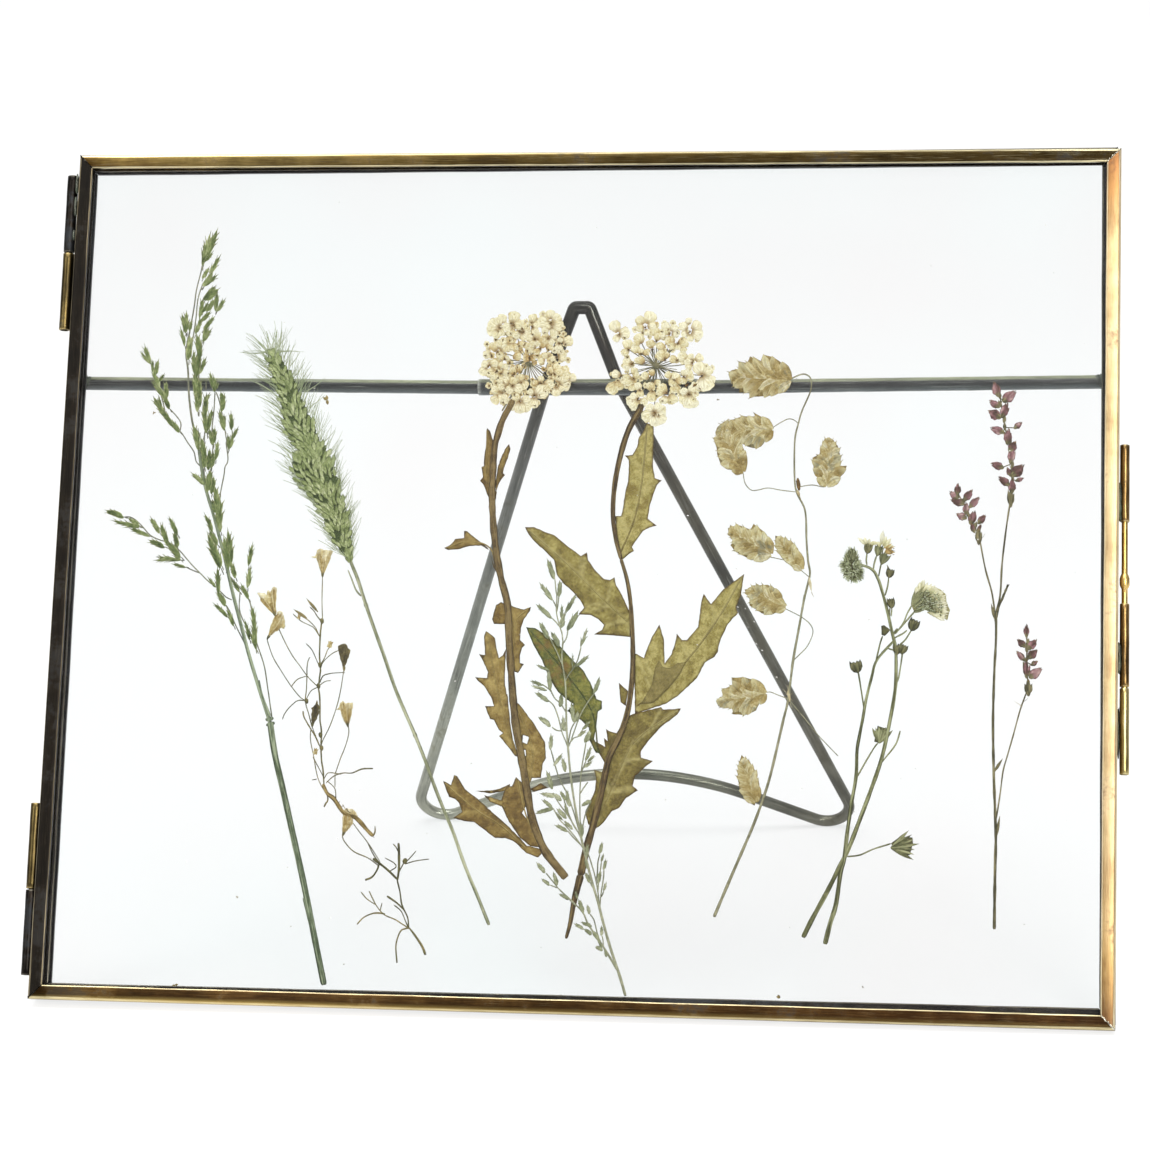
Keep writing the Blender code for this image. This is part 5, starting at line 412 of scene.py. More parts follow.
# ---- Right umbel ---------------------------------------------------------------------------
RIGHT_UMBEL_CENTRE = (656.5, 366)
RIGHT_UMBEL_FLOWERS = [
    ((619.3, 334.2), [(615, 326.2, 5.5), (624.2, 333, 5.5), (616.2, 338.7, 3.3)]),
    ((645.4, 327.5), [(650, 317.5, 6), (640, 320.4, 4.3), (640, 328, 3.7), (652, 326.3, 3.8),
                      (646.7, 332.5, 3)]),
    ((656.7, 341), [(655.4, 331.7, 4), (657.5, 336.7, 3.5), (661.7, 335.8, 3.4)]),
    ((669.6, 334.2), [(665.8, 326.7, 4.2), (666.7, 331.7, 3.5), (674.2, 328, 3.8),
                      (675.4, 334.2, 3.3)]),
    ((690, 331.7), [(683.3, 326.7, 4.2), (688.8, 320.8, 3), (696.7, 325.8, 5),
                    (697.5, 334.2, 5.4), (690, 338.3, 3.5), (684.2, 334.2, 3)]),
    ((628.8, 349.6), [(627.5, 344.2, 4.6), (625, 352.5, 3.8)]),
    ((641.7, 343.3), [(639.2, 338.3, 5), (636.7, 342.5, 3.4)]),
    ((641.3, 353.8), [(635.8, 348.8, 4.2), (640.8, 351.7, 3), (646.3, 352.5, 3)]),
    ((652, 349.6), [(650.4, 343.8, 4)]),
    ((667.5, 350), [(661.3, 346.7, 3.8)]),
    ((678.3, 343.3), [(669.6, 340.8, 4.5), (671.7, 345.8, 3.7), (682.5, 342.5, 4.8),
                      (678.3, 346.7, 3.3), (683.3, 349.6, 3.3)]),
    ((632.5, 363.3), [(627, 361.7, 4.2), (626.7, 366.7, 3.8)]),
    ((644.2, 363.3), [(640.8, 360, 3.8)]),
    ((665, 360), [(660.8, 355.4, 5), (666.7, 355, 3)]),
    ((677.5, 360), [(673.3, 359.2, 3.8)]),
    ((692.5, 362.9), [(682.5, 356.7, 5), (688.3, 361.7, 4), (690.8, 356.7, 3),
                      (699.2, 357.9, 4), (688.8, 366.7, 3.4)]),
    ((702, 375.8), [(699.2, 368.3, 6), (707.5, 370.8, 5), (705.8, 383.3, 7.5), (700, 385, 5),
                    (710.8, 380, 4.5)]),
    ((684.2, 376.3), [(688.3, 372.5, 4), (690, 377.5, 3.8), (684.2, 373.3, 3.4),
                      (683.3, 380.8, 3.3)]),
    ((688.8, 394.2), [(684.2, 391.7, 3.8), (691.7, 389.2, 3.8), (689, 401.7, 6.5),
                      (683.3, 400, 4.2), (694.2, 403.3, 4.2)]),
    ((674, 380), [(675, 377.5, 5), (673.3, 382.5, 4.2), (679.2, 380.8, 3.4),
                  (674.2, 389.2, 4.2), (668.3, 375, 3.4)]),
    ((666.3, 393.3), [(672.5, 399.2, 4.6), (662.5, 388.3, 4.6), (660, 392.5, 3.8),
                      (664.2, 400, 3.8)]),
    ((652.5, 390.8), [(650.4, 386.3, 4.2), (651.7, 396.7, 5)]),
    ((652.5, 381.3), [(657.5, 382.5, 3), (645, 375.8, 3.8), (651.7, 372.5, 3)]),
    ((633.3, 378.3), [(634.2, 370.8, 3.4), (635.8, 375.8, 3.3), (625.8, 379.2, 5),
                      (629.2, 382.5, 3.8), (631.7, 387.5, 3.4)]),
    ((640, 390), [(637.9, 386.7, 4.2), (640, 393.3, 3.8)]),
    ((621.7, 375.8), [(615.8, 374.2, 4), (612.5, 388.3, 6), (619.2, 385.8, 4.2),
                      (622.5, 382.5, 3.4)]),
    ((637.9, 398.8), [(633.8, 396.7, 3.8), (635, 405, 5.4), (630, 402.5, 3.4),
                      (643.3, 402.5, 4.2)]),
    ((654.6, 412.5), [(650, 408.3, 4.2), (647.5, 415.8, 6), (658.3, 407.5, 4.5),
                      (660.8, 414.2, 5), (655, 420.8, 5.5), (661.7, 419.2, 4.5)]),
]
RIGHT_UMBEL_STEM = (5, 3, [(641, 404), (639.5, 410), (629, 429), (621.6, 451), (616, 476.5),
                           (613.3, 500), (613.3, 521), (616, 540), (621, 559)])
RIGHT_UMBEL_STEM_LOW = (2.8, 6, [(621, 559), (626.7, 578.6), (630, 598), (631.8, 621),
                                 (632.8, 645.7), (632.6, 667), (631, 690), (627.3, 713),
                                 (619.6, 736), (609, 757.5), (603.8, 780.7), (599, 801.5),
                                 (592.6, 827), (586.2, 849.3), (580.7, 874.8)])
RIGHT_UMBEL_STEM_FOOT = (6, 2.4, [(580.7, 874.8), (574.3, 900.3), (570.3, 922.6), (566, 938.6)])
RIGHT_UMBEL_LEAVES = {
    "high": [(647, 423), (653.5, 426), (653.8, 438), (653, 454), (653, 466), (654.8, 478),
             (661.8, 480.4), (656.7, 485.5), (653.5, 494), (649.7, 506), (647.8, 518.6),
             (656.7, 525.6), (649.7, 527.6), (643, 531), (638, 538), (632, 547), (634, 551),
             (629, 554), (622, 560), (619.7, 557), (616.5, 538), (615.5, 516), (621, 516),
             (623, 508), (625, 494), (628, 481.6), (629, 466), (628.6, 460), (624.8, 455.5),
             (632.5, 454.8), (637, 447), (639, 437), (642.7, 432.5)],
    "left": [(525, 527), (534, 527), (545, 532), (554, 535), (565, 544), (573, 550), (581, 556),
             (587, 552.4), (588, 560), (595, 570), (604, 579), (610, 580), (614.6, 577.3),
             (616, 585), (622, 595), (627, 606), (631, 615), (631, 637), (619.6, 636), (607, 635),
             (594, 634.5), (602, 630), (604, 625), (598, 619), (590.5, 615), (578.5, 614.5),
             (584, 607.5), (580, 600), (573, 592), (563, 583), (557, 575), (554, 560),
             (545, 551), (535, 542), (529, 535)],
    "right": [(634, 653), (637, 654), (644, 658), (647, 649), (652, 636.5), (659.4, 624.5),
              (664, 640), (664.3, 652), (664.7, 663.5), (671.6, 654), (675.5, 641),
              (676.7, 633.5), (682, 640), (687, 640), (698, 627), (701.5, 601), (703.8, 593.7),
              (711, 604), (723.7, 589), (744.3, 573.8), (741, 595), (736, 607.5), (738, 613),
              (728, 624), (722, 636.5), (719, 645), (718, 652), (714.5, 657), (705, 662.6),
              (697, 678), (678, 696), (665.5, 704), (650, 709), (635, 714)],
    "low": [(627, 716), (640, 712), (661, 707), (663, 709.5), (681, 708.5), (677, 715),
            (661, 727), (650, 739), (641, 751), (641, 757.5), (653, 761), (645.6, 766.6),
            (635, 776), (632.6, 786), (638, 790.4), (626, 798), (619, 808), (612, 811),
            (604, 822), (600, 826), (594, 830), (588, 824), (585, 812), (590, 802), (595, 790),
            (596, 778), (594, 769.6), (602, 772), (612, 740)],
    "low_teeth": [(626, 738), (616, 733), (609, 731), (606, 729), (607.5, 741), (604, 738),
                  (605, 747), (597, 742), (590, 741), (600, 755), (606, 766)],
    "small_tooth": [(618.8, 682.5), (628, 691), (626, 706), (620.5, 702)],
    "shaded": [(526, 627), (535, 628), (549, 636.5), (560, 646), (570.6, 658), (583, 670),
               (590.5, 682.5), (596.6, 699), (602, 701), (602, 709), (598, 711.5), (596.6, 725),
               (594, 739), (601, 753), (596, 753), (588, 738), (589, 728), (583, 722),
               (573.7, 714.6), (567, 711), (573.5, 704), (566, 699), (558, 692), (549, 678),
               (542, 660), (534, 646)],
}

# ---- Fine meadow grass ---------------------------------------------------------------------
MEADOW_STEM = (1.6, 3, [(563, 640), (562, 660), (565, 680), (566, 700), (566.5, 725), (568, 747),
                        (570, 770), (572.5, 790), (576, 812), (580, 832), (584, 850), (588, 866),
                        (592, 882), (598, 902), (602, 918), (608, 940), (614, 959), (620, 977),
                        (625.5, 996)])
MEADOW_UPPER_STRANDS = [
    (1, 1.2, [(555, 579), (556, 590), (557, 597), (556.5, 612), (560, 627), (562, 633),
              (563, 642)]),
    (1, 1, [(559, 596), (558, 605), (556.8, 612)]),
    (1, 1, [(553, 600), (556.8, 608)]),
    (1, 1, [(552, 618), (556, 622), (560, 627)]),
    (1, 1, [(568, 630), (566.5, 638), (563, 644)]),
    (1, 1, [(566, 613), (562, 622), (560, 627)]),
    (1, 1, [(581, 647), (579.5, 654), (576, 664), (568, 676), (565, 682)]),
    (1, 1, [(549, 636), (556, 650), (562, 664)]),
    (1, 1, [(549, 670), (549, 684), (554, 697), (561, 704), (566, 712)]),
    (1, 1, [(542, 684), (550, 690), (554, 697)]),
    (1, 1, [(594, 694), (588, 702), (580, 716), (573, 735), (568.3, 748)]),
    (1, 1.2, [(548, 700), (554, 706), (558.5, 718), (562, 732), (566, 742), (568.2, 748)]),
    (1, 1, [(552, 727), (556, 730), (561.5, 731)]),
    (1, 1, [(575, 722), (571, 730), (568, 745)]),
]
MEADOW_UPPER_SPIKELETS = [
    (555, 579, 547, 559, 7), (553, 600, 539, 582.5, 6), (552, 618, 536, 604, 6.5),
    (559.5, 597, 560, 580, 6), (566, 613, 576, 594, 5.5), (561.5, 618, 562, 605, 3.5),
    (560, 624, 565, 612, 4), (562, 628, 564, 617, 5), (568, 631, 578, 611, 7),
    (581, 647, 587, 628, 4), (549, 638, 539, 622, 7), (560, 646, 551, 632, 7),
    (549, 670, 536.5, 665.5, 4.5), (551, 690, 548, 671, 6), (576, 667, 589, 655, 5),
    (573, 669, 572, 653, 2), (594, 694, 600, 677, 5.5), (543, 685, 530, 681, 4),
    (547, 690, 531, 686, 4), (549, 701, 535, 692.5, 6), (561, 707, 561, 694, 6),
    (574, 722, 571, 702, 5), (575, 723, 578, 711, 6), (551, 726, 538, 716.5, 7),
    (564, 731, 563, 716, 4.5), (566, 731, 561, 723, 4),
]
MEADOW_LOWER_STRANDS = [
    (1, 1, [(586, 743), (584.5, 752), (581.5, 770), (580, 792), (580, 812), (580.5, 830)]),
    (1, 1, [(578, 737), (574, 738), (569, 744)]),
    (1, 1, [(582.5, 730), (578, 737)]),
    (1, 1, [(551, 750), (553, 757), (555, 765), (560, 780), (567, 793), (571, 804), (575, 816),
            (580, 834)]),
    (1, 1, [(555, 797), (561, 806), (569, 817), (577, 830), (581, 838)]),
    (1, 1, [(564, 800), (568, 812), (573, 824), (578, 832)]),
    (1, 1, [(553, 808), (560, 820), (566, 826), (576, 838), (583, 848)]),
    (1, 1, [(568, 831), (573, 837), (582, 846)]),
    (1, 1, [(586, 761), (584, 766), (581.6, 772)]),
    (1, 1, [(588, 782), (583, 789), (580, 794)]),
    (1, 1, [(591, 801), (585, 816), (581.5, 835)]),
    (1.2, 1.2, [(588, 853), (591, 862), (595, 876), (598, 892), (599.5, 908)]),
    (1, 1, [(600, 854), (598, 862), (597.5, 872), (596, 882)]),
    (1, 1, [(601.5, 862), (600, 874), (598.5, 884), (598, 892)]),
    (1, 1, [(604, 870), (603.5, 878), (601, 895), (600, 906)]),
    (1, 1, [(604, 891), (601.5, 897)]),
    (1, 1, [(588, 869), (591, 880)]),
    (1, 1, [(590, 882), (593, 888)]),
]
MEADOW_LOWER_SPIKELETS = [
    (582.5, 730, 590, 721, 4), (578, 737, 586, 730, 4), (586, 743, 590, 730, 7),
    (551, 750, 551, 734, 5), (554, 766, 562, 753.5, 4.5), (566, 772, 562, 757.5, 5),
    (586, 761, 591, 746, 4.5), (588, 762, 594.5, 755, 4), (584, 768, 592, 761, 4),
    (553, 789, 546.5, 771, 6), (555, 796, 540.5, 793.5, 6), (562, 800, 551, 793, 6),
    (553, 808, 542, 799.5, 5), (553, 808, 535, 813.5, 6), (566, 800, 560, 791, 5),
    (568, 801, 567, 790, 4), (571, 806, 565, 796, 6), (568, 815, 564.5, 803, 4),
    (567, 818, 556.5, 808.5, 6), (563, 820, 555, 812, 3), (573, 829, 564, 821, 4.5),
    (568, 831, 555, 825, 5), (591, 800, 581.5, 806, 6), (582.5, 837, 581, 822, 4.5),
    (587, 858, 587, 843, 5), (600, 854, 602, 842, 5), (601.5, 862, 603.5, 854, 3),
    (604, 870, 606, 859, 4.5), (598.5, 884, 600, 870, 5), (604, 891, 606, 882, 3.5),
    (588, 869, 585, 858, 4), (590, 882.5, 585, 872, 5),
]
MEADOW_FOOT_STRAND = (1.2, 2.4, [(558, 888), (563, 893), (573, 902), (583, 913), (588, 924),
                                 (596, 936), (604, 948), (612, 961), (617, 970)])
MEADOW_FOOT_STRANDS = [
    (1, 1, [(546, 873), (555, 884), (558, 888)]),
    (1, 1, [(550, 885), (558, 888)]),
    (1, 1, [(569, 899), (576, 906)]),
    (1, 1, [(590, 914), (594, 920), (597, 932), (600, 942)]),
    (1, 1, [(602, 936), (603, 940), (603.5, 947)]),
    (1, 1, [(584, 929), (592, 933)]),
]
MEADOW_FOOT_SPIKELETS = [
    (545.5, 872.5, 536.5, 863, 6), (550, 885, 541.5, 879, 5), (558, 885, 553, 872.5, 5.5),
    (569, 899, 559, 894, 5), (578, 899, 575, 891, 3), (584, 913, 578, 899, 6),
    (590, 914, 587, 905, 4.5), (584, 929, 574, 923.5, 4.5), (592, 926, 581, 922.5, 5),
    (592, 934, 584, 929.5, 6), (599, 939, 592, 931, 6), (602, 947, 597, 937, 5),
    (603, 949.5, 595, 947, 6), (602, 936, 601.5, 926, 4), (607, 957, 604.5, 949, 4),
]

# ---- Quaking grass -------------------------------------------------------------------------
QUAKING_STEM = (1.4, 3.2, [(789.5, 379.5), (801, 374.4), (807, 375), (811, 379.5), (810.5, 391),
                           (802, 411), (798.4, 423.5), (794.8, 441), (794.6, 478), (797, 493),
                           (804, 507), (806, 519), (806.5, 540), (808, 560), (810, 573),
                           (808, 583), (804, 600), (800, 622), (793, 662), (788, 700),
                           (783, 721.5), (771, 773), (763, 799), (753, 826), (741, 854),
                           (728, 884), (714, 917)])
QUAKING_STRANDS = [
    (1, 1.4, [(804, 595), (800.5, 617), (795, 645), (791, 668)]),
    (1, 1, [(771, 428.6), (780, 423), (788, 419), (794, 420), (798.6, 424)]),
    (1, 1, [(743, 472), (745, 483), (751, 490), (758, 490), (768, 488), (780, 490), (796, 492)]),
    (1, 1, [(827, 484), (824, 487), (812, 485), (798, 487)]),
    (1, 1, [(769, 557), (775, 558), (784, 560)]),
    (1, 1, [(800.5, 569), (802, 571), (809, 577)]),
    (1, 1.4, [(784, 608), (790, 611), (798, 615), (803, 618), (810, 624), (813, 631), (811, 639),
              (806, 648), (799, 655), (794, 660)]),
    (1, 1, [(763.5, 693), (770, 692), (778, 695), (788.5, 699)]),
    (1, 1, [(790, 701), (806, 720), (818, 735), (838, 756)]),
]
QUAKING_HEADS = {
    "high": [(788.5, 379.8), (784.5, 387.7), (777.6, 394.7), (768.6, 397.7), (748.7, 398.2),
             (752.7, 392.7), (737.8, 393.7), (738.3, 390.2), (728.9, 383.3), (733.8, 381.8),
             (726.4, 374.8), (729.9, 369.9), (738.8, 368.4), (738.3, 360.4), (746.7, 361.9),
             (749.7, 354.9), (762.7, 360.4), (763.6, 353), (774.6, 355.9), (782.5, 361.4),
             (787.5, 370.8)],
    "pair": [(771.4, 429), (769.6, 423.5), (764.6, 417.6), (753.2, 410.6), (755.7, 415.6),
             (741.8, 415.6), (730.8, 419.1), (719.9, 424), (716.4, 427), (717.4, 434.5),
             (713, 438.4), (715.9, 447.4), (716.4, 454.3), (719.9, 464.3), (725.9, 470.2),
             (734.8, 472.2), (743.3, 471.2), (744.8, 465.3), (748.7, 457.3), (749.7, 448.4),
             (754.7, 449.4), (761.7, 447.9), (766.6, 441.4), (770.1, 434.5)],
    "right": [(826.8, 483.7), (834.2, 483.2), (840.2, 479.2), (845.2, 473.2), (848.1, 465.8),
              (841.2, 465.8), (841.7, 456.3), (838.2, 444.4), (829.3, 435.5), (823.3, 439.4),
              (820.3, 445.4), (818.8, 454.3), (811.4, 457.3), (812.4, 464.3), (812.9, 471.2),
              (816.3, 478.2), (822.3, 482.7)],
    "middle": [(726.3, 527.4), (737.9, 524), (750.4, 528.8), (753.8, 522.6), (761, 527.9),
               (767.7, 533.7), (770.6, 541.3), (770.1, 551.9), (768.7, 556.7), (760, 560.6),
               (751.3, 561.5), (742.7, 556.7), (734, 551.9), (729.2, 545.2), (733.1, 541.3),
               (728.3, 535.6)],
    "small": [(774.4, 534.6), (783.1, 536.5), (792.7, 541.3), (798.5, 548.1), (801.8, 558.7),
              (800.9, 568.8), (792.7, 566.3), (785, 561.5), (777.3, 552.9), (774.4, 543.3)],
    "lower": [(743.2, 588.9), (752.3, 588), (751.3, 584.6), (767.7, 583.7), (775.4, 587.5),
              (781.2, 593.3), (783.6, 601), (783.6, 607.7), (779.2, 611.5), (769.6, 615.4),
              (761.9, 614.4), (754.2, 609.6), (748.5, 605.8), (748.5, 599)],
    "low": [(714.2, 701.3), (725.3, 693.9), (719.7, 690.2), (732.8, 683.7), (730.9, 676.2),
            (745.8, 676.2), (755.1, 679), (762.5, 686.5), (764.3, 693), (762.5, 701.3),
            (756.9, 711.6), (745.8, 716.2), (731.8, 715.3), (734.6, 709.7), (717, 706.9)],
    "lowest": [(741.1, 753.4), (749.5, 760.8), (756, 770.1), (759.1, 783.1), (758.8, 794.3),
               (755.1, 807.3), (745.8, 801.7), (739.3, 790.6), (736.8, 777.5), (738, 762.7)],
}

# ---- Knapweed ------------------------------------------------------------------------------
KNAPWEED_STEM = (2.8, 5, [(856.6, 561), (861.4, 565), (867, 566.7), (873.5, 570.7),
                          (878.3, 579.5), (881.5, 589.1), (887.1, 609.9), (891.9, 631.6),
                          (895.1, 645.2), (896, 653), (896, 675), (895, 691), (891, 715),
                          (882, 757), (869.6, 793.5), (857, 827), (848, 850), (840.5, 865),
                          (828, 890), (813, 917.5), (803, 937.5)])
KNAPWEED_SIDE_STEM = (2.4, 5, [(894.5, 640), (877, 660), (871.7, 677), (866, 700), (863, 717.5),
                               (859.6, 735), (857, 751), (856, 777), (851, 806), (847, 835),
                               (844, 860), (840.5, 873), (836, 904), (830, 924), (825, 944.2)])
KNAPWEED_STRANDS = [
    (1.2, 1.2, [(867, 553.4), (866.3, 560.3), (867, 565)]),
    (1.2, 1.2, [(876.7, 555.4), (874.3, 563.5), (873.5, 569)]),
    (1.2, 1.2, [(881.1, 564.3), (879.9, 569.9), (878.7, 576.3)]),
    (1, 1, [(888.7, 577.5), (887.9, 585.1), (885.1, 595.5)]),
    (1, 1, [(891.9, 608.3), (891.1, 616.3)]),
    (1.2, 1.2, [(911.1, 630.8), (905.5, 639.6), (900.7, 644.4), (897, 650)]),
    (1, 1, [(882.7, 636), (880.3, 642.8), (878.7, 649.6), (876, 661)]),
    (1.6, 1.4, [(903, 650), (899, 676), (896, 684)]),
    (1.2, 1.2, [(858, 670), (863, 701.4), (864.5, 712)]),
    (1.6, 1.2, [(907.1, 630.4), (902.3, 634), (895.9, 637.2)]),
    (1.2, 1.2, [(918.3, 607.5), (911.9, 614.7), (905.5, 622), (895.1, 634)]),
    (1.2, 1.2, [(911.5, 605.9), (907.1, 613.9), (903.1, 623.6), (895.9, 633.2)]),
    (1.2, 1.2, [(878, 743), (874, 748), (865, 763), (856, 779)]),
    (1.2, 1.2, [(900.3, 730.8), (895.8, 744.2), (885, 758.3), (881, 763)]),
    (1.2, 1.2, [(890.8, 843.7), (873.3, 849.2), (860, 855), (847.5, 856.7)]),
    (1, 1, [(888, 648.5), (897, 651)]),
]
KNAPWEED_BUDS = [  # centre, width, height
    (868.3, 548.2, 8.5, 10), (889.9, 573.1, 8.7, 8), (891.1, 603.1, 8.4, 8.8),
    (913.5, 624.8, 11.6, 11), (897, 649, 9.2, 9.2), (903, 649, 9.2, 9.2), (856.3, 666.6, 13, 13),
]
KNAPWEED_BUD_LEAF = [(881.1, 626), (884, 625), (890.3, 630), (884.7, 636), (881.5, 634.8)]
KNAPWEED_HEAD = [(851, 548), (856, 551), (857, 560), (862, 570), (862, 576), (858, 580),
                 (850, 580), (845, 575), (842, 566), (844, 560), (847, 553)]
KNAPWEED_FAN = [(910.7, 604.3), (912, 599.5), (914.7, 594), (918, 592), (916.7, 587.5),
                (922, 586), (925.5, 579.5), (928.7, 585.9), (934.4, 586.7), (940, 589.1),
                (945.6, 593.9), (946.4, 601.1), (950, 609.9), (947.2, 620.4), (942.4, 617.1),
                (936.8, 615.5), (931.2, 612.3), (925.5, 609.9), (919.9, 612.3), (915.1, 613.1)]
KNAPWEED_CAPSULES = [
    [(877.5, 725.8), (882.5, 727.5), (886.7, 728.3), (885.8, 737.5), (880, 743.7),
     (874.2, 741.7)],
    [(890.8, 843.7), (900, 836.7), (912.5, 837.5), (913, 843.3), (910, 855), (905, 855.8),
     (898.3, 850)],
]

# ---- Knotweed ------------------------------------------------------------------------------
KNOTWEED_STEM = (3, 4, [(996, 611), (996, 638.6), (994.3, 672.6), (993, 721), (993.7, 771.5),
                        (995, 809), (995.8, 839), (995, 872.5), (994.3, 929.3)])
KNOTWEED_TALL_AXIS = (1.6, 2.6, [(999.4, 392), (1004.6, 425), (1009, 444), (1011.5, 466),
                                 (1011.5, 490.5), (1006, 530), (1002, 564.6), (1000.3, 594),
                                 (996.5, 612)])
KNOTWEED_SHORT_AXIS = (1.6, 2.4, [(957, 492), (966, 508), (978.7, 536), (980.5, 544),
                                  (985.6, 570), (991.7, 592), (994.8, 612)])
KNOTWEED_SIDE_AXIS = (1.4, 2, [(1026.5, 630), (1027, 650), (1026.3, 668), (1028.4, 687),
                               (1026, 693.7), (1020, 710.5), (1013.7, 733.6), (1007, 757),
                               (1003, 771.5), (1000, 794.7), (996, 820)])
KNOTWEED_LEAF = (1.5, 5, [(1008, 584.4), (1003, 596), (998.6, 606), (995, 621.4)])
KNOTWEED_TALL_BUDS = [  # centre, width, height
    (996, 389, 9, 13), (1009.7, 396, 12, 14), (994, 403.6, 8, 10), (994, 414, 12, 12),
    (1005, 409.6, 8, 14), (996.8, 430, 12, 9), (1018.4, 425, 7, 8), (1008, 436, 8, 14),
    (1013, 446, 10, 10), (996.8, 465.6, 11, 9), (1018.4, 470, 13, 14), (1003.7, 481, 8, 12),
    (1020, 479.4, 7, 5), (1011.5, 455, 7, 14), (1009, 471.6, 6, 8), (1012, 485.4, 9, 12),
    (1010.6, 497.4, 6, 16),
]
KNOTWEED_SHORT_BUDS = [
    (957.7, 489, 7, 10), (953.4, 495, 9, 8), (968.4, 495, 8, 12), (957, 502, 12, 8),
    (974.4, 502, 7, 12), (966, 508, 8, 10), (961, 516, 9, 9), (972.7, 517, 9, 12),
    (982, 519, 8, 9), (979.6, 527.6, 4, 6), (972.7, 527.6, 6, 8), (978.7, 536, 6, 14),
]
KNOTWEED_SIDE_BUDS = [
    (1026.5, 630.5, 5, 11), (1021, 643, 8, 9), (1032.6, 644, 9, 11), (1020.6, 656, 6, 11),
    (1033, 653.7, 10, 10), (1034.7, 663, 6, 6), (1035.7, 672.6, 11, 13), (1026.3, 668.4, 5, 16),
    (1028.4, 687.3, 7, 14),
]


# ---- Places ------------------------------------------------------------------------------------
ACROSS = np.array((1.0, 0.0, 0.0))
UP = np.array((0.0, math.sin(LEAN), math.cos(LEAN)))
FACING = np.array((0.0, -math.cos(LEAN), math.sin(LEAN)))
pane_low, pane_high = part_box("back_glass")
ORIGIN = np.array((pane_low + pane_high) / 2) - FACING * BACK_PANE_MIDDLE_W * MM


def on_front_leaf(u, v):
    """A place given on the front leaf, which hangs a little askew, in the back leaf's measures."""
    return (u * math.cos(FRONT_TURN) - v * math.sin(FRONT_TURN) + FRONT_SHIFT[0],
            u * math.sin(FRONT_TURN) + v * math.cos(FRONT_TURN) + FRONT_SHIFT[1])


def world(points):
    """Rows of (u, v, w) in millimetres, in the world in metres."""
    rows = np.asarray(points, float).reshape(-1, 3) * MM
    return ORIGIN + rows[:, :1] * ACROSS + rows[:, 1:2] * UP + rows[:, 2:] * FACING


def world_from_front(points):
    """Rows of (u, v, w) in the front leaf's own measures, in the world in metres."""
    rows = np.array(points, float).reshape(-1, 3)
    rows[:, 0], rows[:, 1] = on_front_leaf(rows[:, 0].copy(), rows[:, 1].copy())
    return world(rows)


def camera_axes():
    """The camera's right, down and forward directions, in the front leaf's (u, v, w)."""
    forward = Vector((-math.sin(CAMERA_TURN) * math.cos(CAMERA_PITCH), math.sin(CAMERA_PITCH),
                      -math.cos(CAMERA_TURN) * math.cos(CAMERA_PITCH)))
    level = forward.cross(Vector((0, 1, 0))).normalized()
    upward = level.cross(forward)
    right = level * math.cos(CAMERA_ROLL) + upward * math.sin(CAMERA_ROLL)
    return np.array(right), np.array(forward.cross(right)), np.array(forward)


RIGHT, DOWN, FORWARD = camera_axes()


def world_from_pixels(points):
    """Rows of (x, y, w): what the camera sees at that pixel, w millimetres from the front face."""
    rows = np.asarray(points, float).reshape(-1, 3)
    rays = (FORWARD * FOCAL_PX + (rows[:, :1] - PHOTO_SIZE / 2) * RIGHT
            + (rows[:, 1:2] - PHOTO_SIZE / 2) * DOWN)
    reach = (rows[:, 2:] - CAMERA[2]) / rays[:, 2:]
    return world_from_front(np.array(CAMERA) + rays * reach)


# ---- Pieces ------------------------------------------------------------------------------------
class Piece:
    """The points and faces of one piece, with what its materials read at each point.

    shade is (tone, along, edge): a number that belongs to one petal or scale, how far towards
    its tip a point is, and how far towards its edge. grain is (across, along, seed), for fibres
    and brush marks.
    """

    def __init__(self, seed):
        self.chance = random.Random(seed)
        self.points, self.faces, self.looks, self.shade, self.grain = [], [], [], [], []

    def add(self, points, faces, shade, grain, look=0):
        """Adds points and the faces between them, all with one of the piece's materials."""
        start = len(self.points)
        self.points += points
        self.faces += [[start + corner for corner in face] for face in faces]
        self.looks += [look] * len(faces)
        self.shade += shade
        self.grain += grain

    def build(self, name, place, body, looks, replaced=(), slot=None):
        """The finished piece: it rides on a body and replaces nodes; slot is not used."""
        mesh = bpy.data.meshes.new(name)
        mesh.from_pydata(place(self.points).tolist(), [], self.faces)
        for key, values in (("shade", self.shade), ("grain", self.grain)):
            layer = mesh.attributes.new(key, "FLOAT_VECTOR", "POINT")
            layer.data.foreach_set("vector", np.array(values, np.float32).ravel())
        for look in looks:
            mesh.materials.append(look)
        mesh.polygons.foreach_set("material_index", self.looks)
        mesh.polygons.foreach_set("use_smooth", [True] * len(self.faces))
        mesh.update()
        made = bpy.data.objects.new(name, mesh)
        bpy.context.scene.collection.objects.link(made)
        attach(made, body)
        if replaced:
            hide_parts(*replaced)
        return made


def smooth_line(points, step):
    """A smooth curve through the points, with a point about every step."""
    rows = [np.array(p, float) for p in points]
    rows = [2 * rows[0] - rows[1]] + rows + [2 * rows[-1] - rows[-2]]
    line = []
    for a, b, c, d in zip(rows, rows[1:], rows[2:], rows[3:]):
        count = max(1, int(round(np.linalg.norm(c - b) / step)))
        for i in range(count):
            t = i / count
            line.append(0.5 * (2 * b + (c - a) * t + (2 * a - 5 * b + 4 * c - d) * t * t
                               + (3 * b - a - 3 * c + d) * t ** 3))
    line.append(rows[-2])
    return np.array(line)


def grid_faces(rows, columns, closed=False):
    """Four-sided faces between the rows of a net of points."""
    faces = []
    for row in range(rows - 1):
        for column in range(columns if closed else columns - 1):
            after = (column + 1) % columns
            faces.append([row * columns + column, row * columns + after,
                          (row + 1) * columns + after, (row + 1) * columns + column])
    return faces


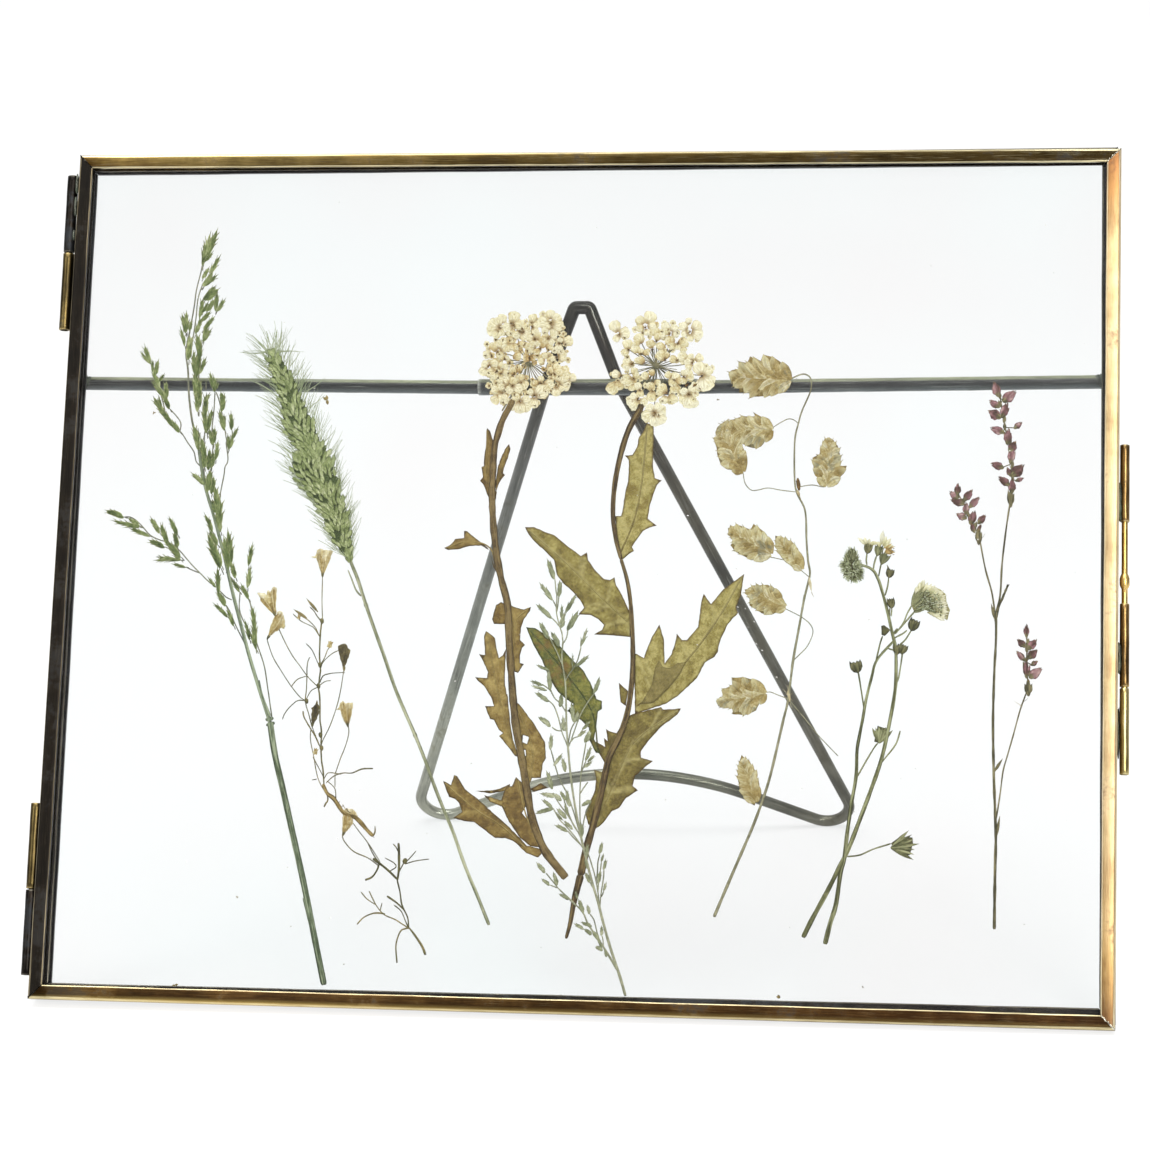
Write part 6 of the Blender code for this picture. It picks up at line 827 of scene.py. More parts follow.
def wobble(position, seed):
    """A smooth number from -1 to 1 that changes over about one unit of position."""
    return (math.sin(position * 1.7 + seed * 5.1) + math.sin(position * 2.9 + seed * 9.7) * 0.6
            + math.sin(position * 5.3 + seed * 3.3) * 0.35) / 1.95


# ---- Plant parts, as (x, y, w) -----------------------------------------------------------------
# Seeds of the waves and fibres are spread over this much.
SEED_SPREAD = 40
STEM_STEP_PX = 2.2
STEM_WAVE_PX = 9
STEM_END_SHARE = 0.7
THICKEST_STEM = 0.42
HAIR_STEPS = 4
HAIR_TIP_SHARE = 0.4
# How far from an edge or a vein, in pixels, a leaf still shows it.
EDGE_REACH_PX = 1.9
VEIN_REACH_PX = 1.3
VEIN_WIDTH_PX = 1.1
NO_VEIN_PX = 9.0
EPSILON = 1e-6


def stem(piece, strand, base_w=LAYER_W, sides=8, look=0, rough=0.06, thick=1.0, flat=0.75,
         least=1.45):
    """A pressed stalk: smooth, a little uneven, and flatter than it is wide."""
    start, end, path = strand
    line = smooth_line(path, STEM_STEP_PX)
    lengths = np.concatenate([[0], np.cumsum(np.linalg.norm(np.diff(line, axis=0), axis=1))])
    seed, tone = piece.chance.random() * SEED_SPREAD, piece.chance.random()
    points, shade, grain = [], [], []
    for i, (x, y) in enumerate(line):
        before, after = line[max(i - 1, 0)], line[min(i + 1, len(line) - 1)]
        along = (after - before) / max(np.linalg.norm(after - before), EPSILON)
        part = lengths[i] / max(lengths[-1], EPSILON)
        half = max((start + (end - start) * part) * thick, least) / 2
        half *= 1 + rough * wobble(lengths[i] / STEM_WAVE_PX, seed)
        if i in (0, len(line) - 1):
            half *= STEM_END_SHARE
        rise = min(half * PX_MM * flat, THICKEST_STEM)
        for side in range(sides):
            turn = 2 * math.pi * side / sides
            c, s = math.cos(turn), math.sin(turn)
            points.append((x - along[1] * half * c, y + along[0] * half * c,
                           base_w + rise * (1 + s)))
            shade.append((tone, part, abs(c)))
            grain.append((c * half, lengths[i], seed))
    faces = grid_faces(len(line), sides, closed=True)
    faces += [list(range(sides))[::-1], [len(points) - sides + k for k in range(sides)]]
    piece.add(points, faces, shade, grain, look)


def stems(piece, strands, **options):
    """Several stalks with the same options."""
    for strand in strands:
        stem(piece, strand, **options)


def scale(piece, base, tip, width, base_w, lift=0.1, cup=0.2, widest=0.4, look=0, rows=6,
          columns=5, tone=None, sway=0.0, blunt=0.0, pinch=0.25, ridge=0.0, notch=0.0,
          ruffle=0.0):
    """A cupped scale, petal or small leaf from its base to its tip; lift and cup are in mm.

    widest is how far along it is widest, pinch how wide its foot is and blunt how round its tip
    is, as parts of its width. notch dents the tip, ruffle waves the sides, ridge raises the
    midrib and sway bends the whole sideways.
    """
    base, tip = np.array(base, float), np.array(tip, float)
    axis = tip - base
    length = max(np.linalg.norm(axis), EPSILON)
    side = np.array((-axis[1], axis[0])) / length
    tone = piece.chance.random() if tone is None else tone
    seed = piece.chance.random() * SEED_SPREAD
    points, shade, grain = [], [], []
    for row in range(rows):
        t = row / (rows - 1)
        if t < widest:
            half = pinch + (1 - pinch) * math.sin(math.pi / 2 * t / widest)
        else:
            fall = (t - widest) / (1 - widest)
            half = blunt * math.sqrt(max(1 - fall ** 3, 0)) + (1 - blunt) * math.cos(
                math.pi / 2 * fall) ** 1.15
        half *= width / 2
        middle = base + axis * t + side * sway * length * math.sin(math.pi * t)
        for column in range(columns):
            s = 2 * column / (columns - 1) - 1
            dent = notch * math.exp(-(s * 2.4) ** 2) * max(t - 0.4, 0) / 0.6
            wide = half * (1 + ruffle * wobble(t * 7 + (4 if s > 0 else 0), seed))
            x, y = middle + side * wide * s - axis * dent
            rise = cup * (1 - s * s) * math.sin(math.pi * min(0.08 + t * 0.9, 1))
            rise += ridge * (1 - abs(s)) ** 3
            points.append((x, y, base_w + lift * t + rise))
            shade.append((tone, t, abs(s)))
            grain.append((s * half, t * length, seed))
    piece.add(points, grid_faces(rows, columns), shade, grain, look)


def grain_body(piece, centre, width, height, turn, base_w, rise, look=0, sides=9, rings=4,
               pointed=0.3, tone=None):
    """A small swollen bud or grain lying on the layer, pointed at one end, with shallow ribs."""
    tone = piece.chance.random() if tone is None else tone
    seed = piece.chance.random() * SEED_SPREAD
    ux, uy = math.cos(turn), math.sin(turn)
    points, shade, grain = [], [], []
    for ring in range(rings + 1):
        reach = math.sin(math.pi / 2 * (1 - ring / rings)) if ring < rings else 0.0
        for k in range(sides if ring < rings else 1):
            angle = 2 * math.pi * k / sides
            c, s = math.cos(angle), math.sin(angle)
            taper = 1 - pointed * max(c, 0) ** 2 * abs(s) - 0.06 * math.sin(5 * angle + seed)
            a, b = c * height / 2 * reach, s * width / 2 * reach * taper
            points.append((centre[0] + ux * a - uy * b, centre[1] + uy * a + ux * b,
                           base_w + rise * math.sqrt(max(1 - reach * reach, 0))))
            shade.append((tone, 0.5 + 0.5 * c * reach, reach))
            grain.append((b, a, seed))
    faces = grid_faces(rings, sides, closed=True)
    top = rings * sides
    faces += [[(rings - 1) * sides + k, (rings - 1) * sides + (k + 1) % sides, top]
              for k in range(sides)]
    piece.add(points, faces, shade, grain, look)


def hair(piece, base, tip, width, base_w, rise, look=0, bow=0.04):
    """One fine bristle, three-sided and bowed."""
    base, tip = np.array(base, float), np.array(tip, float)
    axis = tip - base
    length = max(np.linalg.norm(axis), EPSILON)
    side = np.array((-axis[1], axis[0])) / length
    tone, points, shade, grain = piece.chance.random(), [], [], []
    for i in range(HAIR_STEPS + 1):
        t = i / HAIR_STEPS
        half = width / 2 * (1 - (1 - HAIR_TIP_SHARE) * t)
        middle = base + axis * t + side * bow * length * math.sin(math.pi * t)
        height = base_w + rise * t
        for offset, up in ((-half, 0), (half, 0), (0, half * PX_MM * 1.5)):
            x, y = middle + side * offset
            points.append((x, y, height + up))
            shade.append((tone, t, abs(offset) / half))
            grain.append((offset, t * length, tone * SEED_SPREAD))
    piece.add(points, grid_faces(HAIR_STEPS + 1, 3, closed=True), shade, grain, look)


def inside(point, outline):
    """Whether a point lies within an outline."""
    x, y = point
    hit = False
    for (ax, ay), (bx, by) in zip(outline, outline[1:] + outline[:1]):
        if (ay > y) != (by > y) and x < (bx - ax) * (y - ay) / (by - ay) + ax:
            hit = not hit
    return hit


def reach_inside(start, heading, outline, most=60.0):
    """How far one gets from a place in a direction before leaving the outline."""
    far, step = 0.0, 0.7
    while far < most and inside(start + heading * (far + step), outline):
        far += step
    return far


def edge_distance(point, lines):
    """How far a point is from the nearest of the segments in two arrays of their ends."""
    starts, ends = lines
    span = ends - starts
    away = np.array(point) - starts
    t = np.clip((away * span).sum(1) / np.maximum((span * span).sum(1), 1e-9), 0, 1)
    return float(np.linalg.norm(away - span * t[:, None], axis=1).min())


def segments(paths, closed=False):
    """The ends of all the segments of some lines, as two arrays."""
    starts, ends = [], []
    for path in paths:
        after = path[1:] + path[:1] if closed else path[1:]
        for a, b in zip(path, after):
            starts.append(a)
            ends.append(b)
    return np.array(starts, float), np.array(ends, float)


def ragged(outline, chance, step, depth):
    """The outline with points added along it, each moved a little in or out."""
    made = []
    for (ax, ay), (bx, by) in zip(outline, outline[1:] + outline[:1]):
        length = math.hypot(bx - ax, by - ay)
        count = max(1, int(length / step))
        for i in range(count):
            t = i / count
            push = chance.uniform(-depth, depth) if i else 0
            made.append((ax + (bx - ax) * t - (by - ay) / length * push,
                         ay + (by - ay) * t + (bx - ax) / length * push))
    return made


def blade(piece, outline, veins, base_w, look=0, spacing=3.2, crumple=0.16, dome=0.2, holes=(),
          tone=None, thickness=0.12, vein_height=0.08, fray=0.25, fade=None):
    """A flat leaf or petal from its outline: a fine net with raised veins and a crumpled face.

    veins are lines of (x, y); shade carries (tone, nearness to a vein, nearness to the edge).
    With fade, which is (x, y, reach), the tone runs from 0 there to 1 at that reach.
    """
    tone = piece.chance.random() if tone is None else tone
    seed = piece.chance.random() * SEED_SPREAD
    outline = ragged(outline, piece.chance, spacing, fray)
    rims = [outline] + [list(hole) for hole in holes]
    border = segments(rims, closed=True)
    vein_lines = segments(veins) if veins else None
    xs, ys = [p[0] for p in outline], [p[1] for p in outline]
    points, edges = [], []
    for rim in rims:
        start = len(points)
        points += rim
        edges += [(start + i, start + (i + 1) % len(rim)) for i in range(len(rim))]
    row = 0
    y = min(ys) + spacing / 2
    while y < max(ys):
        x = min(xs) + spacing / 2 * (1 + row % 2)
        while x < max(xs):
            spot = (x + piece.chance.uniform(-0.2, 0.2) * spacing,
                    y + piece.chance.uniform(-0.2, 0.2) * spacing)
            if inside(spot, outline) and not any(inside(spot, list(h)) for h in holes):
                if edge_distance(spot, border) > spacing * 0.45:
                    points.append(spot)
            x += spacing
        y += spacing * 0.87
        row += 1
    made = delaunay_2d_cdt([Vector(p) for p in points], edges, [], 0, 1e-4, False)
    flat, triangles = made[0], made[2]
    keep = []
    for triangle in triangles:
        middle = sum((flat[i] for i in triangle), Vector((0, 0))) / 3
        if inside(middle, outline) and not any(inside(middle, list(h)) for h in holes):
            keep.append(list(triangle))
    heights, shade, grain = [], [], []
    for p in flat:
        near_edge = edge_distance((p.x, p.y), border)
        near_vein = edge_distance((p.x, p.y), vein_lines) if vein_lines else NO_VEIN_PX
        fold = wobble(p.x / 9 + 0.6 * wobble(p.y / 13, seed + 3), seed) * wobble(p.y / 8, seed + 1)
        inner = min(near_edge / 6, 1)
        height = base_w + thickness + dome * inner * (2 - inner) / 2
        height += crumple * fold * min(near_edge / 2 + 0.3, 1)
        height += vein_height * math.exp(-(near_vein / VEIN_WIDTH_PX) ** 2)
        heights.append(max(height, base_w + thickness))
        own = tone
        if fade:
            own = min(math.hypot(p.x - fade[0], p.y - fade[1]) / fade[2], 1.0)
        shade.append((own, math.exp(-(near_vein / VEIN_REACH_PX) ** 2),
                      math.exp(-near_edge / EDGE_REACH_PX)))
        grain.append((p.x, p.y, seed))
    count = len(flat)
    top = [(p.x, p.y, h) for p, h in zip(flat, heights)]
    under = [(p.x, p.y, h - thickness) for p, h in zip(flat, heights)]
    boundary = set()
    for triangle in keep:
        boundary |= set(zip(triangle, triangle[1:] + triangle[:1]))
    faces = [t[::-1] for t in keep] + [[c + count for c in t] for t in keep]
    for a, b in sorted(boundary):
        if (b, a) not in boundary:
            faces.append([a, b, b + count, a + count])
    piece.add(top + under, faces, shade * 2, grain * 2, look)


# ---- Materials ---------------------------------------------------------------------------------
class Nodes:
    """A material's node tree, built a node at a time."""

    def __init__(self, name):
        self.material = bpy.data.materials.new(name)
        self.material.use_nodes = True
        self.tree = self.material.node_tree
        self.shader = self.tree.nodes["Principled BSDF"]
        self.output = self.tree.nodes["Material Output"]

    def node(self, kind, inputs=(), **settings):
        made = self.tree.nodes.new(kind)
        for key, value in settings.items():
            setattr(made, key, value)
        for key, value in dict(inputs).items():
            if isinstance(value, bpy.types.NodeSocket):
                self.tree.links.new(value, made.inputs[key])
            else:
                made.inputs[key].default_value = value
        return made

    def set(self, **values):
        for key, value in values.items():
            socket = self.shader.inputs[key.replace("_", " ")]
            if isinstance(value, bpy.types.NodeSocket):
                self.tree.links.new(value, socket)
            else:
                socket.default_value = value

    def math(self, operation, a, b=0.5, clamp=False):
        made = self.node("ShaderNodeMath", operation=operation, use_clamp=clamp)
        for index, value in enumerate((a, b)):
            if isinstance(value, bpy.types.NodeSocket):
                self.tree.links.new(value, made.inputs[index])
            else:
                made.inputs[index].default_value = value
        return made.outputs[0]

    def attribute(self, name):
        vector = self.node("ShaderNodeAttribute", attribute_name=name).outputs["Vector"]
        return vector, self.node("ShaderNodeSeparateXYZ", {"Vector": vector}).outputs

    def noise(self, vector, scale, detail=3.0, rough=0.55, stretch=None):
        if stretch:
            vector = self.node("ShaderNodeVectorMath", {0: vector, 1: stretch},
                               operation="MULTIPLY").outputs[0]
        return self.node("ShaderNodeTexNoise", {"Vector": vector, "Scale": scale,
                                                "Detail": detail, "Roughness": rough}).outputs[0]

    def object_place(self):
        return self.node("ShaderNodeTexCoord").outputs["Object"]

    def ramp(self, value, stops):
        made = self.node("ShaderNodeValToRGB", {"Fac": value})
        elements = made.color_ramp.elements
        while len(elements) < len(stops):
            elements.new(0.5)
        for element, (place, colour) in zip(elements, stops):
            element.position = place
            element.color = rgb(colour) if isinstance(colour, str) else (colour,) * 3 + (1,)
        return made.outputs[0]

    def mix(self, share, a, b, blend="MIX"):
        made = self.node("ShaderNodeMix", data_type="RGBA", blend_type=blend)
        for key, value in ((0, share), (6, a), (7, b)):
            if isinstance(value, bpy.types.NodeSocket):
                self.tree.links.new(value, made.inputs[key])
            else:
                made.inputs[key].default_value = rgb(value) if isinstance(value, str) else value
        return made.outputs[2]

    def bump(self, height, strength, distance):
        return self.node("ShaderNodeBump", {"Height": height, "Strength": strength,
                                            "Distance": distance}).outputs[0]


def rgb(code):
    """A colour written as on the screen, as linear numbers."""
    parts = [int(code[i:i + 2], 16) / 255 for i in (1, 3, 5)]
    return tuple(((c + 0.055) / 1.055) ** 2.4 if c > 0.04045 else c / 12.92
                 for c in parts) + (1.0,)


# Painted shade: how much of its own colour a plant keeps, darkened as if less light reached it
# between the panes.
PLANT_PAINTED_SHADE = 0.77


def plant(name, tones, edge=None, tip=None, base=None, crease=None, stripe=None, fibre=0.35,
          roughness=0.75, edge_from=0.6, tip_from=0.6, base_to=0.45, vein=None, blotch=None,
          mottle=1.3, spread=0.6, streak=(0.85, 0.07), depth=0.5):
    """Dried plant: a tone for each scale or petal, patches, fibres, darker edges and paler tips,
    with a painted shade over all of it.
    """
    nodes = Nodes(name)
    _, (tone, along, edge_near) = nodes.attribute("shade")
    grain, _ = nodes.attribute("grain")
    place = nodes.object_place()
    patches = nodes.noise(place, 430.0, 3.0)
    fine = nodes.noise(place, 1900.0, 2.0, 0.7)
    fibres = nodes.noise(grain, 1.0, 3.0, 0.65, stretch=(streak[0], streak[1], 1.0))
    own = nodes.math("MULTIPLY", tone, spread)
    own = nodes.math("ADD", own, nodes.math(
        "MULTIPLY", nodes.math("SUBTRACT", patches, 0.5), 1.5))
    own = nodes.math("ADD", own, nodes.math(
        "MULTIPLY", nodes.math("SUBTRACT", fine, 0.5), mottle))
    colour = nodes.ramp(nodes.math("ADD", own, 0.5 - spread / 2), tones)
    if blotch:
        spots = nodes.noise(place, blotch[2], 4.0, 0.7)
        colour = nodes.mix(nodes.ramp(spots, [(blotch[1], 0.0), (blotch[1] + 0.07, 0.9)]),
                           colour, blotch[0])
    if vein:
        colour = nodes.mix(nodes.math("MULTIPLY", along, vein[1]), colour, vein[0])
    if base:
        share = nodes.ramp(along, [(0.0, 0.95), (base_to, 0.0)])
        colour = nodes.mix(share, colour, base)
    if crease:
        share = nodes.ramp(edge_near, [(0.0, crease[1]), (0.32, 0.0)])
        colour = nodes.mix(share, colour, crease[0])
    if tip:
        share = nodes.ramp(along, [(tip_from, 0.0), (1.0, 0.9)])
        colour = nodes.mix(share, colour, tip)
    if edge:
        share = nodes.ramp(edge_near, [(edge_from, 0.0), (1.0, 0.95)])
        colour = nodes.mix(share, colour, edge)
    if stripe:
        share = nodes.ramp(fibres, [(0.5, 0.0), (0.6, 0.8)])
        colour = nodes.mix(share, colour, stripe)
    # The fibres' dark lines, and a painted shade that darkens all of the colour.
    dark = nodes.ramp(fibres, [(0.36, PLANT_PAINTED_SHADE * (1 - fibre)), (0.58, PLANT_PAINTED_SHADE)])
    colour = nodes.mix(1.0, colour, dark, "MULTIPLY")
    rough = nodes.ramp(fibres, [(0.2, roughness + 0.12), (0.8, roughness - 0.12)])
    height = nodes.math("ADD", fibres, nodes.math("MULTIPLY", fine, 0.6))
    nodes.set(Base_Color=colour, Roughness=rough, Specular_IOR_Level=0.2,
              Normal=nodes.bump(height, depth, 0.00015))
    return nodes.material


def brass(name, light, middle, dark, patina, wear="#F3E6B4", patina_from=0.56,
          brushed=(3.0, 0.12, 1), roughness=(0.24, 0.46), patch_scale=70.0, wear_from=0.72,
          scratches=0.5, metal=1.0, lengthwise=None, painted_highlight=None, painted_reflection_across=None):
    """Aged brass: mottled tones, brush marks along the piece, dull patina and bright worn edges.

    lengthwise holds stops for what the colour is multiplied by from the left or lower end to the
    other, crosswise the same from one side to the other; band is a colour and the stops of its
    share from one side to the other. These paint light into the colour. On the rails, lengthwise
    paints reflections that fade along a rail. Round the bar, crosswise paints bands of reflection.
    On the rails, band paints a highlight along the outer edge.
    """
    nodes = Nodes(name)
    _, (tone, along, edge_near) = nodes.attribute("shade")
    grain, _ = nodes.attribute("grain")
    place = nodes.object_place()
    patches = nodes.noise(place, patch_scale, 5.0, 0.62)
    specks = nodes.noise(place, 900.0, 2.0)
    marks = nodes.noise(grain, 1.3, 4.0, 0.6, stretch=brushed)
    lines = nodes.noise(grain, 2.6, 2.0, 0.5, stretch=(brushed[0] * 1.7, brushed[1] * 0.5, 1))
    both = nodes.math("ADD", nodes.math("MULTIPLY", patches, 0.62),
                      nodes.math("MULTIPLY", marks, 0.38))
    colour = nodes.ramp(both, [(0.38, dark), (0.5, middle), (0.62, light)])
    dull = nodes.ramp(nodes.math("ADD", patches, nodes.math(
        "MULTIPLY", nodes.math("SUBTRACT", specks, 0.5), 0.3)),
        [(patina_from, 0.0), (patina_from + 0.1, 0.85)])
    colour = nodes.mix(dull, colour, patina)
    # A painted highlight, mixed in from one side of the piece to the other.
    if painted_highlight:
        side = nodes.math("ADD", tone, nodes.math(
            "MULTIPLY", nodes.math("SUBTRACT", both, 0.5), 0.35))
        colour = nodes.mix(nodes.ramp(side, painted_highlight[1]), colour, painted_highlight[0])
    # Painted reflection bands from one side of the piece to the other.
    if painted_reflection_across:
        colour = nodes.mix(1.0, colour, nodes.ramp(tone, painted_reflection_across), "MULTIPLY")
    # Multiplied along the piece; on the rails this paints reflections.
    if lengthwise:
        colour = nodes.mix(1.0, colour, nodes.ramp(along, lengthwise), "MULTIPLY")
    worn = nodes.math("MULTIPLY", nodes.ramp(edge_near, [(wear_from, 0.0), (1.0, 1.0)]),
                      nodes.ramp(marks, [(0.36, 0.15), (0.6, 0.9)]))
    colour = nodes.mix(worn, colour, wear)
    scratch = nodes.ramp(lines, [(0.62, 0.0), (0.7, scratches)])
    colour = nodes.mix(scratch, colour, wear)
    rough = nodes.ramp(nodes.math("ADD", nodes.math("MULTIPLY", dull, 0.5),
                                  nodes.math("MULTIPLY", marks, 0.5)),
                       [(0.15, roughness[0]), (0.7, roughness[1])])
    metallic = nodes.ramp(dull, [(0.0, metal), (0.85, metal * 0.6)])
    height = nodes.math("ADD", nodes.math("MULTIPLY", marks, 0.5),
                        nodes.math("MULTIPLY", specks, 0.5))
    nodes.set(Base_Color=colour, Metallic=metallic, Roughness=rough,
              Normal=nodes.bump(height, 0.3, 0.00008))
    return nodes.material


# How much of the light a pane's face sends back when it is looked at squarely.
PANE_REFLECTION = 0.022


def clear_glass(name):
    """Thin clear pane: light passes straight through, with a faint grey-green and a surface sheen.

    The sheen grows with the angle in the same way on both faces of the pane.
    """
    nodes = Nodes(name)
    place = nodes.object_place()
    smear = nodes.noise(place, 16.0, 1.0)
    tint = nodes.mix(nodes.ramp(smear, [(0.35, 0.0), (0.7, 1.0)]), "#FCFDFD", "#FCFCFC")
    through = nodes.node("ShaderNodeBsdfTransparent", {"Color": tint})
    gloss = nodes.node("ShaderNodeBsdfGlossy", {
        "Color": (1, 1, 1, 1), "Roughness": nodes.ramp(smear, [(0.3, 0.015), (0.8, 0.06)])})
    facing = nodes.node("ShaderNodeLayerWeight", {"Blend": 0.5}).outputs["Facing"]
    grazing = nodes.math("MULTIPLY", nodes.math("POWER", facing, 5.0), 1 - PANE_REFLECTION)
    both = nodes.node("ShaderNodeMixShader", {0: nodes.math("ADD", grazing, PANE_REFLECTION),
                                              1: through.outputs[0], 2: gloss.outputs[0]})
    nodes.tree.links.new(both.outputs[0], nodes.output.inputs["Surface"])
    nodes.tree.nodes.remove(nodes.shader)
    return nodes.material


# Each front rail has its own copy of the brass with painted light. As painted reflections, the left
# one is near black and the right one pale. The top, bottom and right ones have painted reflections
# that brighten and fade along them. The top and bottom have a painted highlight along the outer
# edge.
PAINTED_LIGHT_RAIL_BRASS = {
    "top": brass("brass top rail, painted reflections", "#B39A66", "#93804F", "#6A5838", "#574A2F", wear="#FBF0C4",
                 roughness=(0.3, 0.46), scratches=0.15, wear_from=0.6,
                 lengthwise=[(0.0, "#8A7658"), (0.035, "#FFF4E0"), (0.12, "#DCD8D0"),
                             (0.35, "#A59E92"), (0.55, "#746E64"), (1.0, "#474340")],
                 painted_highlight=("#EFE3B4", [(0.0, 0.9), (0.14, 0.75), (0.24, 0.0)])),
    "bottom": brass("brass bottom rail, painted reflections", "#8E6F45", "#6A4F31", "#493624", "#4B3E2A",
                    wear="#F2E4B4", roughness=(0.3, 0.46), scratches=0.12, wear_from=0.6,
                    lengthwise=[(0.0, "#7D7A6E"), (0.05, "#D8D6C4"), (0.2, "#F8F4E8"),
                                (0.45, "#B8B4AA"), (0.8, "#8E8680"), (1.0, "#807A78")],
                    painted_highlight=("#BFA569", [(0.0, 1.0), (0.1, 0.9), (0.26, 0.6), (0.4, 0.0)])),
    "left": brass("brass left rail, painted dark reflection", "#221A0F", "#16110A", "#0E0B07", "#120F0A", wear="#B9AA88",
                  patina_from=0.52, roughness=(0.4, 0.6), wear_from=0.9, scratches=0.06,
                  metal=0.8),
    "right": brass("brass right rail, painted bright reflection", "#D8BF92", "#C6AD7C", "#A2855A", "#8E7450", wear="#FFF3CC",
                   patina_from=0.58, roughness=(0.36, 0.48), scratches=0.2, metal=0.75,
                   lengthwise=[(0.0, "#86705A"), (0.06, "#C8BAA4"), (0.2, "#E2E0E6"),
                               (0.5, "#F0F1FA"), (0.9, "#FCFCFF"), (0.96, "#D9B79A"),
                               (1.0, "#A98468")]),
}
BRONZE = brass("bronze", "#A98A57", "#78603A", "#463622", "#3D3626", wear="#E9D6A0",
               patina_from=0.56, roughness=(0.26, 0.42), scratches=0.3)
OLIVE_BRASS = brass("olive brass", "#857245", "#5C4F30", "#38301F", "#3C3A2A", wear="#C9B27A",
                    patina_from=0.55, roughness=(0.28, 0.46), scratches=0.25)
PALE_BRASS = brass("pale brass", "#CFC08A", "#A99A66", "#7A6C44", "#6C6446", wear="#EADFAF",
                   patina_from=0.6, roughness=(0.26, 0.42), scratches=0.3)
DARK_BRASS = brass("dark brass", "#3A332B", "#221F1C", "#131212", "#1D2126", wear="#7D786A",
                   patina_from=0.5, roughness=(0.3, 0.55), scratches=0.15)
BRIGHT_BRASS = brass("bright brass", "#F0D99A", "#D0AF66", "#8F6F3A", "#6B5730",
                     patina_from=0.64)
SEAM = brass("bright solder", "#E9E4D2", "#BDB7A2", "#6E685A", "#4C4A40", wear="#FFFDF0",
             patina_from=0.56, brushed=(0.9, 0.9, 1), roughness=(0.2, 0.42), patch_scale=420.0)
SOLDER = brass("old solder", "#6F7266", "#4B4E45", "#2F312B", "#43503F", wear="#A9AB9C",
               patina_from=0.5, brushed=(0.8, 0.8, 1), roughness=(0.38, 0.6), patch_scale=260.0,
               metal=0.8)
PATINA = brass("patinated wire", "#C9C9BC", "#A3A499", "#6E6F67", "#8A866E", wear="#E0E1D6",
               patina_from=0.58, brushed=(2.2, 0.05, 1), roughness=(0.28, 0.48),
               patch_scale=60.0, scratches=0.4, metal=0.75,
               lengthwise=[(0.0, "#A1A299"), (0.12, "#8A8981"), (0.3, "#797368"),
                           (0.4, "#696257"), (0.435, "#413930"), (0.5, "#373028"),
                           (0.565, "#454039"), (0.6, "#7C7D81"), (0.7, "#C4C6C4"),
                           (0.8, "#EFEFE8"), (0.9, "#EFEFE8"), (1.0, "#B0B1A8")])
# The crossbar and sleeve are patinated, with painted reflection bands round them: pale on top, near
# black across the middle, grey-blue below. Their metal share is low so that the painted bands show.
BAR = brass("patinated bar, painted reflection bands", "#D6D8CC", "#B4B6AA", "#8C9088", "#9AA08C", wear="#E4E6DA",
            patina_from=0.58, brushed=(2.2, 0.05, 1), roughness=(0.3, 0.5), patch_scale=60.0,
            scratches=0.3, metal=0.15,
            painted_reflection_across=[(0.0, "#7E8992"), (0.1, "#606870"), (0.24, "#464A4E"), (0.34, "#232425"),
                       (0.58, "#181716"), (0.64, "#2D2D26"), (0.7, "#999B7D"),
                       (0.88, "#C8CBB1"), (1.0, "#D8D9C5")])
GLASS = clear_glass("clear glass")

BROME_GREEN = plant("brome scales", [(0.0, "#3D4C24"), (0.35, "#5F703A"), (0.7, "#87955A"),
                                     (1.0, "#B4BB87")], edge="#CFD2A8", tip="#C2B985",
                    crease=("#3D4A24", 0.45), tip_from=0.72, edge_from=0.6, fibre=0.45)
BROME_CULM_LOOK = plant("brome culm", [(0.0, "#4A5739"), (0.5, "#67755A"), (1.0, "#8C977B")],
                        edge="#46523A", stripe="#A9B293", fibre=0.4, streak=(0.55, 0.02))
THREAD = plant("dry threads", [(0.0, "#55574B"), (0.5, "#74755F"), (1.0, "#9A9982")], fibre=0.25)
# The dark edge round each foxtail grain is painted shade between the grains.
FOXTAIL_SCALE = plant("foxtail scales", [(0.0, "#6B7843"), (0.4, "#8A965E"), (0.75, "#A5AF7A"),
                                         (1.0, "#C4C99C")], edge="#4E5A30", tip="#C6C9A0",
                      tip_from=0.8, edge_from=0.58, fibre=0.4)
FOXTAIL_HAIR = plant("foxtail bristles", [(0.0, "#99A57C"), (0.5, "#B0BA94"), (1.0, "#CCD1B4")],
                     fibre=0.1)
# A dark sheet under the foxtail's grains: painted shade in the gaps between them.
FOXTAIL_SHADE = plant("foxtail painted shade", [(0.0, "#39451F"), (0.5, "#4C5A30"), (1.0, "#65733F")],
                      fibre=0.3)
FOXTAIL_CULM = plant("foxtail culm", [(0.0, "#6A7052"), (0.5, "#8B8F6E"), (1.0, "#AEAE8E")],
                     edge="#5F6547", stripe="#BDBD9E", fibre=0.35, streak=(0.7, 0.02))
BELL_PETAL = plant("bell petals", [(0.0, "#6F5A2C"), (0.3, "#A08748"), (0.6, "#CDBB82"),
                                   (0.85, "#E3D7AC"), (1.0, "#F1EACB")], vein=("#83693A", 0.55),
                   edge="#E6DAB2", fibre=0.3, roughness=0.65, spread=0.9, mottle=1.1)
BELL_BROWN = plant("browned petals", [(0.0, "#2F2A18"), (0.5, "#5C5132"), (1.0, "#968758")],
                   vein=("#2B2616", 0.6), edge="#766A44", fibre=0.4, mottle=1.6)
BELL_STEM_LOOK = plant("bell stems", [(0.0, "#454329"), (0.5, "#6A663F"), (1.0, "#978659")],
                       fibre=0.3)
BELL_ROOT_LOOK = plant("bell root", [(0.0, "#5A4A2A"), (0.5, "#86713F"), (1.0, "#B39C60")],
                       edge="#53442A", fibre=0.45, stripe="#B5A06A")
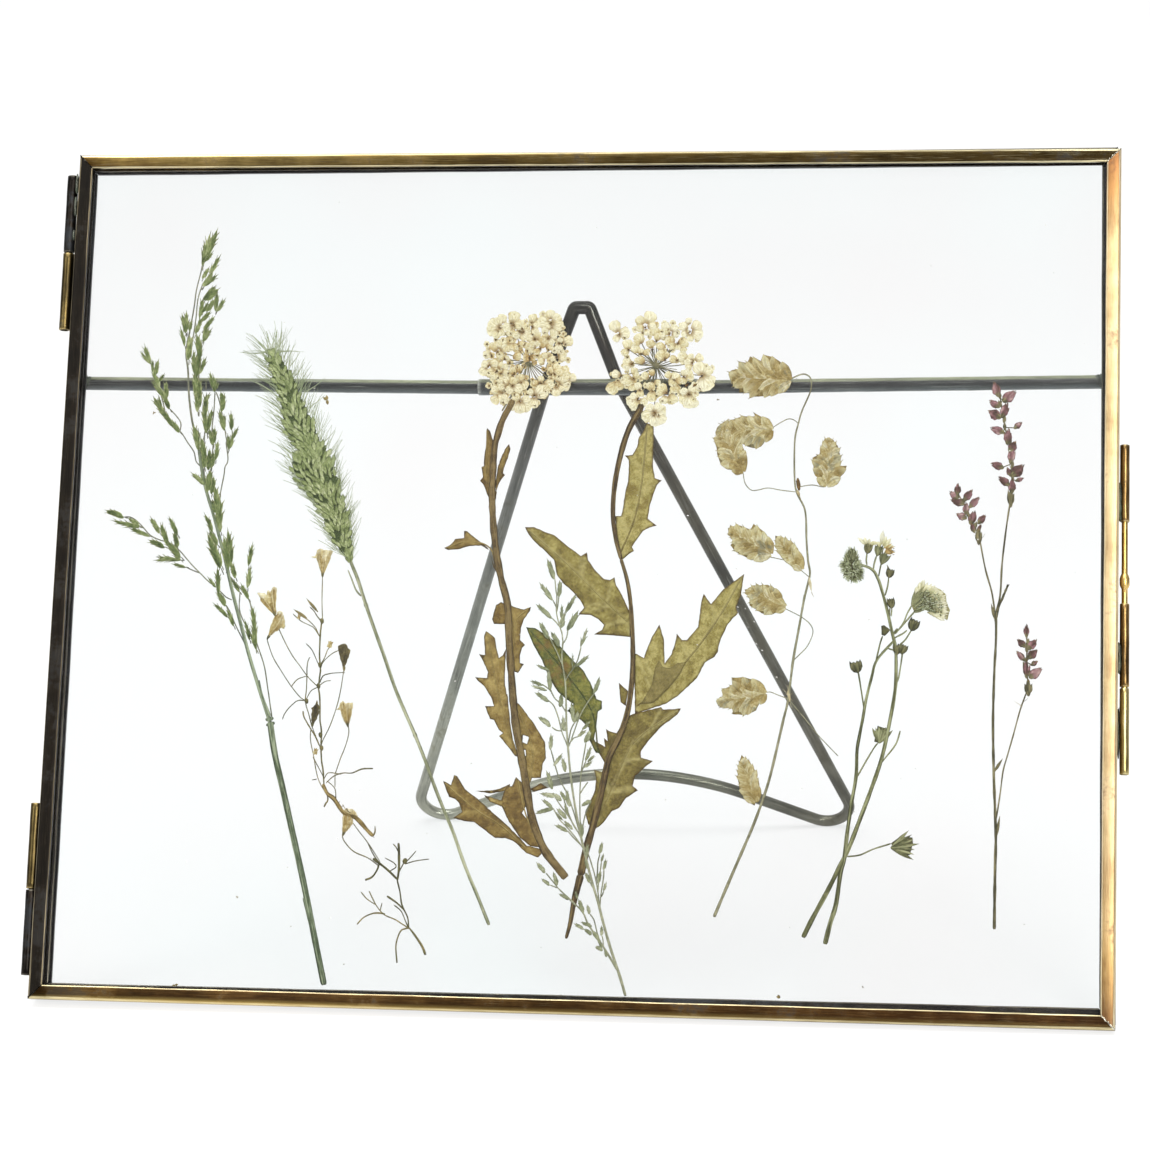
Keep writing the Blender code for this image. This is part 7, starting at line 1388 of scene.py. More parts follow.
# The darker rim of each umbel petal is painted shadow where the petals overlap.
LEFT_PETAL = plant("left umbel petals", [(0.0, "#B2945A"), (0.3, "#CDB983"), (0.6, "#DFD4A6"),
                                         (1.0, "#EFEAC9")], edge="#B09767", edge_from=0.84,
                   base="#8B6C3B", base_to=0.4, crease=("#A4874F", 0.6), tip="#ECE6C3",
                   tip_from=0.75, fibre=0.22, roughness=0.7, spread=0.9, mottle=1.5)
RIGHT_PETAL = plant("right umbel petals", [(0.0, "#B79D63"), (0.3, "#D0C18F"), (0.6, "#E3DBAE"),
                                           (1.0, "#F2EED1")], edge="#B8A575", edge_from=0.84,
                    base="#937747", base_to=0.38, crease=("#AA915C", 0.5), tip="#F0ECCD",
                    tip_from=0.75, fibre=0.2, roughness=0.7, spread=0.9, mottle=1.4)
FLOWER_HEART = plant("flower hearts", [(0.0, "#3B2B19"), (0.5, "#6E5226"), (1.0, "#9C7A43")],
                     fibre=0.3)
RAY_LOOK = plant("umbel rays", [(0.0, "#4A4A38"), (0.5, "#6D6A4F"), (1.0, "#9C9168")], fibre=0.25)
UMBEL_STEM_LOOK = plant("umbel stems", [(0.0, "#43361F"), (0.45, "#655130"), (1.0, "#8F7A4E")],
                        edge="#3D301C", stripe="#7F6C42", fibre=0.45, streak=(0.6, 0.03))
LEFT_LEAF = plant("left umbel leaves", [(0.0, "#5A4520"), (0.35, "#78602F"), (0.65, "#937C43"),
                                        (1.0, "#B09A5F")], edge="#4C3A1B", edge_from=0.5,
                  vein=("#AA9558", 0.55), blotch=("#5E4A24", 0.64, 210.0), fibre=0.15,
                  mottle=1.05, streak=(0.3, 0.3))
RIGHT_LEAF = plant("right umbel leaves", [(0.0, "#5C4F24"), (0.35, "#7B6D35"), (0.65, "#958848"),
                                          (1.0, "#B5A96A")], edge="#553F1A", edge_from=0.42,
                   vein=("#B9AE73", 0.65), blotch=("#7D6C34", 0.64, 95.0), fibre=0.15,
                   mottle=1.15, streak=(0.3, 0.3))
# A darker sheet laid over the right leaf: painted shadow.
LEAF_PAINTED_SHADOW = plant("leaf painted shadow", [(0.0, "#6C6032"), (0.5, "#847744"), (1.0, "#A09455")],
                  edge="#6F6236", fibre=0.15, mottle=1.2, streak=(0.3, 0.3))
SHADED_LEAF = plant("shaded leaf", [(0.0, "#333C1B"), (0.35, "#525729"), (0.65, "#757333"),
                                    (1.0, "#99954A")], edge="#2F3A1C", edge_from=0.35,
                    vein=("#8B8D52", 0.4), blotch=("#7C6233", 0.54, 110.0), fibre=0.2,
                    mottle=1.1, streak=(0.3, 0.3), spread=0.8)
MEADOW_SCALE = plant("meadow scales", [(0.0, "#6C7353"), (0.4, "#8E9370"), (0.75, "#ABAE8B"),
                                       (1.0, "#C8C9AC")], edge="#5F6648", edge_from=0.7,
                     tip="#B9AE84", tip_from=0.8, fibre=0.4)
MEADOW_THREAD = plant("meadow threads", [(0.0, "#6F725A"), (0.5, "#8C8E73"), (1.0, "#B0B093")],
                      fibre=0.2)
QUAKING_SCALE = plant("quaking scales", [(0.0, "#8A743C"), (0.25, "#A89255"), (0.5, "#C2B279"),
                                         (0.75, "#D5CB99"), (1.0, "#E8E2C0")], edge="#7B6A3A",
                      edge_from=0.84, crease=("#8A7742", 0.5), stripe="#927F4B", fibre=0.4,
                      roughness=0.6, tip="#DDD6A8", tip_from=0.62,
                      blotch=("#84836A", 0.55, 190.0), spread=0.9, streak=(0.6, 0.04),
                      mottle=1.5)
QUAKING_STEM_LOOK = plant("quaking stems", [(0.0, "#6C6A4F"), (0.5, "#8A8769"),
                                            (1.0, "#B2AD8C")], edge="#65624A", fibre=0.3)
KNAPWEED_GREEN = plant("knapweed stems", [(0.0, "#474A2B"), (0.5, "#6B6D45"), (1.0, "#97976B")],
                       edge="#3E4127", stripe="#A3A57C", fibre=0.45, streak=(0.6, 0.03))
KNAPWEED_BUD_LOOK = plant("knapweed buds", [(0.0, "#33331C"), (0.5, "#5C5A34"),
                                            (1.0, "#8C875B")], edge="#2A2A16", edge_from=0.6,
                          tip="#8E8860", fibre=0.45)
KNAPWEED_CREAM = plant("knapweed florets", [(0.0, "#B9B384"), (0.4, "#D8D2A6"), (1.0, "#F3F0D8")],
                       edge="#B4AE7E", edge_from=0.75, base="#A8A06A", tip="#F6F3DC", fibre=0.3)
KNAPWEED_FUZZ = plant("knapweed fuzz", [(0.0, "#949C6C"), (0.5, "#C0C799"), (1.0, "#E9EDD2")],
                      base="#747B50", base_to=0.2, fibre=0.15, spread=1.0)
KNAPWEED_TAN = plant("knapweed tan florets", [(0.0, "#8F7138"), (0.5, "#BB9D5B"),
                                              (1.0, "#DCC68D")], fibre=0.3, tip="#D9C795")
KNOTWEED_PINK = plant("knotweed buds", [(0.0, "#4E3A2C"), (0.25, "#7A5753"), (0.5, "#9B6C72"),
                                        (0.75, "#B58A8C"), (1.0, "#D0B2AC")], edge="#583C3C",
                      edge_from=0.6, tip="#8B6A58", tip_from=0.74, base="#6A633C", base_to=0.35,
                      crease=("#5F403F", 0.55), fibre=0.4, mottle=2.0, spread=0.9)
KNOTWEED_GREEN = plant("knotweed stems", [(0.0, "#43422A"), (0.5, "#676142"), (1.0, "#93895F")],
                       edge="#3F3F2A", stripe="#938B66", fibre=0.4, streak=(0.6, 0.03))
PAPER_SHEATH = plant("papery sheaths", [(0.0, "#A8966A"), (0.5, "#C6B88F"), (1.0, "#E2D9BB")],
                     fibre=0.3)
DUST = plant("dust", [(0.0, "#8C8A80"), (0.5, "#C9C8C2"), (1.0, "#FFFFFF")], fibre=0.1)
CHIP = plant("plant crumbs", [(0.0, "#6A5A34"), (0.5, "#8F7D4B"), (1.0, "#B3A069")], fibre=0.3)

# ---- The frame's tubes, pins and solder, in mm ---------------------------------------------------
# Tubes and pins along v: name, ends, material, body and slot.
HINGE_TUBES = (
    ("hinge_upper_front", (101.8, 81.7), DARK_BRASS, "front_leaf", "dark_brass"),
    ("hinge_upper_back", (81.4, 61.4), OLIVE_BRASS, "back_leaf", "bright_brass"),
    ("hinge_lower_back", (-59.0, -80.1), OLIVE_BRASS, "back_leaf", "bright_brass"),
    ("hinge_lower_front", (-80.4, -101.3), DARK_BRASS, "front_leaf", "dark_brass"),
)
HINGE_PINS = (("hinge_pin_upper", (101.2, 62.0)), ("hinge_pin_lower", (-59.6, -100.7)))
CLASP_TUBES = (
    ("clasp_tube_upper", (31.9, 13.0), BRONZE, "front_leaf", "antique_brass"),
    ("clasp_tube_middle", (-6.9, -27.0), BRONZE, "front_leaf", "antique_brass"),
    ("clasp_tube_lower", (-27.3, -48.0), PALE_BRASS, "back_leaf", "bright_brass"),
)
HINGE_RADIUS = 1.4
CLASP_RADIUS = 1.15
PIN_BORE = 0.92
PIN_RADIUS = 0.75
# The clasp pin runs down to its knob, which is a row of (place, radius, how worn), and on.
CLASP_PIN_ABOVE = (29.0, 1.0)
CLASP_PIN_KNOB = [(0.4, 0.75, 0.3), (0.0, 0.95, 0.6), (-0.8, 1.2, 0.7), (-2.3, 1.2, 0.7),
                  (-3.0, 0.95, 0.6), (-3.3, 0.75, 0.3)]
CLASP_PIN_BELOW = (-4.0, -39.0)
CROSSBAR_START = -128.6
SLEEVE_ENDS = (-26.6, 28.4)
EASED_END = 0.12
SHARP_ANGLE_DEG = 50
# Solder at the mitres of the front leaf: label and, for each, the corner's sides and its size.
MITRE_SOLDER = (("dull", ((-1, 1, 0.14), (-1, -1, 0.14))),
                ("bright", ((1, 1, 0.17), (1, -1, 0.19))))
CORNERS = ((-1, -1), (-1, 1), (1, -1), (1, 1))
# Solder at the crossbar's ends: label, place along the bar and the way to its middle.
CROSSBAR_SOLDER = (("left", -127.9, 1), ("right", 127.4, -1))
# Solder on the hinge tubes: label, body and (u, v, length) of each lump.
HINGE_SOLDER = (
    ("hinge_upper_front", "front_leaf", [(-131.3, 99.5, 5.5), (-131.35, 93.5, 5.5),
                                         (-131.35, 86, 3)]),
    ("hinge_upper_back", "back_leaf", [(-131.3, 74, 6)]),
    ("hinge_lower_back", "back_leaf", [(-131.3, -68, 6)]),
    ("hinge_lower_front", "front_leaf", [(-131.35, -86, 4), (-131.35, -91, 3),
                                         (-131.3, -97, 5)]),
)
HINGE_SOLDER_W = {"front_leaf": -2.9, "back_leaf": -4.6}
# Solder on the clasp tubes: label, body, seed and (u, v, w, size u, size v, size w) of each lump.
CLASP_SOLDER = (
    ("upper", "front_leaf", 81, [(131.5, 19.5, -2.9, 0.55, 3.0, 0.65),
                                 (131.5, 16.0, -2.9, 0.55, 2.6, 0.6),
                                 (131.6, 13.9, -2.9, 0.5, 0.9, 0.6)]),
    ("middle", "front_leaf", 82, [(131.5, -18.5, -2.9, 0.55, 2.2, 0.6),
                                  (131.5, -21.8, -2.9, 0.5, 2.2, 0.6)]),
    ("lower", "back_leaf", 83, [(131.4, -38, -4.7, 0.4, 6, 0.5)]),
)


# ---- The frame's rails, tubes and wire -----------------------------------------------------------
def rail_section(front_w, pane_w, face):
    """The channel's section, from its outside into its groove: (distance in, w, how worn)."""
    back_w = front_w - LEAF_DEPTH
    groove = pane_w + PANE_GAP
    return [
        (0.55, back_w, 0.3), (0.14, back_w + 0.1, 0.8), (0.0, back_w + 0.45, 0.3),
        (0.0, front_w - 0.95, 0.2), (0.07, front_w - 0.52, 0.9), (0.24, front_w - 0.24, 1.0),
        (0.5, front_w - 0.08, 0.7), (0.85, front_w, 0.1), (face / 2, front_w, 0.0),
        (face - 0.5, front_w, 0.1), (face - 0.2, front_w - 0.05, 0.9),
        (face - 0.04, front_w - 0.2, 1.0), (face, front_w - 0.45, 0.6), (face, groove, 0.2),
        (GROOVE_FLOOR, groove, 0.0), (GROOVE_FLOOR, groove - GROOVE_WIDTH, 0.0),
        (face, groove - GROOVE_WIDTH, 0.1), (face, back_w + 0.3, 0.4),
        (face - 0.25, back_w, 0.6),
    ]


def rail(name, side, section, look, body, place, slot, seed):
    """One rail, with mitred ends and the slight waves of a rail bent by hand."""
    piece = Piece(seed)
    steps, count = 72, len(section)
    half_u, half_v = FRAME_WIDTH / 2, FRAME_HEIGHT / 2
    points, shade, grain = [], [], []
    for step in range(steps + 1):
        t = step / steps
        for index, (inset, w, worn) in enumerate(section):
            reach = (half_u if side in ("top", "bottom") else half_v) - inset - MITRE_GAP
            along = reach * (2 * t - 1)
            wave = 0.045 * wobble(along / 11, seed + 0.31 * (inset > 1))
            inner = inset + wave * (0.3 < inset < GROOVE_FLOOR or inset > GROOVE_FLOOR + 0.5)
            depth = w - abs(wave) * (0.2 < inset)
            if side in ("top", "bottom"):
                out = 1 if side == "top" else -1
                points.append((along, out * (half_v - inner), depth))
            else:
                out = 1 if side == "right" else -1
                points.append((out * (half_u - inner), along, depth))
            ends = max(0.0, 1 - 8 * min(t, 1 - t)) * 0.4
            shade.append((inset / FRONT_RAIL_FACE, t, min(worn + ends, 1)))
            grain.append((index * 0.8 + inset, along, seed))
    faces = grid_faces(steps + 1, count, closed=True)
    faces += [list(range(count))[::-1], [steps * count + k for k in range(count)]]
    piece.add(points, faces, shade, grain)
    made = piece.build(name, place, body, [look], [name.replace("looks_", "")], slot)
    orient(made)
    sharpen(made, SHARP_ANGLE_DEG)


def orient(made):
    """Turns the faces outwards."""
    mesh = bmesh.new()
    mesh.from_mesh(made.data)
    bmesh.ops.recalc_face_normals(mesh, faces=mesh.faces)
    mesh.to_mesh(made.data)
    mesh.free()


def sharpen(made, angle):
    """Marks the edges that turn by more than an angle in degrees, so that they stay crisp."""
    mesh = bmesh.new()
    mesh.from_mesh(made.data)
    for edge in mesh.edges:
        if len(edge.link_faces) == 2 and edge.calc_face_angle(0) > math.radians(angle):
            edge.smooth = False
    mesh.to_mesh(made.data)
    mesh.free()


def crossbar_rise(u):
    """How far the stand's rod bends up, towards its ends, from its straight middle."""
    beyond = max(abs(u) - CROSSBAR_STRAIGHT, 0)
    return CROSSBAR_RISE * beyond / (CROSSBAR_END - CROSSBAR_STRAIGHT)


def turned(name, profile, axis, centre, look, body, slot, nodes, seed, hollow=False, rise=None):
    """A tube or rod round an axis along u or v: profile is (place along, radius, how worn).

    The tone runs from 0 at its lower or left side, round the front or back, to 1 opposite.
    Rise gives how far the axis has bent upwards at a place along it.
    """
    piece, sides = Piece(seed), 32
    points, shade, grain = [], [], []
    for along, radius, worn in profile:
        for side in range(sides):
            turn = 2 * math.pi * side / sides
            r = radius * (1 + 0.02 * wobble(along / 3 + 2 * math.cos(turn), seed))
            c, s = r * math.cos(turn), r * math.sin(turn)
            if axis == "v":
                points.append((centre[0] + c, along, centre[1] + s))
            else:
                bent = rise(along) if rise else 0.0
                points.append((along, centre[0] + bent + c, centre[1] + s))
            shade.append((0.5 + 0.5 * math.cos(turn), 0.5 + along / 280, worn))
            grain.append((turn * radius, along, seed))
    faces = grid_faces(len(profile), sides, closed=True)
    last = (len(profile) - 1) * sides
    if hollow:
        faces += [[last + k, last + (k + 1) % sides, (k + 1) % sides, k] for k in range(sides)]
    else:
        faces += [list(range(sides))[::-1], [last + k for k in range(sides)]]
    piece.add(points, faces, shade, grain)
    made = piece.build(name, world, body, [look], nodes, slot)
    orient(made)
    sharpen(made, SHARP_ANGLE_DEG)


def rod_profile(start, end, radius, steps=40):
    """A rod's profile with eased ends."""
    rows = [(start, radius - 0.25, 0.6),
            (start + math.copysign(EASED_END, end - start), radius, 0.9)]
    for step in range(1, steps):
        rows.append((start + (end - start) * step / steps, radius, 0.1))
    rows += [(end - math.copysign(EASED_END, end - start), radius, 0.9),
             (end, radius - 0.25, 0.6)]
    return rows


def tube_profile(start, end, radius, bore):
    """A short tube's profile, down the outside and back up the bore."""
    way = math.copysign(1, end - start)
    rows = [(start, bore, 0.4), (start, radius - EASED_END, 1.0),
            (start + EASED_END * way, radius, 0.9)]
    steps = 14
    for step in range(1, steps):
        rows.append((start + (end - start) * step / steps, radius, 0.15))
    rows += [(end - EASED_END * way, radius, 0.9), (end, radius - EASED_END, 1.0),
             (end, bore, 0.4)]
    return rows


def solder(name, spots, body, seed, place=world, look=None):
    """Lumps of solder run together: each is (u, v, w, size u, size v, size w)."""
    piece = Piece(seed)
    rings, sides = 9, 16
    for u, v, w, du, dv, dw in spots:
        phase = piece.chance.random() * 9
        points, shade, grain = [], [], []
        for ring in range(rings + 1):
            a = math.pi * ring / rings
            for side in range(sides):
                b = 2 * math.pi * side / sides
                x, y, z = math.sin(a) * math.cos(b), math.sin(a) * math.sin(b), math.cos(a)
                r = 1 + 0.16 * wobble(x * 2.1 + y * 1.7 + z, phase) + 0.08 * wobble(
                    x * 5 - y * 6, phase + 2)
                points.append((u + du * x * r, v + dv * y * r, w + dw * z * r))
                shade.append((seed % 1, ring / rings, 0.3 + 0.5 * max(z, 0)))
                grain.append((x * du * 2, y * dv * 2, phase))
        piece.add(points, grid_faces(rings + 1, sides, closed=True), shade, grain)
    piece.build(name, place, body, [look or SOLDER])


def stand_point(along, across, angle_deg):
    """A place on the stand: along its legs from the pivot, across them, at the legs' angle."""
    angle = math.radians(angle_deg)
    return np.array((WIRE_CENTRE_U + across,
                     PIVOT_AXIS[0] - along * math.cos(angle) + WIRE_OFFSET * math.sin(angle),
                     PIVOT_AXIS[1] - along * math.sin(angle) - WIRE_OFFSET * math.cos(angle)))


def bend(before, corner, after, radius, steps):
    """A rounded corner between two straight lengths of wire, as points from one to the other."""
    back = (Vector(before) - Vector(corner)).normalized()
    ahead = (Vector(after) - Vector(corner)).normalized()
    half_angle = back.angle(ahead) / 2
    centre = Vector(corner) + (back + ahead).normalized() * (radius / math.sin(half_angle))
    start = Vector(corner) + back * (radius / math.tan(half_angle)) - centre
    sweep = math.pi - 2 * half_angle
    side = 1 if back.cross(ahead) < 0 else -1
    points = []
    for step in range(steps + 1):
        turn = side * sweep * step / steps
        points.append((centre.x + start.x * math.cos(turn) - start.y * math.sin(turn),
                       centre.y + start.x * math.sin(turn) + start.y * math.cos(turn)))
    return points


def stand_wire():
    """The stand's loop of round wire: arch, foot bends, straight legs and narrow apex."""
    half, knee = [], (KNEE, LEG_HALF_WIDTH + LEG_SPREAD * KNEE)
    for step in range(13):
        across = ARCH_HALF_WIDTH * step / 12
        half.append((ARCH_CROWN + ARCH_RADIUS - math.sqrt(ARCH_RADIUS ** 2 - across ** 2),
                     across, LEG_ANGLE_DEG))
    foot = bend(half[-1][:2], FOOT_CORNER, knee, FOOT_BEND_RADIUS, 14)
    half += [(along, across, LEG_ANGLE_DEG) for along, across in foot]
    last = half[-1]
    for step in range(1, 25):
        t = step / 24
        half.append((last[0] + (knee[0] - last[0]) * t, last[1] + (knee[1] - last[1]) * t,
                     LEG_ANGLE_DEG))
    for along, across in bend(knee, (-APEX_LENGTH, APEX_HALF_WIDTH), (-APEX_LENGTH, 0),
                              APEX_BEND_RADIUS, 6):
        half.append((along, across, APEX_ANGLE_DEG))
    places = half + [(along, -across, angle) for along, across, angle in reversed(half[1:])]
    centres = [stand_point(*place) for place in places]
    piece = Piece(61)
    sides, run = 20, 0.0
    points, shade, grain = [], [], []
    for index, centre in enumerate(centres):
        ahead = centres[(index + 1) % len(centres)] - centre
        behind = centre - centres[index - 1]
        run += np.linalg.norm(behind) if index else 0
        along = ahead / np.linalg.norm(ahead) + behind / np.linalg.norm(behind)
        along /= np.linalg.norm(along)
        angle = math.radians(places[index][2])
        outward = np.array((0, math.sin(angle), -math.cos(angle)))
        across = np.cross(along, outward)
        across /= np.linalg.norm(across)
        outward = np.cross(across, along)
        swelling = 1 + APEX_SWELLING * math.exp(-(places[index][0] + APEX_LENGTH) / 5)
        for side in range(sides):
            turn = 2 * math.pi * side / sides
            r = WIRE_RADIUS * swelling * (1 + 0.012 * wobble(run / 5 + 1.5 * math.cos(turn), 3))
            points.append(tuple(centre + across * r * math.cos(turn)
                                + outward * r * math.sin(turn)))
            shade.append((0.5 + 0.5 * math.cos(turn), index / len(centres), 0.2))
            grain.append((turn * WIRE_RADIUS, run, 6.1))
    count = len(centres)
    faces = grid_faces(count, sides, closed=True)
    faces += [[(count - 1) * sides + k, (count - 1) * sides + (k + 1) % sides, (k + 1) % sides, k]
              for k in range(sides)]
    piece.add(points, faces, shade, grain)
    made = piece.build("looks_stand_wire", world, "stand", [PATINA], ["stand_wire"],
                       "patinated_wire")
    orient(made)


def build_frame():
    """All of the frame's metal, and the material of its two panes."""
    front = rail_section(0.0, FRONT_PANE_W, FRONT_RAIL_FACE)
    back = rail_section(BACK_LEAF_W, BACK_PANE_W, BACK_RAIL_FACE)
    for index, side in enumerate(("top", "bottom", "left", "right")):
        rail("looks_front_rail_" + side, side, front, PAINTED_LIGHT_RAIL_BRASS[side], "front_leaf",
             world_from_front, "antique_brass", 1.37 + index * 2.11)
        rail("looks_back_rail_" + side, side, back, DARK_BRASS, "back_leaf", world,
             "dark_brass", 14.21 + index * 1.93)
    for name, ends, look, body, slot in HINGE_TUBES:
        turned("looks_" + name, tube_profile(*ends, HINGE_RADIUS, PIN_BORE), "v", HINGE_AXIS,
               look, body, slot, [name], 21.3 + ends[0], hollow=True)
    for name, ends in HINGE_PINS:
        turned("looks_" + name, rod_profile(*ends, PIN_RADIUS), "v", HINGE_AXIS, DARK_BRASS,
               "back_leaf", "dark_brass", [name], 33.1)
    for name, ends, look, body, slot in CLASP_TUBES:
        turned("looks_" + name, tube_profile(*ends, CLASP_RADIUS, PIN_BORE), "v", CLASP_AXIS,
               look, body, slot, [name], 41.7 + ends[0], hollow=True)
    profile = (rod_profile(*CLASP_PIN_ABOVE, PIN_RADIUS, 20)[:-2] + CLASP_PIN_KNOB
               + rod_profile(*CLASP_PIN_BELOW, PIN_RADIUS, 20)[2:])
    turned("looks_clasp_pin", profile, "v", CLASP_AXIS, BRIGHT_BRASS, "clasp_pin",
           "bright_brass", ["clasp_pin"], 47.9)
    turned("looks_stand_crossbar",
           rod_profile(CROSSBAR_START, CROSSBAR_END, CROSSBAR_RADIUS, 120), "u", PIVOT_AXIS,
           BAR, "back_leaf", "patinated_wire", ["stand_crossbar"], 53.3, rise=crossbar_rise)
    turned("looks_stand_sleeve", tube_profile(*SLEEVE_ENDS, SLEEVE_RADIUS, SLEEVE_BORE), "u",
           PIVOT_AXIS, BAR, "stand", "patinated_wire", ["stand_sleeve"], 57.1, hollow=True)
    stand_wire()
    for node, slot in (("back_glass", "glass"), ("front_glass", "glass")):
        pane = frame["nodes"][node]
        pane.data.materials.clear()
        pane.data.materials.append(GLASS)


def mitre_seam(half_u, half_v, side_u, side_v, face, w, size, chance):
    """Solder that fills one mitre, across the face and down the outer corner."""
    spots = []
    away = 1 if w > BACK_LEAF_W else -1
    for step in range(13):
        inset = 0.35 + (face - 0.6) * step / 12
        slip = chance.uniform(-0.12, 0.12)
        spots.append((side_u * (half_u - inset + slip), side_v * (half_v - inset - slip), w,
                      size * chance.uniform(0.7, 1.2), size * chance.uniform(0.7, 1.2), 0.09))
    for step in range(5):
        spots.append((side_u * (half_u - 0.14), side_v * (half_v - 0.14),
                      w - (0.5 + step * 0.65) * away, 0.14, 0.14, 0.42))
    return spots


def build_solder():
    """The solder that shows: seams at the mitres, fillets at the crossbar, lumps on the tubes."""
    corners = (FRAME_WIDTH / 2, FRAME_HEIGHT / 2)
    chance = random.Random(5)
    for label, rows in MITRE_SOLDER:
        spots = []
        for side_u, side_v, size in rows:
            spots += mitre_seam(*corners, side_u, side_v, FRONT_RAIL_FACE, -0.05, size, chance)
        solder("mitre_solder_front_" + label, spots, "front_leaf", 5, world_from_front,
               SEAM if label == "bright" else DARK_BRASS)
    spots = []
    for side_u, side_v in CORNERS:
        spots += mitre_seam(*corners, side_u, side_v, BACK_RAIL_FACE,
                            BACK_LEAF_W - LEAF_DEPTH + 0.05, 0.25, chance)
    solder("mitre_solder_back", spots, "back_leaf", 6, world)
    for label, u, way in CROSSBAR_SOLDER:
        v = PIVOT_AXIS[0] + CROSSBAR_RISE
        solder("crossbar_solder_" + label,
               [(u, v, -8.2, 1.0, 1.9, 0.8), (u + 1.1 * way, v + 0.2, -8.4, 0.8, 1.45, 0.8)],
               "back_leaf", 71 + (way > 0))
    for label, body, rows in HINGE_SOLDER:
        w = HINGE_SOLDER_W[body]
        solder("solder_" + label, [(u, v, w, 0.55, size / 2, 0.55) for u, v, size in rows],
               body, 75 + len(label))
    for label, body, seed, spots in CLASP_SOLDER:
        solder("solder_clasp_" + label, spots, body, seed)

# ---- Small parts of the plants, in pixels of the photograph --------------------------------------
# Joints of a stalk: (x, y, radius).
BROME_JOINTS = ((269.5, 719, 4.4), (270.5, 724, 4.7))
# Strips that lie along a stalk: (width at the start, width at the end, path).
BROME_SHEATHS = ((3.0, 0.8, [(270, 716), (266, 706), (262, 694), (259, 680)]),
                 (1.6, 0.6, [(313, 930), (309, 922), (306, 910), (303, 898)]))
# Which points of the foxtail's stem carry a joint.
FOXTAIL_JOINT_POINTS = (3, 8)
FOXTAIL_ROWS = 42
FOXTAIL_BODY_SPACING_PX = 4.9
BELL_JOINTS = ((320, 665), (318.5, 686), (320.5, 735), (321.5, 748), (306.5, 701), (322, 621))
WITHERED_BELLS = (3, 4)
# How many of the sprig's strands are on its top; the others are on its root.
BELL_TOP_STRANDS = 24
# Narrow leaves, from the tip to the foot.
BELL_LEAFLETS = ((306, 598, 318, 612), (293, 609, 307, 618))
# Where the root's hairs start: its upper end and how far it reaches.
BELL_ROOT_START = (323, 784)
BELL_ROOT_REACH = (50, 52)
LEFT_UMBEL_GAPS = ((533, 370, 6), (540, 374, 6), (514, 360, 5), (520, 361, 4))
RIGHT_UMBEL_BRACTS = ((686.7, 385), (695, 385))
# A darker patch over a lobe of the right leaf: painted shadow.
RIGHT_LEAF_PAINTED_SHADOW = [(641, 704), (652, 684), (655, 668), (659, 660), (663, 667), (670, 668),
                   (678, 663), (686, 662), (680, 674), (668, 689), (653, 703)]
QUAKING_JOINT = (798.4, 484.4)
# Papery sheaths, from foot to tip.
QUAKING_SHEATHS = (((809, 577), (811.5, 592)), ((788, 690), (790, 703)),
                   ((797, 490), (800, 497)))
QUAKING_TUFT = (788.5, 696)
# The pair of heads: foot and tip of each.
QUAKING_PAIR_LOWER = ((742, 470), (718, 428))
QUAKING_PAIR_UPPER = ((770, 430), (720, 430))
# Where the pair's outline parts into its two heads.
QUAKING_LOWER_HEAD = {"right": 752, "top": 419, "left out": 749.7}
QUAKING_UPPER_HEAD = {"bottom": 450, "corner": (717, 430)}
# In how many directions an umbel's rim is measured.
UMBEL_SECTORS = 24
KNAPWEED_BUD_FEET = ((867, 554), (888.7, 578), (892, 608.5), (911, 631), (897, 655), (901, 654),
                     (858, 673))
# Scales of the flowers: foot, tip and width.
KNAPWEED_SPUR = ((889, 569), (887.1, 566.3), 2.0)
KNAPWEED_SPUR_HAIR = ((888.4, 568.6), (887, 564.8))
KNAPWEED_LEFT_PETALS = (
    ((866, 544), (857.4, 537.6), 3.4), ((867, 544), (864, 537.2), 3.4),
    ((868, 544), (870, 538.5), 3.0), ((869, 544.5), (880.5, 542.5), 3.2),
    ((868, 545), (876, 541.0), 3.0), ((866, 545), (860, 540.5), 2.6),
)
KNAPWEED_RIGHT_PETALS = (
    ((881, 545), (883.2, 530.2), 4.6), ((883, 546), (886.5, 536), 4.4),
    ((885, 547), (891, 538), 4.2), ((886, 549), (893.5, 545), 4.0),
    ((880, 548), (878.5, 541), 3.4), ((884, 548), (889, 541.5), 4.0),
)
# The flowers' green cups: foot and tip.
KNAPWEED_LEFT_CUP = ((867, 553.5), (868.5, 542.5))
KNAPWEED_MIDDLE_CUP = ((877.0, 556), (880.3, 544.0))
KNAPWEED_RIGHT_CUP = ((881.3, 564.5), (886.6, 551.5))
KNAPWEED_TAN_FLORETS = (885.5, 551)
KNAPWEED_DARK_HAIRS = (889, 551)
KNAPWEED_CAPSULE_FEET = ((879.5, 743), (890.8, 848))
KNAPWEED_HEAD_MIDDLE = (851.8, 567)
KNAPWEED_HEAD_BRACTS = (
    ((853, 560), (851.6, 546.5), 2.6), ((851, 560), (848.5, 550), 2.4),
    ((855, 560), (855.2, 549.5), 2.4), ((849, 561), (845.5, 554), 2.2),
    ((857, 561), (858, 553.5), 2.0),
)
KNAPWEED_FAN_MIDDLE = (927.0, 604.5)
KNAPWEED_FAN_FOOT = (912.0, 607.0)
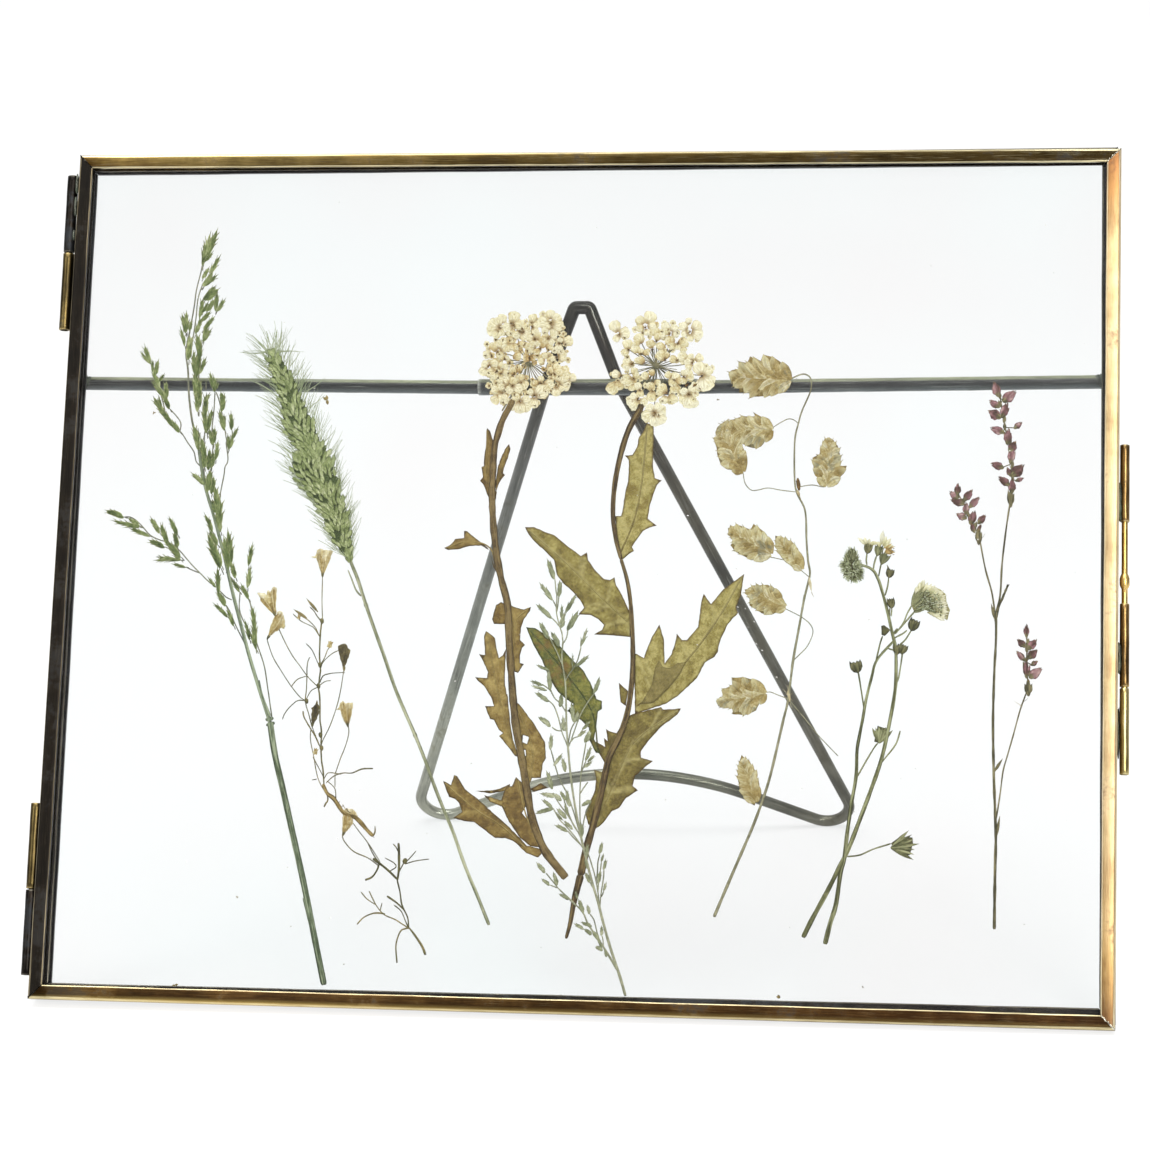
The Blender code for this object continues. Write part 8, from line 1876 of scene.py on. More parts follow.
# The fan's notch, which its florets cover.
KNAPWEED_FAN_NOTCH = (925.5, 579.5)
KNAPWEED_FAN_TIPS = ((918, 586), (922, 581.5), (925.5, 578.5), (930, 583), (934, 584.5),
                     (938.5, 586), (942, 589), (945.5, 592.5), (947.5, 597.5), (948, 602.5),
                     (949.5, 607), (950.5, 611), (949, 615.5), (947.5, 620.5), (943.5, 618),
                     (939.5, 616.5))
KNAPWEED_FAN_BRACTS = (
    ((912, 606), (914.5, 590.5), 3.2), ((912.5, 605), (918, 591), 3.4),
    ((913, 605), (923, 586.5), 3.4), ((914, 605), (926.5, 589.5), 3.2),
    ((914, 608), (925, 599), 3.0), ((915, 610), (927, 604.5), 2.8),
    ((914, 611), (924, 610.5), 2.6),
)
KNOTWEED_SHEATHS = (((994, 772), (1003, 758)), ((995, 620), (991, 603)),
                    ((996, 838), (1000, 815)), ((1026, 694), (1030, 682)))
# Dust: from (x, y) to (x, y).
DUST_AREA = ((110, 190), (1090, 980))
DUST_PATCH = ((735, 606), (772, 650))
# Crumbs: (x, y, size).
CRUMBS = ((154, 413, 1.4), (175, 985, 2.4), (237, 897, 1.1), (327, 400, 3.6),
          (780, 998, 3.0), (718, 400, 1.2), (560, 996, 1.5), (863, 987, 1.0))
# Short lengths of stalk that join the side branches to the main stem: widths and path.
KNAPWEED_JOINTS = (
    (2.0, 2.4, [(897.5, 628.5), (894.4, 632.4), (892.2, 637.5)]),
    (1.5, 1.6, [(890.2, 606.8), (889.4, 612.2), (889.6, 617.0)]),
    (1.5, 1.7, [(898.0, 635.8), (895.5, 637.5), (893.5, 639.0)]),
)
# The midribs of the leaves, from foot to tip.
LEAF_RIBS = {
    "sheath_left": [(490, 497), (487, 470), (487, 430)],
    "sheath_right": [(496, 490), (501, 470), (508, 447)],
    "left_high": [(496, 570), (490, 548), (468, 541), (446, 548)],
    "right_high": [(510, 668), (514, 640), (516, 620), (529, 608)],
    "left_middle": [(517, 755), (503, 712), (494, 672), (488, 634)],
    "right_middle": [(529, 784), (533, 752), (524, 724), (514, 700)],
    "left_low": [(526, 848), (502, 826), (474, 808), (445, 783)],
    "low_blade": [(540, 845), (526, 815), (518, 780)],
    "high": [(619, 556), (634, 520), (642, 480), (647, 426)],
    "left": [(628, 622), (600, 596), (570, 566), (528, 529)],
    "right": [(637, 706), (665, 684), (697, 648), (722, 612), (742, 576)],
    "low": [(594, 826), (612, 788), (634, 742), (678, 710)],
    "shaded": [(598, 750), (592, 712), (568, 676), (530, 630)],
}
# Foot and tip of each quaking grass head.
QUAKING_AXES = {
    "high": ((788, 380), (727, 377)), "pair": ((770, 430), (716, 452)),
    "right": ((826.8, 483.7), (829.5, 436)), "middle": ((769, 553), (728, 530)),
    "small": ((800.5, 568), (776, 536)), "lower": ((783.6, 606), (745, 589)),
    "low": ((763.5, 694), (716, 703)), "lowest": ((757, 806), (741, 755)),
}
# A seed cup, as parts of its width and height: (across, up).
CUP_OUTLINE = [(0, 0), (0.3, 0.13), (0.5, 0.42), (0.52, 0.75), (0.44, 1.08), (0.3, 0.9),
               (0.16, 1.02), (0.02, 0.88), (-0.15, 1.0), (-0.28, 0.9), (-0.42, 1.1), (-0.5, 0.78),
               (-0.5, 0.42), (-0.3, 0.13)]


# ---- The plants ----------------------------------------------------------------------------------
def unit(vector):
    """The vector's direction."""
    return vector / max(np.linalg.norm(vector), 1e-9)


def turned_by(vector, degrees):
    """A vector turned clockwise as seen in the photograph."""
    a = math.radians(degrees)
    return np.array((vector[0] * math.cos(a) - vector[1] * math.sin(a),
                     vector[0] * math.sin(a) + vector[1] * math.cos(a)))


def spikelet(piece, row, base_w, florets=6, look=0, awn=0.0, plump=0.2, flare=13, swell=1.0):
    """A grass spikelet: pointed florets in two ranks that overlap, the lowest outermost."""
    bx, by, tx, ty, width = row
    base, tip = np.array((bx, by), float), np.array((tx, ty), float)
    axis = tip - base
    along = unit(axis)
    side = np.array((-along[1], along[0]))
    length, width = np.linalg.norm(axis), width * swell
    tone = piece.chance.random()
    for k in range(florets, -1, -1):
        t = 0.6 * k / florets
        hand = (1 if k % 2 else -1) * (k < florets)
        start = base + axis * t * 0.95 + side * hand * width * 0.08
        lean = hand * flare * (1 - 0.5 * t) + piece.chance.uniform(-4, 4)
        heading = turned_by(along, lean)
        reach = length * (0.5 - 0.12 * t) * piece.chance.uniform(0.92, 1.08)
        own = min(max(tone * 0.5 + piece.chance.random() * 0.55, 0), 1)
        level = base_w + 0.03 * (florets - k)
        scale(piece, start, start + heading * reach, width * (0.54 - 0.14 * t), level,
              lift=0.08, cup=plump, widest=0.36, look=look, rows=7, tone=own,
              sway=-hand * 0.07, pinch=0.35, ridge=0.05)
        if awn:
            hair(piece, start + heading * reach * 0.85, start + turned_by(heading, hand * 2)
                 * (reach + awn * piece.chance.uniform(0.3, 1)), 0.75, level + 0.1, 0.05, look=look)


def build_brome():
    """Brome grass: stem and sheaths, then its two panicles of green spikelets."""
    piece = Piece(101)
    stem(piece, BROME_STEM, sides=14, rough=0.03, flat=0.6, thick=0.84)
    stem(piece, BROME_CULM, sides=12, rough=0.03, flat=0.7, thick=0.75)
    spikelet(piece, BROME_FOOT_BULGE, LAYER_W + 0.1, florets=2)
    for x, y, r in BROME_JOINTS:
        grain_body(piece, (x, y), 2 * r, 5.0, 1.3, LAYER_W + 0.1, 0.55, rings=4, pointed=0.0)
    stems(piece, BROME_SHEATHS, base_w=LAYER_W + 0.35, sides=6, flat=0.4)
    piece.build("looks_brome_stem", world_from_pixels, "back_leaf", [BROME_CULM_LOOK],
                ["brome_stem"], "brome_straw")
    for name, seed, strands, rows in (
        ("brome_upper_panicle", 102, BROME_TIP_STRANDS + BROME_MIDDLE_STRANDS,
         BROME_TIP_SPIKELETS + BROME_MIDDLE_SPIKELETS),
        ("brome_lower_panicle", 103, BROME_LOWER_STRANDS, BROME_LOWER_SPIKELETS),
    ):
        piece = Piece(seed)
        stems(piece, strands, sides=6, look=1, thick=0.8, least=1.2)
        for row in rows:
            size = math.hypot(row[2] - row[0], row[3] - row[1])
            spikelet(piece, row, LAYER_W + 0.12 + piece.chance.random() * 0.2,
                     florets=4 + (size > 15) + (size > 22), awn=2.2, plump=0.2, flare=12,
                     swell=1.2)
            bx, by, tx, ty, _ = row
            stem(piece, (0.9, 0.8, [(bx - (tx - bx) * 0.2, by - (ty - by) * 0.2), (bx, by)]),
                 sides=5, look=1, least=1.2)
        piece.build("looks_" + name, world_from_pixels, "back_leaf", [BROME_GREEN, THREAD],
                    [name], "brome_straw")


def build_foxtail():
    """Foxtail grass: a dense bristly head, and its thin stem with two joints."""
    piece = Piece(111)
    left = smooth_line(FOXTAIL_LEFT_EDGE, 6.0)
    right = smooth_line(FOXTAIL_RIGHT_EDGE, 6.0)
    count = FOXTAIL_ROWS
    lefts = np.array([left[int(i * (len(left) - 1) / count)] for i in range(count + 1)])
    rights = np.array([right[int(i * (len(right) - 1) / count)] for i in range(count + 1)])
    middles = (lefts + rights) / 2
    # Dark sheets under the grains: painted shade that shows in the gaps between them.
    for i in range(count):
        spot, after = middles[i], middles[i + 1]
        wide = np.linalg.norm(lefts[i] - rights[i]) + np.linalg.norm(lefts[i + 1] - rights[i + 1])
        grain_body(piece, (spot + after) / 2, wide * 0.47, 13.0, math.atan2(*(spot - after)[::-1]),
                   LAYER_W, 0.3, look=2, sides=14, pointed=0.0)
    for i in range(count + 1):
        along = unit(middles[max(i - 1, 0)] - middles[min(i + 1, count)])
        side = np.array((-along[1], along[0]))
        half = np.linalg.norm(lefts[i] - rights[i]) / 2
        across = max(1, int(round(half / FOXTAIL_BODY_SPACING_PX)))
        for k in range(-across, across + 1):
            s = (k + (0.5 if i % 2 else 0.0)) / (across + 0.25)
            if abs(s) > 1.05 or piece.chance.random() < 0.05:
                continue
            spot = middles[i] + side * half * s * 0.98 + along * piece.chance.uniform(-1.5, 1.5)
            heading = turned_by(along, 40 * s + piece.chance.uniform(-13, 13))
            length = piece.chance.uniform(7.4, 9.6)
            height = LAYER_W + 0.24 + 0.28 * (1 - s * s) + piece.chance.uniform(0, 0.1)
            tone = piece.chance.random()
            grain_body(piece, spot, length * 0.56, length, math.atan2(heading[1], heading[0]),
                       height, 0.26, rings=4, sides=12, pointed=0.5, tone=tone)
            start = spot - heading * length * 0.55
            scale(piece, start, start + turned_by(heading, piece.chance.uniform(-24, 24))
                  * length * 0.6, length * 0.3, height + 0.2, lift=0.04, cup=0.12,
                  tone=min(tone + 0.3, 1), rows=5, columns=3)
    for i in range(count + 1):
        along = unit(middles[max(i - 1, 0)] - middles[min(i + 1, count)])
        for edge in (lefts[i], rights[i]):
            outward = unit(edge - middles[i])
            for _ in range(5):
                start = middles[i] + (edge - middles[i]) * piece.chance.uniform(0.82, 1.02)
                start = start + along * piece.chance.uniform(-3, 3)
                heading = unit(along + outward * piece.chance.uniform(0.4, 1.05))
                reach = piece.chance.uniform(9, 27) * (1.15 - 0.35 * i / count)
                hair(piece, start, start + heading * reach, piece.chance.uniform(0.5, 0.75),
                     LAYER_W + piece.chance.uniform(0.2, 0.5), 0.2, look=1,
                     bow=piece.chance.uniform(-0.07, 0.07))
    for tip in FOXTAIL_BRISTLE_TIPS:
        gaps = [np.linalg.norm(m - np.array(tip)) + abs(m[1] - tip[1] - 26) for m in middles]
        root = middles[int(np.argmin(gaps))]
        hair(piece, root + (np.array(tip) - root) * 0.45, tip, 1.0, LAYER_W + 0.4, 0.2, look=1,
             bow=0.03)
    for _ in range(26):
        start = middles[0] + np.array((piece.chance.uniform(-6, 7), piece.chance.uniform(0, 12)))
        end = start + turned_by((0, -1), piece.chance.uniform(-42, 30)) * piece.chance.uniform(
            16, 33)
        hair(piece, start, end, 0.8, LAYER_W + 0.4, 0.2, look=1)
    piece.build("looks_foxtail_head", world_from_pixels, "back_leaf",
                [FOXTAIL_SCALE, FOXTAIL_HAIR, FOXTAIL_SHADE], ["foxtail_head"], "foxtail_straw")
    piece = Piece(112)
    stem(piece, FOXTAIL_STEM, sides=12, rough=0.05)
    stem(piece, FOXTAIL_SHEATH, sides=6, base_w=LAYER_W + 0.1, least=0.8)
    for index in FOXTAIL_JOINT_POINTS:
        grain_body(piece, FOXTAIL_STEM[2][index], 4.6, 6.0, 1.1, LAYER_W + 0.1, 0.5, rings=3,
                   pointed=0)
    piece.build("looks_foxtail_stem", world_from_pixels, "back_leaf",
                [FOXTAIL_CULM], ["foxtail_stem"], "foxtail_straw")


def bell(piece, outline, look):
    """A pressed bell flower: a narrow pleated funnel with ragged lobes, and a short green cup."""
    foot = np.array(outline[0], float)
    far = sorted(outline, key=lambda p: -np.linalg.norm(np.array(p) - foot))
    tips = far[:5]
    veins = [[tuple(foot), tuple((np.array(tip) + foot) / 2 + np.array((0.8, 0))), tuple(tip)]
             for tip in tips]
    length = np.linalg.norm(np.array(far[0]) - foot)
    blade(piece, outline, veins, LAYER_W, look=look, spacing=1.8, dome=0.3, crumple=0.34,
          vein_height=0.18, fray=0.5, fade=(foot[0], foot[1], length))
    for tip in tips[:2]:
        reach = (np.array(tip) - foot) * piece.chance.uniform(0.8, 0.97)
        scale(piece, foot + reach * 0.1, foot + reach, length * 0.15, LAYER_W + 0.42, lift=0.08,
              cup=0.12, widest=0.8, look=look, rows=8, pinch=0.12, ridge=0.06, tone=0.45,
              ruffle=0.2)
    middle = np.array(outline, float).mean(0)
    for turn in (-15, 0, 15):
        heading = turned_by(unit(middle - foot), turn)
        scale(piece, foot - heading * 0.6, foot + heading * 5.0, 1.6, LAYER_W + 0.5, lift=0.1,
              cup=0.1, look=1, rows=5, columns=3)


def build_bell_sprig():
    """The sprig with bell-shaped flowers: its top, its root and its rooty foot."""
    looks = [BELL_PETAL, BELL_STEM_LOOK, BELL_BROWN, BELL_ROOT_LOOK, FLOWER_HEART]
    piece = Piece(121)
    stem(piece, BELL_STEM, look=1, rough=0.12)
    stems(piece, BELL_STRANDS[:BELL_TOP_STRANDS], look=1, sides=6, rough=0.15, thick=0.8,
          least=0.95)
    for place in BELL_JOINTS:
        grain_body(piece, place, 4.2, 6.0, 1.4, LAYER_W, 0.45, look=1, rings=3)
    for index, outline in enumerate(BELL_FLOWERS[:-1]):
        bell(piece, outline, 2 if index in WITHERED_BELLS else 0)
    for x, y, r in BELL_BUDS:
        for turn in (-35, 0, 35):
            heading = turned_by(np.array((0.3, -1.0)), turn)
            scale(piece, np.array((x, y)) - heading * r, np.array((x, y)) + heading * r * 1.2,
                  r * 1.1, LAYER_W + 0.2, cup=0.25, look=0, rows=6)
    for row in BELL_LEAFLETS:
        scale(piece, row[2:], row[:2], 3.0, LAYER_W + 0.1, cup=0.12, look=1)
    piece.build("looks_bell_sprig_top", world_from_pixels, "back_leaf", looks,
                ["bell_sprig_top"], "bell_petals")
    piece = Piece(122)
    stem(piece, BELL_ROOT, look=3, sides=10, rough=0.22)
    stems(piece, BELL_STRANDS[BELL_TOP_STRANDS:], look=1, sides=6, rough=0.15, thick=0.85,
          least=0.95)
    bell(piece, BELL_FLOWERS[-1], 0)
    for _ in range(9):
        t = piece.chance.random()
        x, y = (start + reach * t for start, reach in zip(BELL_ROOT_START, BELL_ROOT_REACH))
        end = (x + piece.chance.uniform(-7, 7), y + piece.chance.uniform(2, 9))
        hair(piece, (x, y), end, 0.8, LAYER_W + 0.3, -0.1, look=3)
    piece.build("looks_bell_sprig_root", world_from_pixels, "back_leaf", looks,
                ["bell_sprig_root"], "bell_stems")
    piece = Piece(123)
    stems(piece, BELL_FOOT_STRANDS, look=1, sides=7, rough=0.15, thick=0.95, least=1.2)
    for x, y, r in BELL_FOOT_BUDS:
        grain_body(piece, (x, y), 2 * r, 2.4 * r, -1.2, LAYER_W + 0.1, 0.4, look=1)
    piece.build("looks_bell_sprig_foot", world_from_pixels, "back_leaf", looks,
                ["bell_sprig_foot"], "bell_stems")


def floret(piece, heart, radius, level, tone, look=0):
    """A small flower of five notched petals round its heart."""
    first = piece.chance.uniform(0, 72)
    for k in range(5):
        heading = turned_by((1, 0), first + 72 * k + piece.chance.uniform(-11, 11))
        size = radius * piece.chance.uniform(0.82, 1.15)
        own = min(max(tone + piece.chance.uniform(-0.2, 0.2), 0), 1)
        scale(piece, heart + heading * 0.25, heart + heading * size,
              size * piece.chance.uniform(0.8, 1.05), level + 0.03 * (k % 2), lift=0.04,
              cup=0.05, widest=0.66, look=look, rows=7, columns=7, tone=own, pinch=0.25,
              blunt=0.9, notch=0.16, ruffle=0.12)


def flower_heart(piece, heart, size, look):
    """The dark middle of a small flower, with four stamens."""
    grain_body(piece, heart, size, size * piece.chance.uniform(0.9, 1.3),
               piece.chance.uniform(0, 3), LAYER_W + 0.42, 0.14, look=look, rings=2)
    for _ in range(4):
        heading = turned_by((1, 0), piece.chance.uniform(0, 360))
        hair(piece, heart, heart + heading * size * piece.chance.uniform(0.9, 1.5), 0.7,
             LAYER_W + 0.48, 0.06, look=look)


def sector(spot):
    """Which of the directions round an umbel's middle a spot lies in."""
    turn = (math.degrees(math.atan2(spot[1], spot[0])) + 360) % 360
    return int(turn / (360 / UMBEL_SECTORS))


def umbel(piece, centre, flowers, petal_look=0, heart_look=1, ray_look=2, extra_rays=18,
          spread=(150, 0), fill=6.6, fill_from=11.0, fill_near=8.0, gaps=()):
    """A flat umbel seen from above: fine rays, and on each a small flower of rounded petals.

    Small flowers fill the room between the larger ones, fill pixels apart, from fill_from
    outwards, and leave the gaps open: each gap is (x, y, radius).
    """
    middle = np.array(centre, float)
    reach_most = max(np.linalg.norm(np.array(c) - middle) for c, _ in flowers)
    outer = [np.array(p[:2], float) - middle for _, petals in flowers for p in petals]
    rim = [0.0] * UMBEL_SECTORS
    for spot in outer:
        index = sector(spot)
        for near in (-1, 0, 1):
            slot = (index + near) % UMBEL_SECTORS
            rim[slot] = max(rim[slot], np.linalg.norm(spot) - (2.0 if near else 0.0))
    steps = int(60 / fill)
    for row in range(-steps, steps + 1):
        for column in range(-steps, steps + 1):
            spot = np.array(((column + 0.5 * (row % 2)) * fill, row * fill * 0.87))
            spot += np.array((piece.chance.uniform(-1.9, 1.9), piece.chance.uniform(-1.9, 1.9)))
            away = np.linalg.norm(spot)
            heart = middle + spot
            if not fill_from < away < rim[sector(spot)] - 0.5 or any(
                    math.hypot(heart[0] - x, heart[1] - y) < r for x, y, r in gaps):
                continue
            near = min(np.linalg.norm(heart - middle - spot_out) for spot_out in outer)
            if near > fill_near:
                continue
            tone = piece.chance.uniform(-0.1, 0.35) + 0.6 * away / reach_most
            floret(piece, heart, piece.chance.uniform(2.4, 4.0), LAYER_W + piece.chance.uniform(
                0.12, 0.24), tone, look=petal_look)
            if piece.chance.random() < 0.35:
                flower_heart(piece, heart, piece.chance.uniform(0.8, 1.4), heart_look)
    for place, petals in flowers:
        heart = np.array(place, float)
        away = np.linalg.norm(heart - middle)
        bow = turned_by(unit(heart - middle + 1e-6), 90) * piece.chance.uniform(-1.5, 1.5)
        if away > 8:
            stem(piece, (1.1, 0.9, [tuple(middle), tuple((middle + heart) / 2 + bow),
                                    tuple(heart)]), sides=5, look=ray_look,
                 base_w=LAYER_W + piece.chance.uniform(0.0, 0.1), least=1.1)
        for index, (x, y, r) in enumerate(petals):
            spot = np.array((x, y), float)
            gap = np.linalg.norm(spot - heart)
            heading = unit(spot - heart) if gap > 0.8 else turned_by((1, 0), 360 * index / 5)
            start = spot - heading * min(max(gap, r * 0.95), r * 1.2)
            end = spot + heading * r * 1.08
            tone = min(max(0.1 + 0.85 * away / reach_most + piece.chance.uniform(-0.25, 0.25),
                           0), 1)
            level = LAYER_W + 0.26 + 0.05 * (index % 3) + piece.chance.uniform(0, 0.1)
            scale(piece, start, end, 2.16 * r, level, lift=0.04, cup=0.07, widest=0.58,
                  look=petal_look, tone=tone, rows=11, columns=11, pinch=0.4, blunt=1.0,
                  ridge=-0.04, notch=0.13, ruffle=0.1)
            if r > 2.6:
                for hand in (-1, 1):
                    tip = start + (end - start) * 0.8 + turned_by(heading, 90 * hand) * r * 0.5
                    scale(piece, start + (end - start) * 0.1, tip, r * 0.8, level + 0.06,
                          cup=0.05, widest=0.62, look=petal_look, tone=min(tone + 0.1, 1),
                          rows=7, columns=7, pinch=0.2, blunt=0.85, notch=0.1, ruffle=0.15)
        flower_heart(piece, heart, piece.chance.uniform(1.2, 2.2), heart_look)
    for k in range(extra_rays):
        turn = spread[1] + spread[0] * k / max(extra_rays - 1, 1)
        tip = middle + turned_by((1, 0), turn) * piece.chance.uniform(17, 23)
        stem(piece, (0.9, 0.8, [tuple(middle + unit(tip - middle) * 2), tuple(tip)]), sides=5,
             look=ray_look, base_w=LAYER_W + 0.05, least=0.85)


def leaf_veins(outline, rib):
    """The midrib, and a vein from it to each tooth of the outline."""
    veins = [list(rib)]
    line = smooth_line(rib, 5.0)
    count = len(outline)
    for index, point in enumerate(outline):
        before = np.array(outline[index - 1], float) - point
        after = np.array(outline[(index + 1) % count], float) - point
        turn = math.degrees(math.acos(max(-1, min(1, unit(before) @ unit(after)))))
        if turn > 118:
            continue
        spot = np.array(point, float)
        nearest = int(np.argmin(np.linalg.norm(line - spot, axis=1)))
        foot = line[max(nearest - 3, 0)]
        if inside(tuple((spot * 0.8 + foot * 0.2)), list(outline)):
            bend_to = (foot + spot) / 2 + unit(line[-1] - line[0]) * 1.5
            veins.append([tuple(foot), tuple(bend_to), tuple(spot)])
    return veins


def leaf(piece, name, outline, look=0, base_w=LAYER_W, holes=(), **options):
    """A leaf from its outline, with its veins, and a raised midrib where it has one."""
    rib = LEAF_RIBS.get(name)
    veins = leaf_veins(outline, rib) if rib else []
    blade(piece, outline, veins, base_w, look=look, holes=holes, **options)
    if rib:
        size = 1.5 if len(rib) > 3 else 0.9
        stem(piece, (size, 0.5, rib), base_w=base_w + 0.24, sides=6, look=look, flat=0.5)


def build_left_umbel():
    """The left umbel: stem with sheaths, flower head and toothed leaves."""
    piece = Piece(131)
    looks = [UMBEL_STEM_LOOK, LEFT_LEAF]
    stem(piece, LEFT_UMBEL_STEM, sides=14, rough=0.12, flat=0.5, thick=1.4)
    for name in ("sheath_left", "sheath_right", "sheath_spur", "stem_flap", "foot_teeth",
                 "low_curl"):
        leaf(piece, name, LEFT_UMBEL_LEAVES[name], look=1, spacing=2.6, base_w=LAYER_W + 0.15)
    piece.build("looks_left_umbel_stem", world_from_pixels, "back_leaf", looks,
                ["left_umbel_stem"], "umbel_stems")
    piece = Piece(132)
    umbel(piece, LEFT_UMBEL_CENTRE, LEFT_UMBEL_FLOWERS, extra_rays=11, spread=(90, 20),
          fill_from=5.0, gaps=LEFT_UMBEL_GAPS)
    stem(piece, LEFT_UMBEL_STALK, sides=6, look=2)
    piece.build("looks_left_umbel_head", world_from_pixels, "back_leaf",
                [LEFT_PETAL, FLOWER_HEART, RAY_LOOK], ["left_umbel_head"], "umbel_petals")
    gaps = {"left_middle": ["slit"], "right_middle": ["gap_high", "gap_low"]}
    for seed, name in enumerate(("left_high", "right_high", "left_middle", "right_middle")):
        piece = Piece(133 + seed)
        holes = [LEFT_UMBEL_HOLES[gap] for gap in gaps.get(name, [])]
        leaf(piece, name, LEFT_UMBEL_LEAVES[name], spacing=2.7, holes=holes, crumple=0.24)
        piece.build("looks_left_umbel_leaf_" + name, world_from_pixels, "back_leaf", [LEFT_LEAF],
                    ["left_umbel_leaf_" + name], "left_leaves")
    piece = Piece(138)
    for name, lift in (("left_low", 0.0), ("low_blade", 0.16), ("low_point", 0.1),
                       ("low_lobe", 0.2)):
        holes = [LEFT_UMBEL_HOLES["gap_foot"]] if name == "low_blade" else []
        leaf(piece, name, LEFT_UMBEL_LEAVES[name], spacing=2.7, base_w=LAYER_W + lift,
             holes=holes, crumple=0.24)
    piece.build("looks_left_umbel_leaf_low", world_from_pixels, "back_leaf", [LEFT_LEAF],
                ["left_umbel_leaf_low"], "left_leaves")


def build_right_umbel():
    """The right umbel: stem, flower head and its five broad leaves."""
    piece = Piece(141)
    for strand in (RIGHT_UMBEL_STEM, RIGHT_UMBEL_STEM_LOW, RIGHT_UMBEL_STEM_FOOT):
        stem(piece, strand, sides=14, rough=0.06, thick=1.3, flat=0.5, base_w=LAYER_W + 0.1)
    leaf(piece, "small_tooth", RIGHT_UMBEL_LEAVES["small_tooth"], look=1, spacing=2.6)
    piece.build("looks_right_umbel_stem", world_from_pixels, "back_leaf",
                [UMBEL_STEM_LOOK, RIGHT_LEAF], ["right_umbel_stem"], "umbel_stems")
    piece = Piece(142)
    umbel(piece, RIGHT_UMBEL_CENTRE, RIGHT_UMBEL_FLOWERS, extra_rays=22, spread=(330, 10),
          fill=8.0, fill_from=16.0, fill_near=5.5)
    grain_body(piece, RIGHT_UMBEL_CENTRE, 6.5, 7.0, 0.4, LAYER_W + 0.2, 0.3, look=2, rings=4,
               sides=12, pointed=0.1)
    for x, y in RIGHT_UMBEL_BRACTS:
        scale(piece, (x - 2, y + 1.5), (x + 2.4, y - 1.6), 2.4, LAYER_W + 0.45, look=1)
    piece.build("looks_right_umbel_head", world_from_pixels, "back_leaf",
                [RIGHT_PETAL, FLOWER_HEART, RAY_LOOK], ["right_umbel_head"], "umbel_petals")
    for seed, name in enumerate(("high", "left", "right", "low", "shaded")):
        piece = Piece(143 + seed)
        look = SHADED_LEAF if name == "shaded" else RIGHT_LEAF
        leaf(piece, name, RIGHT_UMBEL_LEAVES[name], spacing=2.9, crumple=0.22)
        if name == "low":
            leaf(piece, "low_teeth", RIGHT_UMBEL_LEAVES["low_teeth"], spacing=2.9)
        if name == "right":
            # A darker sheet over one lobe: painted shadow.
            blade(piece, RIGHT_LEAF_PAINTED_SHADOW, [], LAYER_W + 0.3, look=1, spacing=3.0, dome=0.05,
                  tone=0.3)
        piece.build("looks_right_umbel_leaf_" + name, world_from_pixels, "back_leaf",
                    [look, LEAF_PAINTED_SHADOW] if name == "right" else [look],
                    ["right_umbel_leaf_" + name],
                    "shaded_leaf" if name == "shaded" else "right_leaves")


def build_meadow_grass():
    """Fine meadow grass, which lies over both umbels."""
    piece = Piece(151)
    stem(piece, MEADOW_STEM, base_w=GRASS_LAYER_W, look=1, rough=0.08, flat=0.5)
    stem(piece, MEADOW_FOOT_STRAND, base_w=GRASS_LAYER_W, look=1, flat=0.5)
    stems(piece, MEADOW_UPPER_STRANDS + MEADOW_LOWER_STRANDS + MEADOW_FOOT_STRANDS,
          base_w=GRASS_LAYER_W, look=1, sides=5, thick=0.85, flat=0.5)
    for row in MEADOW_UPPER_SPIKELETS + MEADOW_LOWER_SPIKELETS + MEADOW_FOOT_SPIKELETS:
        spikelet(piece, row, GRASS_LAYER_W + 0.04 + piece.chance.random() * 0.08, florets=4,
                 plump=0.13, flare=12, awn=0.8, swell=1.1)
    piece.build("looks_meadow_grass", world_from_pixels, "back_leaf",
                [MEADOW_SCALE, MEADOW_THREAD], ["meadow_grass"], "meadow_straw")


def quaking_head(piece, outline, foot, tip):
    """A quaking grass spikelet: pointed papery scales in two ranks, with their tips outside."""
    foot, tip = np.array(foot, float), np.array(tip, float)
    axis = tip - foot
    along = unit(axis)
    middle = np.array(outline, float).mean(0)
    body = [tuple(middle + (np.array(p) - middle) * 0.94) for p in outline]
    blade(piece, body, [], LAYER_W, spacing=3.0, dome=0.25, crumple=0.1, tone=0.05)
    ranks = max(5, int(np.linalg.norm(axis) / 7.0))
    for k in range(ranks, -1, -1):
        t = 0.8 * k / ranks
        root = foot + axis * t
        for slant, share in ((64 - 40 * t, 1.0), (32 - 18 * t, 0.84)):
            for hand in (-1, 1):
                heading = turned_by(along, hand * (slant + piece.chance.uniform(-7, 7)))
                reach = reach_inside(root, heading, outline)
                if reach < 4:
                    continue
                far = min(1, 2.2 * t)
                end = root + heading * (reach * share + far * piece.chance.uniform(0.0, 1.4))
                level = LAYER_W + 0.26 + 0.028 * (ranks - k) + 0.05 * (1 - share)
                scale(piece, root - along * 2.0, end, min(5.0 + reach * 0.5, 14.5), level,
                      lift=0.05, cup=0.18, widest=0.5, rows=10, columns=11, pinch=0.34,
                      blunt=0.16, ridge=0.05, sway=-0.13 * hand, ruffle=0.05)
                if share == 1.0 and t > 0.25:
                    hair(piece, end - heading * 2.0, end + turned_by(heading, -12 * hand)
                         * piece.chance.uniform(0.6, 2.2), 1.1, level + 0.06, 0.03)


